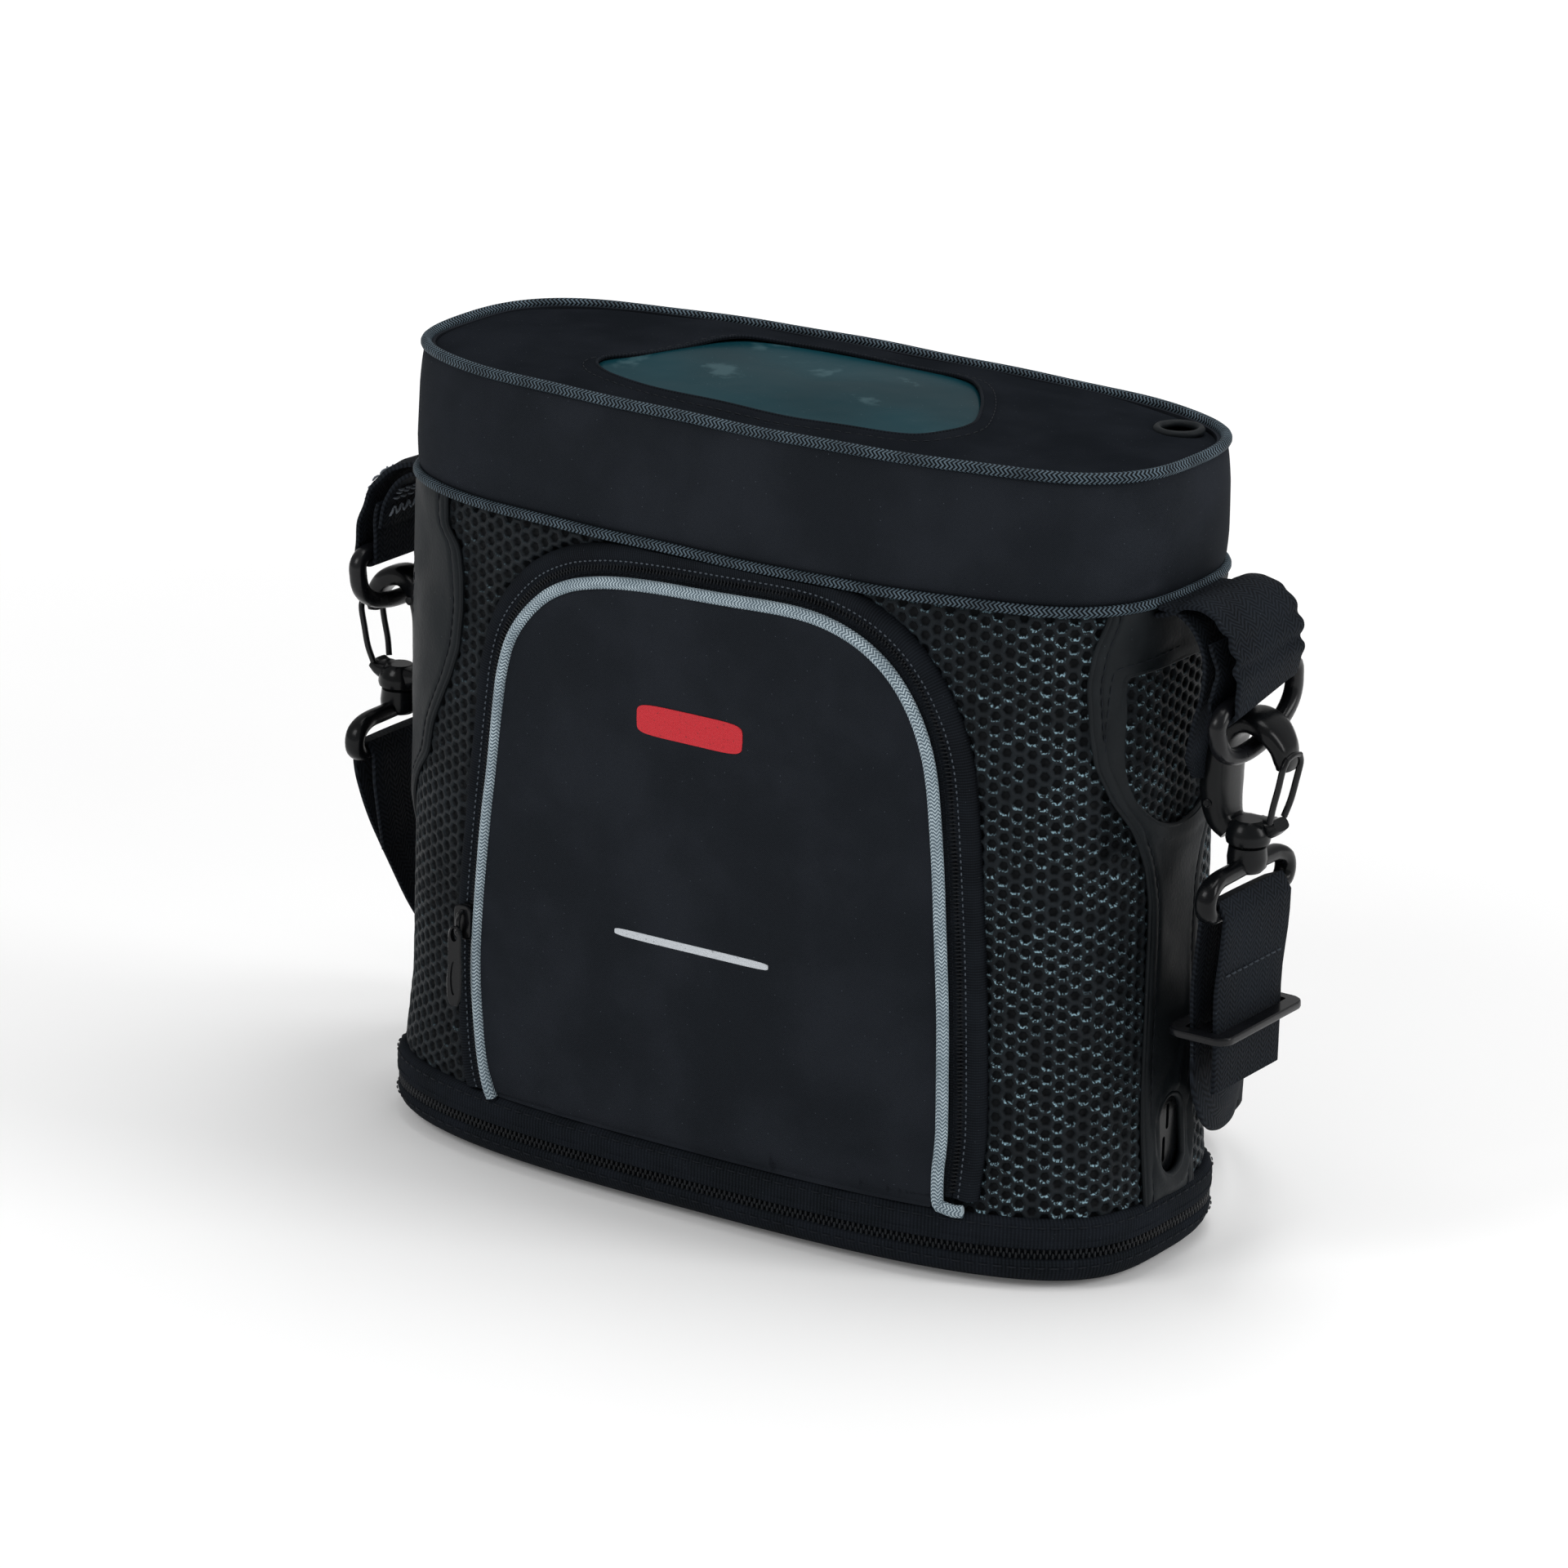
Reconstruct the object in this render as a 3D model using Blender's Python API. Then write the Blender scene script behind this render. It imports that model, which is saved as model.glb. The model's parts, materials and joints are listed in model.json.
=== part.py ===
# Portable oxygen concentrator in its soft carry bag.
# Metres, +Z up.  The origin is on the ground, at the middle of the bag's base.
# +X is the bag's right-hand end, -Y its front, where the pocket is.
import bpy
import bmesh
from math import sin, cos, pi, sqrt, asin, acos, atan2
from mathutils import Vector

# ------------------------------------------------------------------ dimensions
GAP = 0.0003             # clearance between pieces that touch
EXP_X, EXP_Y = 2.9, 3.4  # exponents of the rounded footprint
RING = 44                # points round the footprint

# height, half length (X), half depth (Y) of the bag body's outer face
BODY_LEVELS = ((0.0218, 0.1310, 0.0595), (0.045, 0.1290, 0.0575),
               (0.120, 0.1283, 0.0570), (0.2052, 0.1278, 0.0576))
BODY_WALL = 0.0030
BAND_LEVELS = ((0.2089, 0.1283, 0.0577), (0.2180, 0.1288, 0.0573),
               (0.2340, 0.1292, 0.0549), (0.2440, 0.1289, 0.0531))
BAND_WALL = 0.0026
TOP_A, TOP_B, TOP_Z = 0.1268, 0.0509, 0.2443
TOP_DOME, TOP_THICK = 0.0034, 0.0020
PIPE_TOP = (0.2459, 0.1290, 0.0531, 0.0016)     # height, half length, half depth, radius
PIPE_LOW = (0.2070, 0.1292, 0.0588, 0.0015)
BIND_Z0, BIND_Z1 = 0.0125, 0.0214
BIND_A, BIND_B = 0.1334, 0.0618
COIL_Z, COIL_R = 0.0112, 0.0010
PAN_FLOOR, PAN_RIM = 0.0030, 0.0098
HINGE_Y, HINGE_Z = 0.0628, 0.0112               # back hinge of the base

# pocket outline: height and half width, about POCKET_X
POCKET_X = 0.003
POCKET = ((0.0255, 0.0795), (0.035, 0.0820), (0.045, 0.0836), (0.060, 0.0840),
          (0.095, 0.0835), (0.115, 0.0818), (0.135, 0.0794), (0.1546, 0.0768),
          (0.168, 0.0732), (0.178, 0.0690), (0.185, 0.0640), (0.190, 0.0580),
          (0.1938, 0.0500), (0.1963, 0.0410), (0.1978, 0.0300), (0.1985, 0.0150))
POCKET_PIPE_R = 0.0019
POCKET_AXIS = (-0.0608, 0.0247)                 # y, z of the flap's bottom fold

DEV_A, DEV_B = 0.1222, 0.0480                   # the concentrator's own footprint
DEV_Z0, DEV_Z1 = 0.0036, 0.2350
DEV_WALL = 0.0024
DECK_Z = 0.0540

WEB_W, WEB_T = 0.038, 0.0016                    # webbing width and thickness
HW_X = 0.1530                                   # clip hardware's distance from the middle
SIDES = {"left": (-1.0, 0.0), "right": (1.0, 0.011)}   # side: sign, height added to the clip
D_BAR_Z, D_LIMB_Z, D_ROD = 0.1710, 0.1530, 0.0022
HOOK_BASE_Z, HOOK_ROD = 0.1235, 0.0027
HOOK_ARC_Z, HOOK_HALF = 0.1508, 0.0085
EYE_BAR_Z, EYE_TOP_Z, EYE_ROD = 0.1065, 0.1165, 0.0026
GLIDE_Z = 0.0810

for ob in list(bpy.data.objects):
    bpy.data.objects.remove(ob, do_unlink=True)


# ------------------------------------------------------------------ materials
def material(name, colour, rough, metal=0.0, alpha=1.0):
    m = bpy.data.materials.new(name)
    m.use_nodes = True
    p = m.node_tree.nodes["Principled BSDF"]
    p.inputs["Base Color"].default_value = (colour[0], colour[1], colour[2], 1.0)
    p.inputs["Roughness"].default_value = rough
    p.inputs["Metallic"].default_value = metal
    p.inputs["Alpha"].default_value = alpha
    m.diffuse_color = (colour[0], colour[1], colour[2], 1.0)
    return m


M = {
    "mesh_fabric": material("mesh_fabric", (0.012, 0.016, 0.018), 0.85),
    "smooth_fabric": material("smooth_fabric", (0.010, 0.011, 0.014), 0.80),
    "vinyl_trim": material("vinyl_trim", (0.012, 0.013, 0.016), 0.42),
    "binding_tape": material("binding_tape", (0.011, 0.012, 0.015), 0.75),
    "dark_piping": material("dark_piping", (0.014, 0.017, 0.022), 0.70),
    "silver_piping": material("silver_piping", (0.28, 0.34, 0.38), 0.45),
    "window_film": material("window_film", (0.02, 0.06, 0.07), 0.12),
    "webbing": material("webbing", (0.012, 0.013, 0.015), 0.85),
    "black_plastic": material("black_plastic", (0.010, 0.010, 0.012), 0.28),
    "black_metal": material("black_metal", (0.03, 0.03, 0.035), 0.30, 0.8),
    "zip_coil": material("zip_coil", (0.010, 0.010, 0.011), 0.45),
    "case_plastic": material("case_plastic", (0.55, 0.57, 0.58), 0.45),
    "panel_plastic": material("panel_plastic", (0.04, 0.05, 0.06), 0.35),
    "display_glass": material("display_glass", (0.02, 0.03, 0.03), 0.08),
    "button_rubber": material("button_rubber", (0.30, 0.32, 0.34), 0.60),
    "aluminium": material("aluminium", (0.55, 0.56, 0.58), 0.35, 1.0),
    "steel": material("steel", (0.45, 0.45, 0.46), 0.30, 1.0),
    "grey_foam": material("grey_foam", (0.08, 0.08, 0.085), 0.95),
    "circuit_board": material("circuit_board", (0.02, 0.10, 0.04), 0.50),
}


# ------------------------------------------------------------------ builders
def body(name, verts, faces, mat, origin=(0.0, 0.0, 0.0), smooth=True):
    o = Vector(origin)
    me = bpy.data.meshes.new(name)
    me.from_pydata([tuple(Vector(v) - o) for v in verts], [], faces)
    bm = bmesh.new()
    bm.from_mesh(me)
    bmesh.ops.remove_doubles(bm, verts=bm.verts, dist=1e-6)
    bmesh.ops.recalc_face_normals(bm, faces=bm.faces)
    bm.to_mesh(me)
    bm.free()
    me.materials.append(M[mat])
    ob = bpy.data.objects.new(name, me)
    ob.location = o
    bpy.context.scene.collection.objects.link(ob)
    if smooth:
        me.shade_smooth()
        me.set_sharp_from_angle(angle=0.6)
    return ob


def loft(rings, closed=False):
    """Skin a list of equal rings; closed joins the last ring to the first."""
    n = len(rings[0])
    verts = [p for r in rings for p in r]
    faces = []
    k = len(rings)
    for i in range(k if closed else k - 1):
        a, b = i * n, ((i + 1) % k) * n
        for j in range(n):
            q = (j + 1) % n
            faces.append((a + j, a + q, b + q, b + j))
    if not closed:
        faces.append(tuple(range(n - 1, -1, -1)))
        faces.append(tuple((k - 1) * n + j for j in range(n)))
    return verts, faces


def foot_point(a, b, t):
    c, s = cos(t), sin(t)
    x = a * (abs(c) ** (2.0 / EXP_X)) * (1 if c >= 0 else -1)
    y = b * (abs(s) ** (2.0 / EXP_Y)) * (1 if s >= 0 else -1)
    return x, y


def foot_ring(a, b, z, n=RING):
    return [foot_point(a, b, 2 * pi * (i + 0.5) / n) + (z,) for i in range(n)]


def level(levels, z):
    if z <= levels[0][0]:
        return levels[0][1], levels[0][2]
    for (z0, a0, b0), (z1, a1, b1) in zip(levels, levels[1:]):
        if z <= z1:
            f = (z - z0) / (z1 - z0)
            return a0 + (a1 - a0) * f, b0 + (b1 - b0) * f
    return levels[-1][1], levels[-1][2]


def wall(levels, thick):
    """A closed wall: up the outside, down the inside."""
    rings = [foot_ring(a, b, z) for z, a, b in levels]
    rings += [foot_ring(a - thick, b - thick, z) for z, a, b in reversed(levels)]
    return loft(rings, closed=True)


def frame_along(pts, closed):
    """Tangent and two steady normals at each point of a path."""
    n = len(pts)
    tang = []
    for i in range(n):
        if closed:
            d = pts[(i + 1) % n] - pts[i - 1]
        else:
            d = pts[min(i + 1, n - 1)] - pts[max(i - 1, 0)]
        tang.append(d.normalized())
    up = Vector((0, 0, 1)) if abs(tang[0].z) < 0.9 else Vector((1, 0, 0))
    nor = (up - tang[0] * up.dot(tang[0])).normalized()
    out = []
    for t in tang:
        nor = (nor - t * nor.dot(t)).normalized()
        out.append((nor.copy(), t.cross(nor)))
    return out


def tube(pts, r, sides=8, closed=False):
    pts = [Vector(p) for p in pts]
    rings = []
    for p, (u, v) in zip(pts, frame_along(pts, closed)):
        rings.append([tuple(p + u * (r * cos(2 * pi * k / sides)) + v * (r * sin(2 * pi * k / sides)))
                      for k in range(sides)])
    return loft(rings, closed=closed)


def ribbon(pts, wides, width=WEB_W, thick=WEB_T):
    """Flat webbing: wides holds the width direction at each point."""
    pts = [Vector(p) for p in pts]
    rings = []
    n = len(pts)
    for i, p in enumerate(pts):
        t = (pts[min(i + 1, n - 1)] - pts[max(i - 1, 0)]).normalized()
        w = Vector(wides[i])
        w = (w - t * w.dot(t)).normalized()
        nn = t.cross(w).normalized()
        h, k = w * (width / 2), nn * (thick / 2)
        rings.append([tuple(p - h - k), tuple(p + h - k), tuple(p + h + k), tuple(p - h + k)])
    return loft(rings)


def smooth_path(keys, per):
    """Catmull-Rom curve through the key points, per steps in each span."""
    ks = [Vector(k) for k in keys]
    out = []
    for i in range(len(ks) - 1):
        p0 = ks[i - 1] if i > 0 else ks[0] * 2 - ks[1]
        p1, p2 = ks[i], ks[i + 1]
        p3 = ks[i + 2] if i + 2 < len(ks) else ks[-1] * 2 - ks[-2]
        for s in range(per):
            t = s / per
            out.append(0.5 * ((2 * p1) + (p2 - p0) * t + (2 * p0 - 5 * p1 + 4 * p2 - p3) * t * t
                              + (3 * p1 - p0 - 3 * p2 + p3) * t * t * t))
    out.append(ks[-1])
    return out


def prism(outline, z0, z1):
    return loft([[(x, y, z0) for x, y in outline], [(x, y, z1) for x, y in outline]])


def box(x0, x1, y0, y1, z0, z1):
    return prism([(x0, y0), (x1, y0), (x1, y1), (x0, y1)], z0, z1)


def cylinder(c, axis, r, length, n=20, r2=None):
    """A round bar from point c along an axis letter."""
    r2 = r if r2 is None else r2
    rings = []
    for rr, d in ((r, 0.0), (r2, length)):
        ring = []
        for i in range(n):
            u, v = rr * cos(2 * pi * i / n), rr * sin(2 * pi * i / n)
            if axis == "z":
                ring.append((c[0] + u, c[1] + v, c[2] + d))
            elif axis == "x":
                ring.append((c[0] + d, c[1] + u, c[2] + v))
            else:
                ring.append((c[0] + v, c[1] + d, c[2] + u))
        rings.append(ring)
    return loft(rings)


def stack(c, profile, n=20):
    """A turned piece: radius and height pairs about a vertical axis."""
    return loft([[(c[0] + r * cos(2 * pi * i / n), c[1] + r * sin(2 * pi * i / n), c[2] + z)
                  for i in range(n)] for r, z in profile])


def slab(outline, axis, d0, d1):
    """Outline in the plane across an axis letter: (y, z) for x, (x, z) for y."""
    if axis == "x":
        return loft([[(d, u, v) for u, v in outline] for d in (d0, d1)])
    return loft([[(u, d, v) for u, v in outline] for d in (d0, d1)])


def round_rect(cx, cy, w, h, r, k=4):
    out = []
    for sx, sy, a0 in ((1, 1, 0.0), (-1, 1, pi / 2), (-1, -1, pi), (1, -1, 3 * pi / 2)):
        for i in range(k + 1):
            a = a0 + (pi / 2) * i / k
            out.append((cx + sx * (w / 2 - r) + r * cos(a), cy + sy * (h / 2 - r) + r * sin(a)))
    return out


def combine(ob, parts, op):
    """Boolean ob with each (verts, faces) solid in turn, exactly."""
    for verts, faces in parts:
        cut = body("cutter", verts, faces, "steel", smooth=False)
        cut.hide_render = True
        cut.display_type = "WIRE"
        md = ob.modifiers.new("cut", "BOOLEAN")
        md.operation = op
        md.object = cut
        md.solver = "EXACT"
        bpy.context.view_layer.update()
        dg = bpy.context.evaluated_depsgraph_get()
        me = bpy.data.meshes.new_from_object(ob.evaluated_get(dg))
        ob.modifiers.remove(md)
        old = ob.data
        name = old.name
        ob.data = me
        bpy.data.meshes.remove(old)
        me.name = name
        bpy.data.objects.remove(cut, do_unlink=True)
    me = ob.data
    me.materials.clear()
    me.materials.append(ob_mat[ob.name])
    me.shade_smooth()
    me.set_sharp_from_angle(angle=0.6)
    return ob


ob_mat = {}


def part(name, vf, mat, origin=(0.0, 0.0, 0.0), cuts=(), adds=(), smooth=True, bevel=0.0):
    ob = body(name, vf[0], vf[1], mat, origin, smooth)
    ob_mat[name] = M[mat]
    if adds:
        combine(ob, adds, "UNION")
    if cuts:
        combine(ob, cuts, "DIFFERENCE")
    if bevel:
        md = ob.modifiers.new("edge", "BEVEL")
        md.width = bevel
        md.segments = 1
        md.limit_method = "ANGLE"
        md.angle_limit = 0.7
    return ob


def grid_shell(outer, inner, skip=()):
    """Closed plate from two matching grids of points; skip holds the cells left open."""
    rows, cols = len(outer), len(outer[0])
    verts = [p for r in outer for p in r] + [p for r in inner for p in r]
    off = rows * cols
    cells = {(i, j) for i in range(rows - 1) for j in range(cols - 1)} - set(skip)
    faces = []
    for i, j in sorted(cells):
        q = (i * cols + j, i * cols + j + 1, (i + 1) * cols + j + 1, (i + 1) * cols + j)
        faces.append(q)
        faces.append(tuple(off + v for v in reversed(q)))
        for di, dj, e in ((-1, 0, (0, 1)), (0, 1, (1, 2)), (1, 0, (2, 3)), (0, -1, (3, 0))):
            if (i + di, j + dj) not in cells:
                a, b = q[e[0]], q[e[1]]
                faces.append((b, a, off + a, off + b))
    used = sorted({v for f in faces for v in f})
    ren = {v: k for k, v in enumerate(used)}
    return [verts[v] for v in used], [tuple(ren[v] for v in f) for f in faces]


def table(rows, z):
    if z <= rows[0][0]:
        return rows[0][1]
    for (z0, v0), (z1, v1) in zip(rows, rows[1:]):
        if z <= z1:
            return v0 + (v1 - v0) * (z - z0) / (z1 - z0)
    return rows[-1][1]


# ------------------------------------------------------------------ bag body
def oval_x(cx0, cx1, z0, z1, half_y, k=6):
    """An upright rounded slot running along X."""
    pts = []
    zm0, zm1 = z0 + half_y, z1 - half_y
    for i in range(k + 1):
        a = pi * i / k
        pts.append((half_y * cos(a), zm1 + half_y * sin(a)))
    for i in range(k + 1):
        a = pi + pi * i / k
        pts.append((half_y * cos(a), zm0 + half_y * sin(a)))
    return loft([[(cx0, y, z) for y, z in pts], [(cx1, y, z) for y, z in pts]])


PORT_Z0, PORT_Z1, PORT_R = 0.0265, 0.0525, 0.0072
part("bag_body_shell", wall(BODY_LEVELS, BODY_WALL), "mesh_fabric",
     cuts=[oval_x(0.115, 0.140, PORT_Z0, PORT_Z1, PORT_R)])
part("bag_top_band", wall(BAND_LEVELS, BAND_WALL), "smooth_fabric")


def dome(x, y):
    r = (abs(x) / TOP_A) ** 2 + (abs(y) / TOP_B) ** 2
    return TOP_DOME * max(0.0, 1.0 - 0.9 * r * 0.9)


def dome_plate(z0, thick, n=RING):
    """Domed plate in concentric rings, with the outline of the footprint."""
    steps = (1.0, 0.82, 0.60, 0.36, 0.14)
    top, bot = [], []
    for s in steps:
        base = foot_ring(TOP_A * s, TOP_B * s, 0.0, n)
        top.append([(x, y, z0 + thick + dome(x, y)) for x, y, _ in base])
        bot.append([(x, y, z0 + dome(x, y)) for x, y, _ in base])
    return loft(list(reversed(top)) + bot)


WINDOW = ((-0.0640, -0.0205), (-0.0560, -0.0060), (-0.0510, 0.0100), (-0.0470, 0.0220),
          (-0.0380, 0.0290), (-0.0180, 0.0312), (0.0180, 0.0312), (0.0340, 0.0285),
          (0.0480, 0.0140), (0.0590, -0.0020), (0.0635, -0.0160), (0.0590, -0.0290),
          (0.0480, -0.0375), (0.0250, -0.0392), (-0.0250, -0.0385), (-0.0480, -0.0350),
          (-0.0600, -0.0290))
OUTLET_X, OUTLET_Y = 0.1000, 0.0190                # the nozzle on the concentrator
HOLE_X, HOLE_Y, HOLE_R = 0.1095, 0.0250, 0.0070    # the tube's way out through the lid


def shrink(poly, d):
    """Move each point of a closed outline inward by d."""
    n = len(poly)
    out = []
    for i in range(n):
        ax, ay = poly[i - 1]
        bx, by = poly[(i + 1) % n]
        tx, ty = bx - ax, by - ay
        ln = sqrt(tx * tx + ty * ty)
        out.append((poly[i][0] - ty / ln * d, poly[i][1] + tx / ln * d))
    return out


ccw = list(reversed(WINDOW))            # counter-clockwise seen from above
part("bag_top_panel", dome_plate(TOP_Z, TOP_THICK), "smooth_fabric",
     cuts=[prism(ccw, 0.23, 0.26),
           cylinder((HOLE_X, HOLE_Y, 0.23), "z", HOLE_R, 0.03, 20)])
# the film is cut from the same domed sheet, so it lies in the opening
film = part("top_window", dome_plate(TOP_Z + 0.0006, 0.0008, 16), "window_film")
combine(film, [prism(shrink(ccw, 0.0005), 0.23, 0.26)], "INTERSECT")
part("outlet_bound_edge", tube([(HOLE_X + (HOLE_R - 0.0014) * cos(2 * pi * i / 20),
                                 HOLE_Y + (HOLE_R - 0.0014) * sin(2 * pi * i / 20),
                                 TOP_Z + 0.0016 + dome(HOLE_X, HOLE_Y)) for i in range(20)],
                               0.0010, 6, True), "binding_tape")


def ring_tube(z, a, b, r, n=RING, sides=6):
    return tube([foot_point(a, b, 2 * pi * (i + 0.5) / n) + (z,) for i in range(n)], r, sides, True)


part("top_piping", ring_tube(*PIPE_TOP), "dark_piping")
part("lower_piping", ring_tube(*PIPE_LOW), "dark_piping")

# ------------------------------------------------------------------ side trims
# height, front edge angle, front edge of the mesh window, rear edge of it, rear edge angle
def angle_of_y(y, b=0.0573):
    return asin(min(1.0, (abs(y) / b) ** (EXP_Y / 2.0)))


TRIM_ROWS = (0.0222, 0.040, 0.058, 0.085, 0.105, 0.116, 0.127, 0.136, 0.1415, 0.147,
             0.154, 0.162, 0.170, 0.180, 0.187, 0.1945, 0.2048)
RIGHT_FRONT = ((0.0222, 0.0128), (0.058, 0.0138), (0.105, 0.0132), (0.116, 0.0134),
               (0.127, 0.0160), (0.139, 0.0218), (0.149, 0.0290), (0.160, 0.0335),
               (0.170, 0.0349), (0.185, 0.0358), (0.195, 0.0346), (0.2048, 0.0315))
LEFT_FRONT = ((0.0222, 0.0138), (0.085, 0.0200), (0.105, 0.0330), (0.121, 0.0425), (0.132, 0.0439),
              (0.140, 0.0458), (0.149, 0.0477), (0.159, 0.0490), (0.172, 0.0495),
              (0.182, 0.0494), (0.191, 0.0489), (0.196, 0.0468), (0.2048, 0.0467))
WIN_FRONT = ((0.136, 0.0040), (0.1415, 0.0150), (0.147, 0.0215), (0.154, 0.0262),
             (0.162, 0.0280), (0.180, 0.0282), (0.187, 0.0276))


def trim(side, front, lead):
    """Vinyl panel over the bag's end, with a window in it where the mesh shows."""
    outer, inner = [], []
    for z in TRIM_ROWS:
        a, b = level(BODY_LEVELS, z)
        f = angle_of_y(table(front, z))
        rr = angle_of_y(table(RIGHT_FRONT, z))
        w = angle_of_y(table(WIN_FRONT, min(max(z, 0.136), 0.187)))
        ts = [-f + (f - w) * k / lead for k in range(lead)]
        ts += [-w, -w * 0.45, 0.0, w * 0.45, w, w + (rr - w) * 0.5, rr]
        if rr < w + 0.03 or f < w + 0.03:
            ts = [-f + (f + rr) * k / (lead + 6.0) for k in range(lead + 7)]
        ro, ri = [], []
        for t in ts:
            x, y = foot_point(a + 0.0020, b + 0.0020, t)
            ro.append((side * x, y, z))
            x, y = foot_point(a + 0.0011, b + 0.0011, t)
            ri.append((side * x, y, z))
        outer.append(ro)
        inner.append(ri)
    first = TRIM_ROWS.index(0.136)
    last = TRIM_ROWS.index(0.187)
    skip = [(i, j) for i in range(first, last) for j in range(lead, lead + 4)]
    return grid_shell(outer, inner, skip)


part("side_trim_left", trim(-1.0, LEFT_FRONT, 5), "vinyl_trim")
part("side_trim_right", trim(1.0, RIGHT_FRONT, 2), "vinyl_trim",
     cuts=[oval_x(0.115, 0.140, PORT_Z0, PORT_Z1, PORT_R)])
grommet = []
for i in range(24):
    a = 2 * pi * i / 24
    zc = 0.5 * (PORT_Z0 + PORT_Z1)
    hz = 0.5 * (PORT_Z1 - PORT_Z0) - PORT_R
    yy = (PORT_R - 0.0014) * cos(a)
    zz = zc + (hz if sin(a) >= 0 else -hz) + (PORT_R - 0.0014) * sin(a)
    grommet.append((0.1318, yy, zz))
part("port_bound_edge", tube(grommet, 0.0010, 6, True), "vinyl_trim")

# ------------------------------------------------------------------ pocket
def front_y(x, z):
    a, b = level(BODY_LEVELS, z)
    return -b * (max(0.0, 1.0 - (abs(x) / a) ** EXP_X)) ** (1.0 / EXP_Y)


def on_front(x, z, off):
    return (x, front_y(x, z) - off, z)


OUT = [(-w, z) for z, w in POCKET] + [(0.0, 0.1988)] + [(w, z) for z, w in reversed(POCKET)]


def beside(line, d):
    """Open line moved sideways by d, outwards from the pocket."""
    out = []
    n = len(line)
    for i, (x, z) in enumerate(line):
        x0, z0 = line[max(i - 1, 0)]
        x1, z1 = line[min(i + 1, n - 1)]
        tx, tz = x1 - x0, z1 - z0
        ln = sqrt(tx * tx + tz * tz)
        out.append((x - tz / ln * d, z + tx / ln * d))
    return out


rim = beside(OUT, -0.0023)
right = sorted(((z, x) for x, z in rim if x > 0.0), key=lambda q: q[0])
zs = [0.0258, 0.042, 0.060, 0.085, 0.110, 0.135, 0.155, 0.168, 0.178, 0.185, 0.190, 0.1935, 0.1958]
go, gi = [], []
for z in zs:
    hw = table(right, z)
    xs = [POCKET_X + hw * k / 7.0 for k in range(-7, 8)]
    crown = 0.0016 * sin(pi * min(1.0, max(0.0, (z - 0.02) / 0.18))) ** 0.5
    go.append([on_front(x, z, 0.0030 + crown * (1 - ((x - POCKET_X) / hw) ** 4)) for x in xs])
    gi.append([on_front(x, z, 0.0013 + crown * (1 - ((x - POCKET_X) / hw) ** 4)) for x in xs])
AX = (POCKET_X, POCKET_AXIS[0], POCKET_AXIS[1])
part("pocket_panel", grid_shell(go, gi), "smooth_fabric", origin=AX)
pipe_pts = [on_front(POCKET_X + x, z + (0.001 if i in (0, len(OUT) - 1) else 0.0), 0.0030)
            for i, (x, z) in enumerate(OUT)]
part("pocket_piping", tube(pipe_pts, POCKET_PIPE_R, 8), "silver_piping", origin=AX)
bo, bi = [], []
for d, ho in ((0.0026, 0.0019), (0.0050, 0.0017), (0.0088, 0.0012)):
    line = beside(OUT, d)
    line = [(x, min(max(z, 0.0232), 0.2048)) for x, z in line]
    bo.append([on_front(POCKET_X + x, z, ho) for x, z in line])
    bi.append([on_front(POCKET_X + x, z, 0.0004) for x, z in line])
part("pocket_zip_tape", grid_shell(bo, bi), "binding_tape")
coil = beside(OUT, 0.0056)
part("pocket_zip_coil", tube([on_front(POCKET_X + x, min(max(z, 0.0245), 0.2040), 0.0030) for x, z in coil],
                             0.0010, 6), "zip_coil")

SL_Z, SL_X = 0.0750, POCKET_X - 0.0838 - 0.0058     # slider of the pocket zip
SL_Y = front_y(SL_X, SL_Z) - 0.0044
part("pocket_zip_slider", slab(round_rect(SL_X, SL_Z, 0.0062, 0.0110, 0.0022, 2), "y", SL_Y - 0.0016, SL_Y),
     "black_metal", origin=(SL_X, SL_Y, SL_Z),
     adds=[slab(round_rect(SL_X, SL_Z - 0.001, 0.0022, 0.0050, 0.0006, 1), "y", SL_Y - 0.0036, SL_Y - 0.0008)])
PULL_Y = SL_Y - 0.0049
part("pocket_zip_pull", slab(round_rect(SL_X, SL_Z - 0.0132, 0.0060, 0.0260, 0.0028, 3), "y",
                             PULL_Y - 0.0007, PULL_Y + 0.0007), "black_metal",
     origin=(SL_X, PULL_Y, SL_Z - 0.0010))

# ------------------------------------------------------------------ base
part("base_binding", loft([foot_ring(a, b, z) for z, a, b in (
    (BIND_Z0, BIND_A - 0.0006, BIND_B - 0.0006), (BIND_Z0 + 0.0030, BIND_A, BIND_B),
    (BIND_Z1 - 0.0022, BIND_A - 0.0004, BIND_B - 0.0006), (BIND_Z1, BIND_A - 0.0020, BIND_B - 0.0024),
    (BIND_Z1, BIND_A - 0.0075, BIND_B - 0.0078), (BIND_Z0, BIND_A - 0.0075, BIND_B - 0.0078))], True),
     "binding_tape")
part("base_zip_coil", ring_tube(COIL_Z, BIND_A - 0.0012, BIND_B - 0.0012, COIL_R), "zip_coil")
part("base_panel", loft([foot_ring(a, b, z) for z, a, b in (
    (PAN_FLOOR, 0.1225, 0.0500), (PAN_RIM, 0.1258, 0.0540), (PAN_RIM, 0.1326, 0.0610),
    (0.0075, 0.1334, 0.0618), (0.0038, 0.1324, 0.0602), (0.0012, 0.1303, 0.0566),
    (0.0, 0.1270, 0.0520))]), "binding_tape")
BS_X, BS_Y = -(BIND_A + 0.0016), 0.0100            # slider of the base zip, at the left end
part("base_zip_slider", slab(round_rect(BS_Y, COIL_Z, 0.0110, 0.0076, 0.0022, 2), "x", BS_X - 0.0016, BS_X),
     "black_metal", origin=(BS_X, BS_Y, COIL_Z),
     adds=[slab(round_rect(BS_Y + 0.001, COIL_Z, 0.0050, 0.0022, 0.0006, 1), "x", BS_X - 0.0036, BS_X - 0.0008)])
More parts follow.
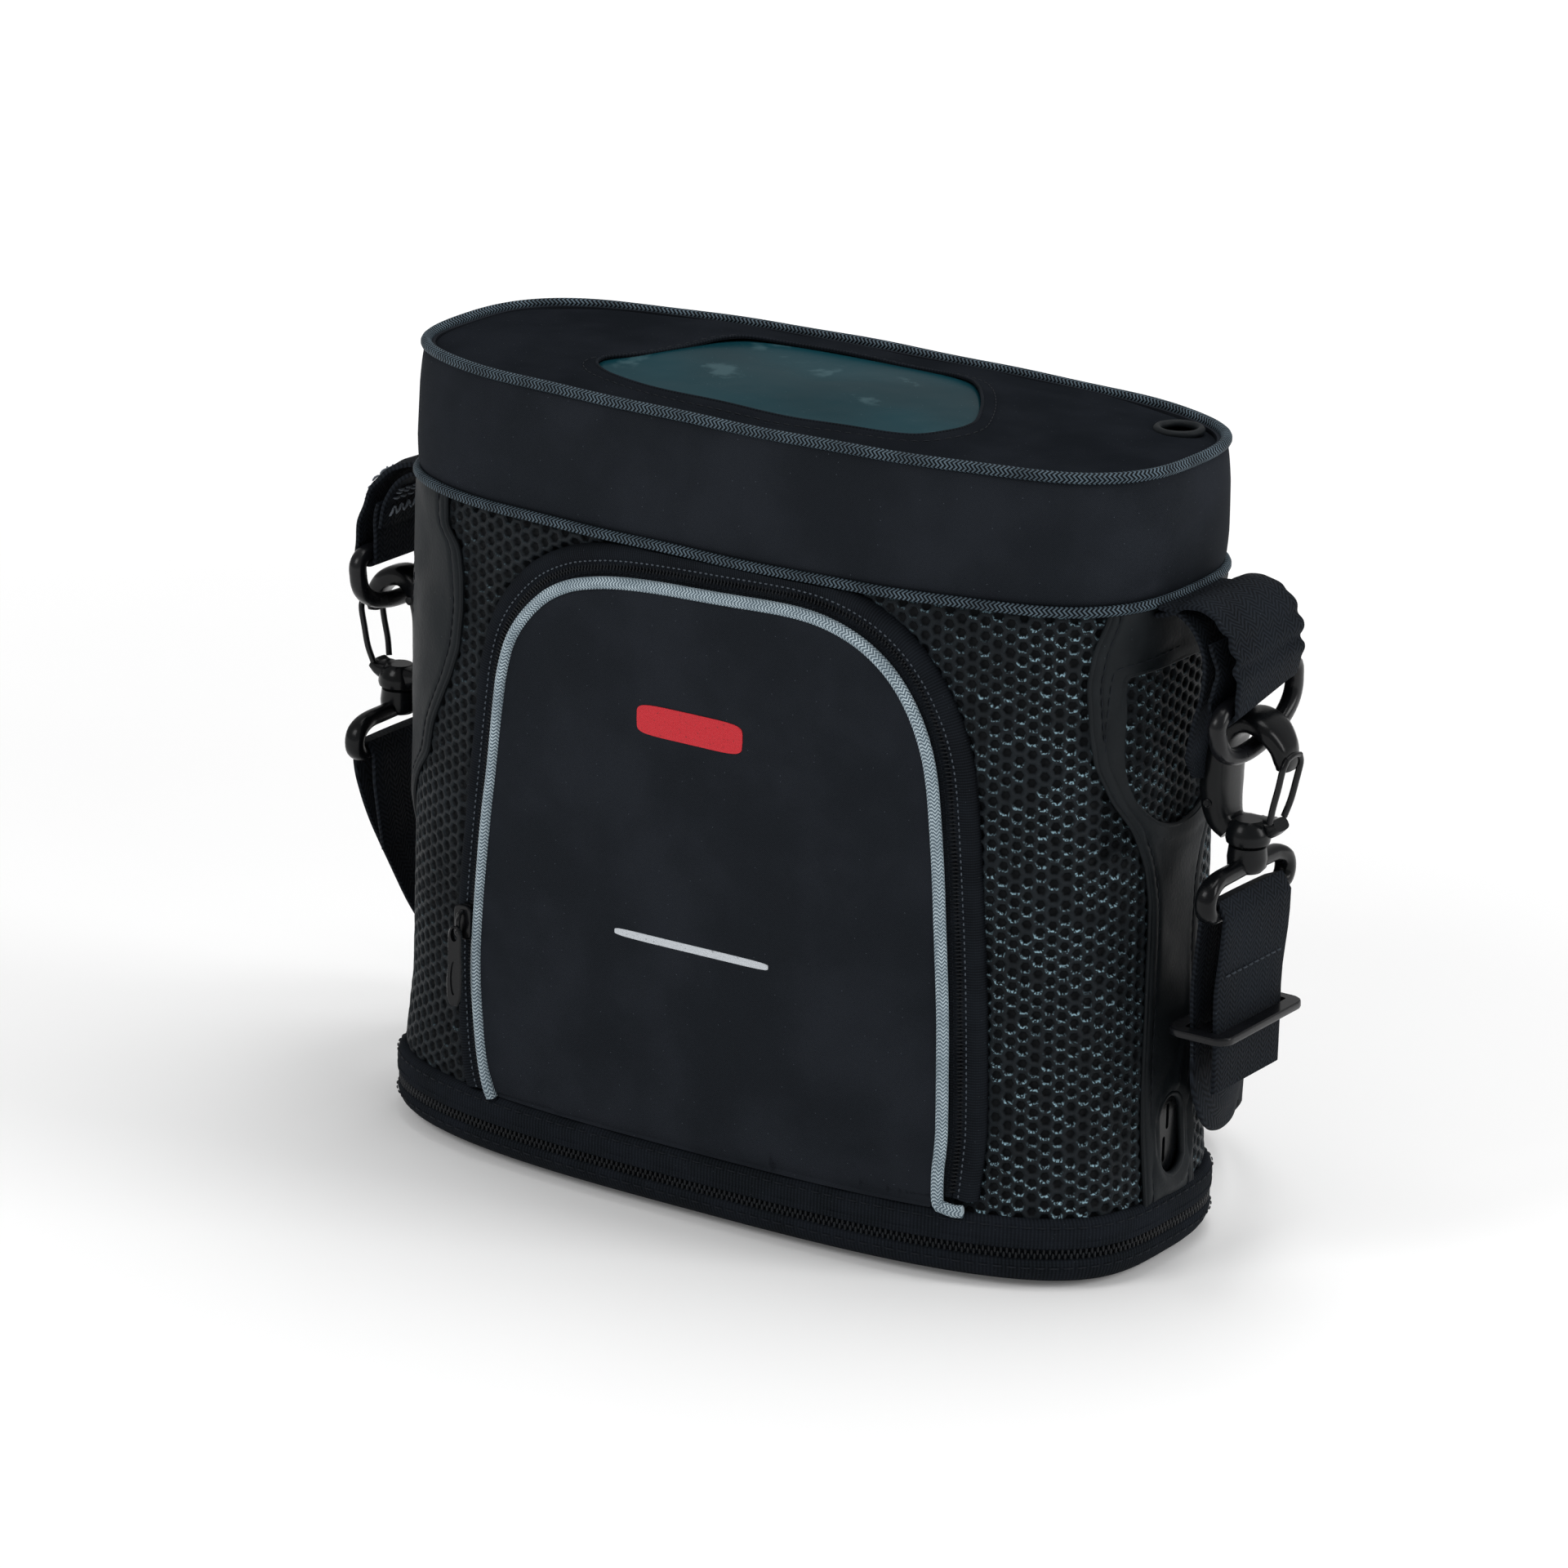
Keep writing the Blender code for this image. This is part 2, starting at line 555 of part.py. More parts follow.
part("base_zip_pull", slab(round_rect(BS_Y + 0.0132, COIL_Z, 0.0260, 0.0060, 0.0028, 3), "x",
                           BS_X - 0.0056, BS_X - 0.0042), "black_metal",
     origin=(BS_X - 0.0049, BS_Y + 0.0010, COIL_Z))

# ------------------------------------------------------------------ strap clips
LEFT_TAB = ((0.1305, 0.2030), (0.1370, 0.2030), (0.1440, 0.2008), (0.1505, 0.1950), (0.1550, 0.1860),
            (0.1567, 0.1770))
RIGHT_TAB = ((0.1305, 0.2030), (0.1350, 0.2066), (0.1410, 0.2092), (0.1480, 0.2086), (0.1540, 0.2032),
             (0.1568, 0.1950), (0.1571, 0.1880))


def tab_path(keys, bar_z):
    """Webbing out of the seam, round the ring's bar and back up inside itself."""
    pts = [(x, 0.0, z) for x, z in keys]
    r = 0.0040
    for i in range(0, 9):
        a = pi * i / 8.0
        pts.append((HW_X + r * cos(a), 0.0, bar_z - r * sin(a)))
    end = len(keys)
    for x, z in ((HW_X - 0.0039, bar_z + 0.0045), (HW_X - 0.0030, bar_z + 0.0110), (HW_X - 0.0052, bar_z + 0.0180)):
        pts.append((x, 0.0, z))
    return pts


def swing(pts, side):
    return [(side * x, y, z) for x, y, z in pts]


def d_ring(z_bar, z_limb):
    """D-shaped ring: straight bar on top, a bow below."""
    pts = [(HW_X, y, z_bar) for y in (-0.0192, -0.0096, 0.0, 0.0096, 0.0192)]
    depth = z_bar - z_limb
    for i in range(0, 13):
        a = pi * i / 12.0
        y = 0.0222 * cos(a)
        z = z_bar - 0.0030 - (depth - 0.0030) * sin(a) ** 0.62
        pts.append((HW_X, y, z))
    return pts


def hook_path(base):
    """Crown of the snap hook: up one side, over and down to the nose."""
    up = HOOK_ARC_Z - HOOK_BASE_Z
    pts = [(-HOOK_HALF + 0.0040, 0.0, base + 0.0020), (-HOOK_HALF + 0.0008, 0.0, base + 0.0060),
           (-HOOK_HALF, 0.0, base + 0.0110), (-HOOK_HALF, 0.0, base + 0.0190)]
    for i in range(0, 10):
        a = pi - pi * i / 9.0
        pts.append((HOOK_HALF * cos(a), 0.0, base + up + HOOK_HALF * sin(a)))
    pts.append((HOOK_HALF, 0.0, base + up - 0.0030))
    return [(HW_X + x, y, z) for x, y, z in pts]


for side, (sg, dz) in SIDES.items():
    bar, limb = D_BAR_Z + dz, D_LIMB_Z + dz
    keys = LEFT_TAB if side == "left" else RIGHT_TAB
    path = tab_path(keys, bar)
    part("strap_tab_" + side, ribbon(swing(path, sg), [(0, 1, 0)] * len(path)), "webbing")
    part("d_ring_" + side, tube(swing(d_ring(bar, limb), sg), D_ROD, 8, True), "black_metal",
         origin=(sg * HW_X, 0.0, bar))
    base = HOOK_BASE_Z + dz
    # snap hook: crown, root block, and the bore that turns on the eye's pin
    part("snap_hook_" + side, tube(swing(hook_path(base), sg), HOOK_ROD, 8), "black_plastic",
         origin=(sg * HW_X, 0.0, base),
         adds=[stack((sg * HW_X, 0.0, base), ((0.0056, 0.0), (0.0066, 0.0012), (0.0064, 0.0052), (0.0050, 0.0068)), 16)],
         cuts=[cylinder((sg * HW_X, 0.0, base - 0.002), "z", 0.0024, 0.0042, 12),
               cylinder((sg * HW_X, 0.0, base + 0.0021), "z", 0.0038, 0.0060, 12)])
    gx0 = HW_X + HOOK_HALF - 0.0012
    part("hook_gate_" + side, slab(round_rect(sg * (HW_X + HOOK_HALF - 0.0002), base + 0.0150, 0.0030, 0.0172, 0.0010, 1),
                                   "y", -0.0018, 0.0018), "black_metal",
         origin=(sg * (HW_X + HOOK_HALF - 0.0002), 0.0, base + 0.0074))
    # square eye with its swivel pin
    eb, et = EYE_BAR_Z + dz, EYE_TOP_Z + dz
    loop = [(HW_X, y, z) for y, z in
            [(-0.0190, eb), (-0.0095, eb), (0.0, eb), (0.0095, eb), (0.0190, eb),
             (0.0222, eb + 0.0014), (0.0232, eb + 0.0045), (0.0218, eb + 0.0078), (0.0170, et),
             (0.0085, et + 0.0004), (0.0, et + 0.0006), (-0.0085, et + 0.0004), (-0.0170, et),
             (-0.0218, eb + 0.0078), (-0.0232, eb + 0.0045), (-0.0222, eb + 0.0014)]]
    part("swivel_eye_" + side, tube(swing(loop, sg), EYE_ROD, 8, True), "black_plastic",
         origin=(sg * HW_X, 0.0, eb),
         adds=[stack((sg * HW_X, 0.0, et), ((0.0050, -0.0010), (0.0058, 0.0030), (0.0056, HOOK_BASE_Z - EYE_TOP_Z - 0.0004)), 16),
               stack((sg * HW_X, 0.0, base), ((0.0020, -0.0030), (0.0020, 0.0024), (0.0033, 0.0025), (0.0033, 0.0036)), 12)])

# ------------------------------------------------------------------ shoulder strap
def eye_wrap(bar_z, r=0.0038):
    """Half turn of webbing over a bar, from outside to inside."""
    return [(HW_X + r * cos(pi * i / 8.0), 0.0, bar_z + r * sin(pi * i / 8.0)) for i in range(0, 9)]


def plan_turn(cx, cy, r, a0, a1, z, k=8):
    return [(cx + r * cos(a0 + (a1 - a0) * i / k), cy + r * sin(a0 + (a1 - a0) * i / k), z) for i in range(k + 1)]


ON_EDGE = 0.0196
PAD_CX, PAD_X, PAD_H, PAD_T = -0.0200, 0.0940, 0.0500, 0.0070
RUN_A, RUN_B, PAD_Y = 0.0786, 0.0926, 0.1066
# left half: doubled at the eye, down the end of the bag, folded behind it, sewn to the pad
left = [(-(HW_X - 0.0048), 0.0040, 0.0780), (-(HW_X - 0.0044), 0.0020, 0.0880), (-(HW_X - 0.0040), 0.0, 0.0990)]
lw = [(0, 1, 0.12), (0, 1, 0.06), (0, 1, 0)]
for p in reversed(eye_wrap(EYE_BAR_Z)):
    left.append((-p[0], p[1], p[2]))
    lw.append((0, 1, 0))
leg = smooth_path([(-(HW_X + 0.0038), 0.0010, 0.1020), (-(HW_X + 0.0030), 0.0085, 0.0860), (-0.1535, 0.0240, 0.0590),
                   (-0.1510, 0.0430, 0.0370), (-0.1430, 0.0620, 0.0252), (-0.1290, 0.0745, 0.0208),
                   (-0.1100, RUN_A, ON_EDGE)], 3)
lk = [(0, 1, 0), (0, 0.90, 0.44), (0, 0.80, 0.60), (0, 0.60, 0.80), (0, 0.28, 0.96), (0, 0.08, 1), (0, 0, 1)]
for i, p in enumerate(leg):
    s = i / 3.0
    k = min(int(s), 5)
    f = s - k
    left.append(tuple(p))
    lw.append(tuple(lk[k][c] + (lk[k + 1][c] - lk[k][c]) * f for c in range(3)))
rA = (RUN_B - RUN_A) / 2
rB = (PAD_Y - RUN_B) / 2
tail = [(-0.070, RUN_A, ON_EDGE), (-0.015, RUN_A + 0.0008, ON_EDGE), (0.040, RUN_A, ON_EDGE)]
tail += plan_turn(0.0740, RUN_A + rA, rA, -pi / 2, pi / 2, ON_EDGE)
tail += [(0.040, RUN_B, ON_EDGE), (-0.020, RUN_B - 0.0008, ON_EDGE), (-0.080, RUN_B, ON_EDGE)]
tail += plan_turn(-0.1210, RUN_B + rB, rB, -pi / 2, -3 * pi / 2, ON_EDGE)
tail += [(PAD_CX - PAD_X - 0.0030, PAD_Y, ON_EDGE + 0.0006)]
left += tail
lw += [(0, 0, 1)] * len(tail)
part("shoulder_strap_left", ribbon(left, lw), "webbing")



def pad_solid():
    rings = []
    for x, k in ((-PAD_X, 0.82), (-PAD_X + 0.006, 1.0), (-0.04, 1.0), (0.04, 1.0), (PAD_X - 0.006, 1.0), (PAD_X, 0.82)):
        h, t = PAD_H / 2 * k, PAD_T / 2 * (0.6 if k < 1 else 1.0)
        zc = 0.0004 + PAD_H / 2
        rings.append([(PAD_CX + x, PAD_Y + v, zc + u) for u, v in
                      ((-h, -t * 0.5), (-h, t * 0.5), (-h * 0.86, t), (h * 0.86, t), (h, t * 0.5), (h, -t * 0.5),
                       (h * 0.86, -t), (-h * 0.86, -t))])
    return loft(rings)


part("shoulder_pad", pad_solid(), "smooth_fabric")

ze = EYE_BAR_Z + SIDES["right"][1]
OUT_X, IN_X = HW_X + 0.0026, HW_X - 0.0052           # the two legs through the buckle
right_leg = [(OUT_X, 0.0, GLIDE_Z - 0.0180), (OUT_X, 0.0, GLIDE_Z - 0.0060), (OUT_X, 0.0, GLIDE_Z + 0.0120),
             (OUT_X + 0.0006, 0.0, GLIDE_Z + 0.0220)]
right_leg += [(p[0], 0.0, p[2]) for p in eye_wrap(ze)]
right_leg += [(IN_X + 0.0006, 0.0, GLIDE_Z + 0.0220), (IN_X, 0.0, GLIDE_Z + 0.0120), (IN_X, 0.0, GLIDE_Z - 0.0060)]
rw = [(0, 1, 0)] * len(right_leg)
curve = smooth_path([(IN_X, 0.0005, GLIDE_Z - 0.0120), (IN_X - 0.0006, 0.0050, 0.0625), (0.1450, 0.0130, 0.0592),
                     (0.1405, 0.0250, 0.0575), (0.1340, 0.0390, 0.0565), (0.1260, 0.0540, 0.0530),
                     (0.1170, 0.0680, 0.0460), (0.1070, 0.0810, 0.0375), (0.0970, 0.0925, 0.0300),
                     (0.0880, 0.1010, 0.0264), (PAD_CX + PAD_X + 0.0040, PAD_Y, 0.0256)], 3)
rk = [(0, 1, 0), (0, 0.84, 0.54), (0, 0.58, 0.81), (0, 0.40, 0.92), (0, 0.30, 0.95), (0, 0.20, 0.98), (0, 0.13, 0.99),
      (0, 0.07, 1), (0, 0.03, 1), (0, 0, 1), (0, 0, 1)]
for i, p in enumerate(curve):
    s = i / 3.0
    k = min(int(s), 9)
    f = s - k
    right_leg.append(tuple(p))
    rw.append(tuple(rk[k][c] + (rk[k + 1][c] - rk[k][c]) * f for c in range(3)))
part("shoulder_strap_right", ribbon(right_leg, rw), "webbing")

# three-bar buckle: a tilted plate with two slots
GL_X0, GL_X1 = HW_X - 0.0118, HW_X + 0.0092
plate = slab([(GL_X0, GLIDE_Z - 0.0012), (GL_X1, GLIDE_Z - 0.0012), (GL_X1, GLIDE_Z + 0.0012), (GL_X0, GLIDE_Z + 0.0012)],
             "y", -0.0240, 0.0240)
part("strap_buckle", plate, "black_metal", origin=(HW_X, 0.0, GLIDE_Z),
     cuts=[box(IN_X - 0.0019, IN_X + 0.0019, -0.0200, 0.0200, GLIDE_Z - 0.01, GLIDE_Z + 0.01),
           box(OUT_X - 0.0019, OUT_X + 0.0019, -0.0200, 0.0200, GLIDE_Z - 0.01, GLIDE_Z + 0.01)], bevel=0.0005)

# ------------------------------------------------------------------ the concentrator inside
N_DEV = 36


def dev_ring(inset, z, n=N_DEV):
    return foot_ring(DEV_A - inset, DEV_B - inset, z, n)


case = loft([dev_ring(0.0, DEV_Z0 + 0.0010), dev_ring(0.0, 0.2260),
             dev_ring(DEV_WALL, 0.2260), dev_ring(DEV_WALL, DEV_Z0 + 0.0010)], True)
port_cut = cylinder((0.110, 0.0, 0.0395), "x", 0.0050, 0.02, 16)
part("front_shell", case, "case_plastic", cuts=[box(-0.2, 0.2, -0.00015, 0.2, -0.1, 0.4), port_cut])
part("rear_shell", case, "case_plastic", cuts=[box(-0.2, 0.2, -0.2, 0.00015, -0.1, 0.4), port_cut])

PANEL_Z = 0.2263
BUTTONS = (("power_button", -0.0400), ("mode_button", 0.0140), ("flow_down_button", 0.0290),
           ("flow_up_button", 0.0440))
BTN_Y, BTN_R = -0.0140, 0.0052
LENS = (-0.0080, 0.0100, 0.0560, 0.0200)
cap = loft([dev_ring(0.0, PANEL_Z), dev_ring(0.0, PANEL_Z + 0.0040), dev_ring(0.0040, DEV_Z1 - 0.0008),
            dev_ring(0.0090, DEV_Z1)])
part("control_panel", cap, "panel_plastic",
     cuts=[loft([dev_ring(0.0030, 0.2200), dev_ring(0.0030, DEV_Z1 - 0.0034)]),
           prism(round_rect(*LENS, 0.0030, 3), DEV_Z1 - 0.0022, 0.24)]
     + [cylinder((x, BTN_Y, 0.22), "z", BTN_R + 0.0004, 0.03, 16) for _, x in BUTTONS]
     + [cylinder((OUTLET_X, OUTLET_Y, 0.22), "z", 0.0046, 0.03, 16)])
part("display_lens", prism(round_rect(LENS[0], LENS[1], LENS[2] - 0.0006, LENS[3] - 0.0006, 0.0027, 3),
                           DEV_Z1 - 0.0019, DEV_Z1 + 0.0002), "display_glass")
for nm, x in BUTTONS:
    part(nm, stack((x, BTN_Y, DEV_Z1), ((BTN_R, -0.0032), (BTN_R, 0.0008), (BTN_R - 0.0010, 0.0014)), 16),
         "button_rubber", origin=(x, BTN_Y, DEV_Z1))
part("oxygen_outlet", stack((OUTLET_X, OUTLET_Y, 0.0), ((0.0043, 0.2240), (0.0043, 0.2362), (0.0030, 0.2366),
                                                       (0.0024, 0.2380), (0.0030, 0.2392), (0.0024, 0.2406),
                                                       (0.0030, 0.2418), (0.0020, 0.2436)), 14), "black_plastic",
     cuts=[cylinder((OUTLET_X, OUTLET_Y, 0.2300), "z", 0.0013, 0.03, 10)])

part("battery_pack", box(-0.1000, 0.0300, -0.0350, 0.0350, DEV_Z0 + 0.0012, 0.0500), "panel_plastic", bevel=0.002)
part("equipment_deck", loft([dev_ring(0.0040, DECK_Z, 36), dev_ring(0.0040, DECK_Z + 0.0020, 36)]), "aluminium")
dz0 = DECK_Z + 0.0023
part("compressor_body", cylinder((-0.0700, -0.0040, 0.1000), "x", 0.0280, 0.0700, 24), "aluminium",
     adds=[box(-0.0620, -0.0160, -0.0200, 0.0120, dz0, 0.0900),
           cylinder((-0.0350, -0.0040, 0.1200), "z", 0.0190, 0.0460, 20)])
part("compressor_crank", cylinder((0.0003, -0.0040, 0.1000), "x", 0.0200, 0.0060, 20), "steel",
     origin=(0.0, -0.0040, 0.1000), adds=[cylinder((0.0050, 0.0060, 0.1000), "x", 0.0030, 0.0070, 12)])
part("cooling_fan_frame", slab(round_rect(-0.0040, 0.1000, 0.0600, 0.0600, 0.0040, 2), "x", -0.0960, -0.0800),
     "black_plastic", cuts=[cylinder((-0.10, -0.0040, 0.1000), "x", 0.0275, 0.03, 24)])
blades = []
for k in range(7):
    a = 2 * pi * k / 7
    c, s = cos(a), sin(a)
    quad = []
    for (rr, x, w) in ((0.0075, -0.0935, -0.0030), (0.0075, -0.0825, 0.0030), (0.0262, -0.0825, 0.0050),
                       (0.0262, -0.0935, -0.0050)):
        quad.append((x, w, rr))
    lo = [(x, -0.0040 + (w - 0.0007) * c - rr * s, 0.1000 + (w - 0.0007) * s + rr * c) for x, w, rr in quad]
    hi = [(x, -0.0040 + (w + 0.0007) * c - rr * s, 0.1000 + (w + 0.0007) * s + rr * c) for x, w, rr in quad]
    blades.append(loft([lo, hi]))
part("cooling_fan_rotor", cylinder((-0.0950, -0.0040, 0.1000), "x", 0.0100, 0.0140, 18), "black_plastic",
     origin=(-0.0880, -0.0040, 0.1000), adds=blades)
for nm, x, y in (("sieve_bed_front", 0.0420, -0.0190), ("sieve_bed_rear", 0.0420, 0.0190),
                 ("product_tank", 0.0820, -0.0190)):
    part(nm, stack((x, y, 0.0), ((0.0120, dz0), (0.0165, dz0 + 0.0040), (0.0165, 0.1960), (0.0120, 0.2000)), 20),
         "aluminium")
part("valve_manifold", box(0.0240, 0.1000, -0.0300, 0.0300, 0.2004, 0.2150), "aluminium", bevel=0.001)
part("main_circuit_board", box(-0.0650, 0.0230, 0.0380, 0.0396, 0.0620, 0.2080), "circuit_board")
part("intake_filter", prism(round_rect(-0.0600, -0.0060, 0.0700, 0.0560, 0.0060, 3), 0.1750, 0.2000), "grey_foam")
part("dc_inlet_socket", cylinder((0.1010, 0.0, 0.0395), "x", 0.0046, 0.0205, 16), "black_plastic",
     cuts=[cylinder((0.1120, 0.0, 0.0395), "x", 0.0026, 0.02, 12)])
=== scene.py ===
import json
import math
from math import sin, cos, pi, sqrt

import bpy
import numpy as np
from mathutils import Vector, Matrix

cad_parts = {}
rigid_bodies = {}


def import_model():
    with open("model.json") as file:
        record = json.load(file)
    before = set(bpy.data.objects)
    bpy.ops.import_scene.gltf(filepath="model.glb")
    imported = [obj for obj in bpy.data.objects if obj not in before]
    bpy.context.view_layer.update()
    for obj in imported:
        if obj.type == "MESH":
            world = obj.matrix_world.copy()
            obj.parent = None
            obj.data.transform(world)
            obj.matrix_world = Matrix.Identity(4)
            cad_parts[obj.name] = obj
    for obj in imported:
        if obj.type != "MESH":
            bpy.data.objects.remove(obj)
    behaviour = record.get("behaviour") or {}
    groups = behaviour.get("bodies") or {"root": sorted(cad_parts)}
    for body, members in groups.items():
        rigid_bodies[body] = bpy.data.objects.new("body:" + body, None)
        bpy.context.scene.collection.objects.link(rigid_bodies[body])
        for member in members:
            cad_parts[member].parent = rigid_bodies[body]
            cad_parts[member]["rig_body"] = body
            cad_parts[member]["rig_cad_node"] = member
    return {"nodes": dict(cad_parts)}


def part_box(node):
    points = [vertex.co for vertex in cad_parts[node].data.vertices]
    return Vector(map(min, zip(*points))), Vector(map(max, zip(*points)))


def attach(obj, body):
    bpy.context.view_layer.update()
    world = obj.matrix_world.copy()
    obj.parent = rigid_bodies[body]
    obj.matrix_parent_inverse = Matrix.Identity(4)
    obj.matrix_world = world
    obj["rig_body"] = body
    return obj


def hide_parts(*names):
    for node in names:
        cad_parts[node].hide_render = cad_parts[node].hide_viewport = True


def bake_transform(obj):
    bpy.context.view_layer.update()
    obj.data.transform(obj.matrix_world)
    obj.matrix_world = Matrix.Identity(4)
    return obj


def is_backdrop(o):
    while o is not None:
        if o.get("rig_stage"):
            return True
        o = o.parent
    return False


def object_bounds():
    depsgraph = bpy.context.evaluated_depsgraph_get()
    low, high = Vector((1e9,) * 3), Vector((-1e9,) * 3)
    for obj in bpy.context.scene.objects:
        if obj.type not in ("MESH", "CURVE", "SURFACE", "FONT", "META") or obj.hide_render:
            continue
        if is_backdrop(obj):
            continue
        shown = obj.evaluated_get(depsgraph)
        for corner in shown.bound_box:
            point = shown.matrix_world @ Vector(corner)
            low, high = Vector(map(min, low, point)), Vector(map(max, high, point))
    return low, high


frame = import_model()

for ob in list(bpy.data.objects):
    if "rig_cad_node" not in ob and not ob.name.startswith("body:"):
        bpy.data.objects.remove(ob, do_unlink=True)
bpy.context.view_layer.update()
NODES = frame["nodes"]

# ------------------------------------------------------------------ the CAD's own numbers
EXP_X, EXP_Y = 2.9, 3.4
BODY_LEVELS = ((0.0218, 0.1310, 0.0595), (0.045, 0.1290, 0.0575),
               (0.120, 0.1283, 0.0570), (0.2052, 0.1278, 0.0576))
BAND_LEVELS = ((0.2070, 0.1283, 0.0578), (0.2089, 0.1283, 0.0577), (0.2180, 0.1288, 0.0573),
               (0.2340, 0.1292, 0.0549), (0.2440, 0.1289, 0.0531), (0.2460, 0.1286, 0.0528))
TOP_A, TOP_B, TOP_Z = 0.1268, 0.0509, 0.2443
TOP_DOME = 0.0034
PIPE_TOP = (0.2459, 0.1290, 0.0531, 0.0017)
PIPE_LOW = (0.2070, 0.1292, 0.0588, 0.0016)
BIND_Z0, BIND_Z1, BIND_A, BIND_B = 0.0125, 0.0214, 0.1334, 0.0618
COIL_Z = 0.0112
POCKET_X = 0.003
POCKET = ((0.0255, 0.0795), (0.035, 0.0820), (0.045, 0.0836), (0.060, 0.0840),
          (0.095, 0.0835), (0.115, 0.0818), (0.135, 0.0794), (0.1546, 0.0768),
          (0.168, 0.0732), (0.178, 0.0690), (0.185, 0.0640), (0.190, 0.0580),
          (0.1938, 0.0500), (0.1963, 0.0410), (0.1978, 0.0300), (0.1985, 0.0150))
PORT_Z0, PORT_Z1, PORT_R = 0.0265, 0.0525, 0.0072
WEB_W, WEB_T, HW_X = 0.038, 0.0016, 0.1530
SIDES = {"left": (-1.0, 0.0), "right": (1.0, 0.011)}
D_BAR_Z, D_LIMB_Z, D_ROD = 0.1710, 0.1530, 0.0022
HOOK_BASE_Z, HOOK_ROD, HOOK_ARC_Z, HOOK_HALF = 0.1235, 0.0027, 0.1508, 0.0085
EYE_BAR_Z, EYE_TOP_Z, EYE_ROD = 0.1065, 0.1165, 0.0026
GLIDE_Z = 0.0810
HOLE_X, HOLE_Y, HOLE_R = 0.1095, 0.0250, 0.0070


# ------------------------------------------------------------------ node materials
class Mat:
    """A Principled material and short calls for its nodes."""

    def __init__(self, name, rough=0.6, spec=0.5, metal=0.0, sheen=0.0, coat=0.0, coat_rough=0.1, alpha=1.0):
        self.m = bpy.data.materials.new("look_" + name)
        self.m.use_nodes = True
        self.t = self.m.node_tree
        self.p = self.t.nodes["Principled BSDF"]
        for k, v in (("Roughness", rough), ("Specular IOR Level", spec), ("Metallic", metal),
                     ("Sheen Weight", sheen), ("Sheen Roughness", 0.45), ("Coat Weight", coat),
                     ("Coat Roughness", coat_rough), ("Alpha", alpha)):
            self.p.inputs[k].default_value = v
        self._uv = None

    def node(self, kind, **kw):
        n = self.t.nodes.new("ShaderNode" + kind)
        for k, v in kw.items():
            setattr(n, k, v)
        return n

    def feed(self, socket, v):
        if isinstance(v, bpy.types.NodeSocket):
            self.t.links.new(v, socket)
        elif isinstance(v, (tuple, list)) and socket.type == "RGBA":
            socket.default_value = (*v[:3], 1.0)
        else:
            socket.default_value = v

    def math(self, op, a, b=0.0, c=0.0, clamp=False):
        n = self.node("Math", operation=op, use_clamp=clamp)
        for s, v in zip(n.inputs, (a, b, c)):
            self.feed(s, v)
        return n.outputs[0]

    def add(self, a, b):
        return self.math("ADD", a, b)

    def mul(self, a, b):
        return self.math("MULTIPLY", a, b)

    def uv(self):
        if self._uv is None:
            n = self.node("UVMap", uv_map="UV")
            s = self.node("SeparateXYZ")
            self.t.links.new(n.outputs[0], s.inputs[0])
            self._uv = (n.outputs[0], s.outputs[0], s.outputs[1])
        return self._uv

    def obj(self):
        return self.node("TexCoord").outputs["Object"]

    def sine(self, x, pitch, phase=0.0):
        return self.math("SINE", self.math("MULTIPLY_ADD", x, 2 * pi / pitch, phase))

    def noise(self, vec, scale, detail=3.0, rough=0.55, dims="3D"):
        n = self.node("TexNoise", noise_dimensions=dims)
        self.feed(n.inputs["Vector"], vec)
        n.inputs["Scale"].default_value = scale
        n.inputs["Detail"].default_value = detail
        n.inputs["Roughness"].default_value = rough
        return n.outputs[0]

    def voronoi(self, vec, scale, dims="3D", feature="F1"):
        n = self.node("TexVoronoi", voronoi_dimensions=dims, feature=feature)
        self.feed(n.inputs["Vector"], vec)
        n.inputs["Scale"].default_value = scale
        return n

    def span(self, x, a0, a1, b0=0.0, b1=1.0, kind="SMOOTHSTEP"):
        n = self.node("MapRange", interpolation_type=kind)
        for s, v in zip(("Value", "From Min", "From Max", "To Min", "To Max"), (x, a0, a1, b0, b1)):
            self.feed(n.inputs[s], v)
        return n.outputs[0]

    def mix(self, f, a, b):
        n = self.node("Mix", data_type="RGBA")
        self.feed(n.inputs[0], f)
        self.feed(n.inputs[6], a)
        self.feed(n.inputs[7], b)
        return n.outputs[2]

    def bump(self, height, distance, strength=1.0, normal=None):
        n = self.node("Bump")
        n.inputs["Strength"].default_value = strength
        n.inputs["Distance"].default_value = distance
        self.feed(n.inputs["Height"], height)
        if normal is not None:
            self.t.links.new(normal, n.inputs["Normal"])
        return n.outputs[0]

    def attribute(self, name):
        return self.node("Attribute", attribute_name=name).outputs["Fac"]

    def set(self, colour=None, rough=None, normal=None):
        if colour is not None:
            self.feed(self.p.inputs["Base Color"], colour)
        if rough is not None:
            self.feed(self.p.inputs["Roughness"], rough)
        if normal is not None:
            self.feed(self.p.inputs["Normal"], normal)
        return self.m


def lin(r, g, b):
    """sRGB 0-255 to linear."""
    return tuple(((c / 255) / 12.92 if c / 255 <= 0.04045 else ((c / 255 + 0.055) / 1.055) ** 2.4) for c in (r, g, b))


def weave_height(M, u, v, pu, pv):
    return M.math("MULTIPLY_ADD", M.mul(M.sine(u, pu), M.sine(v, pv)), 0.5, 0.5)


def lint(M, vec, scale=260.0, size=0.030, share=0.86):
    """Sparse pale specks of lint: returns a mask."""
    n = M.voronoi(vec, scale, "2D")
    size = size * 1.6
    s = M.node("SeparateColor")
    M.t.links.new(n.outputs["Color"], s.inputs[0])
    near = M.span(n.outputs["Distance"], size, size * 0.4)
    return M.mul(near, M.math("GREATER_THAN", s.outputs[0], share))


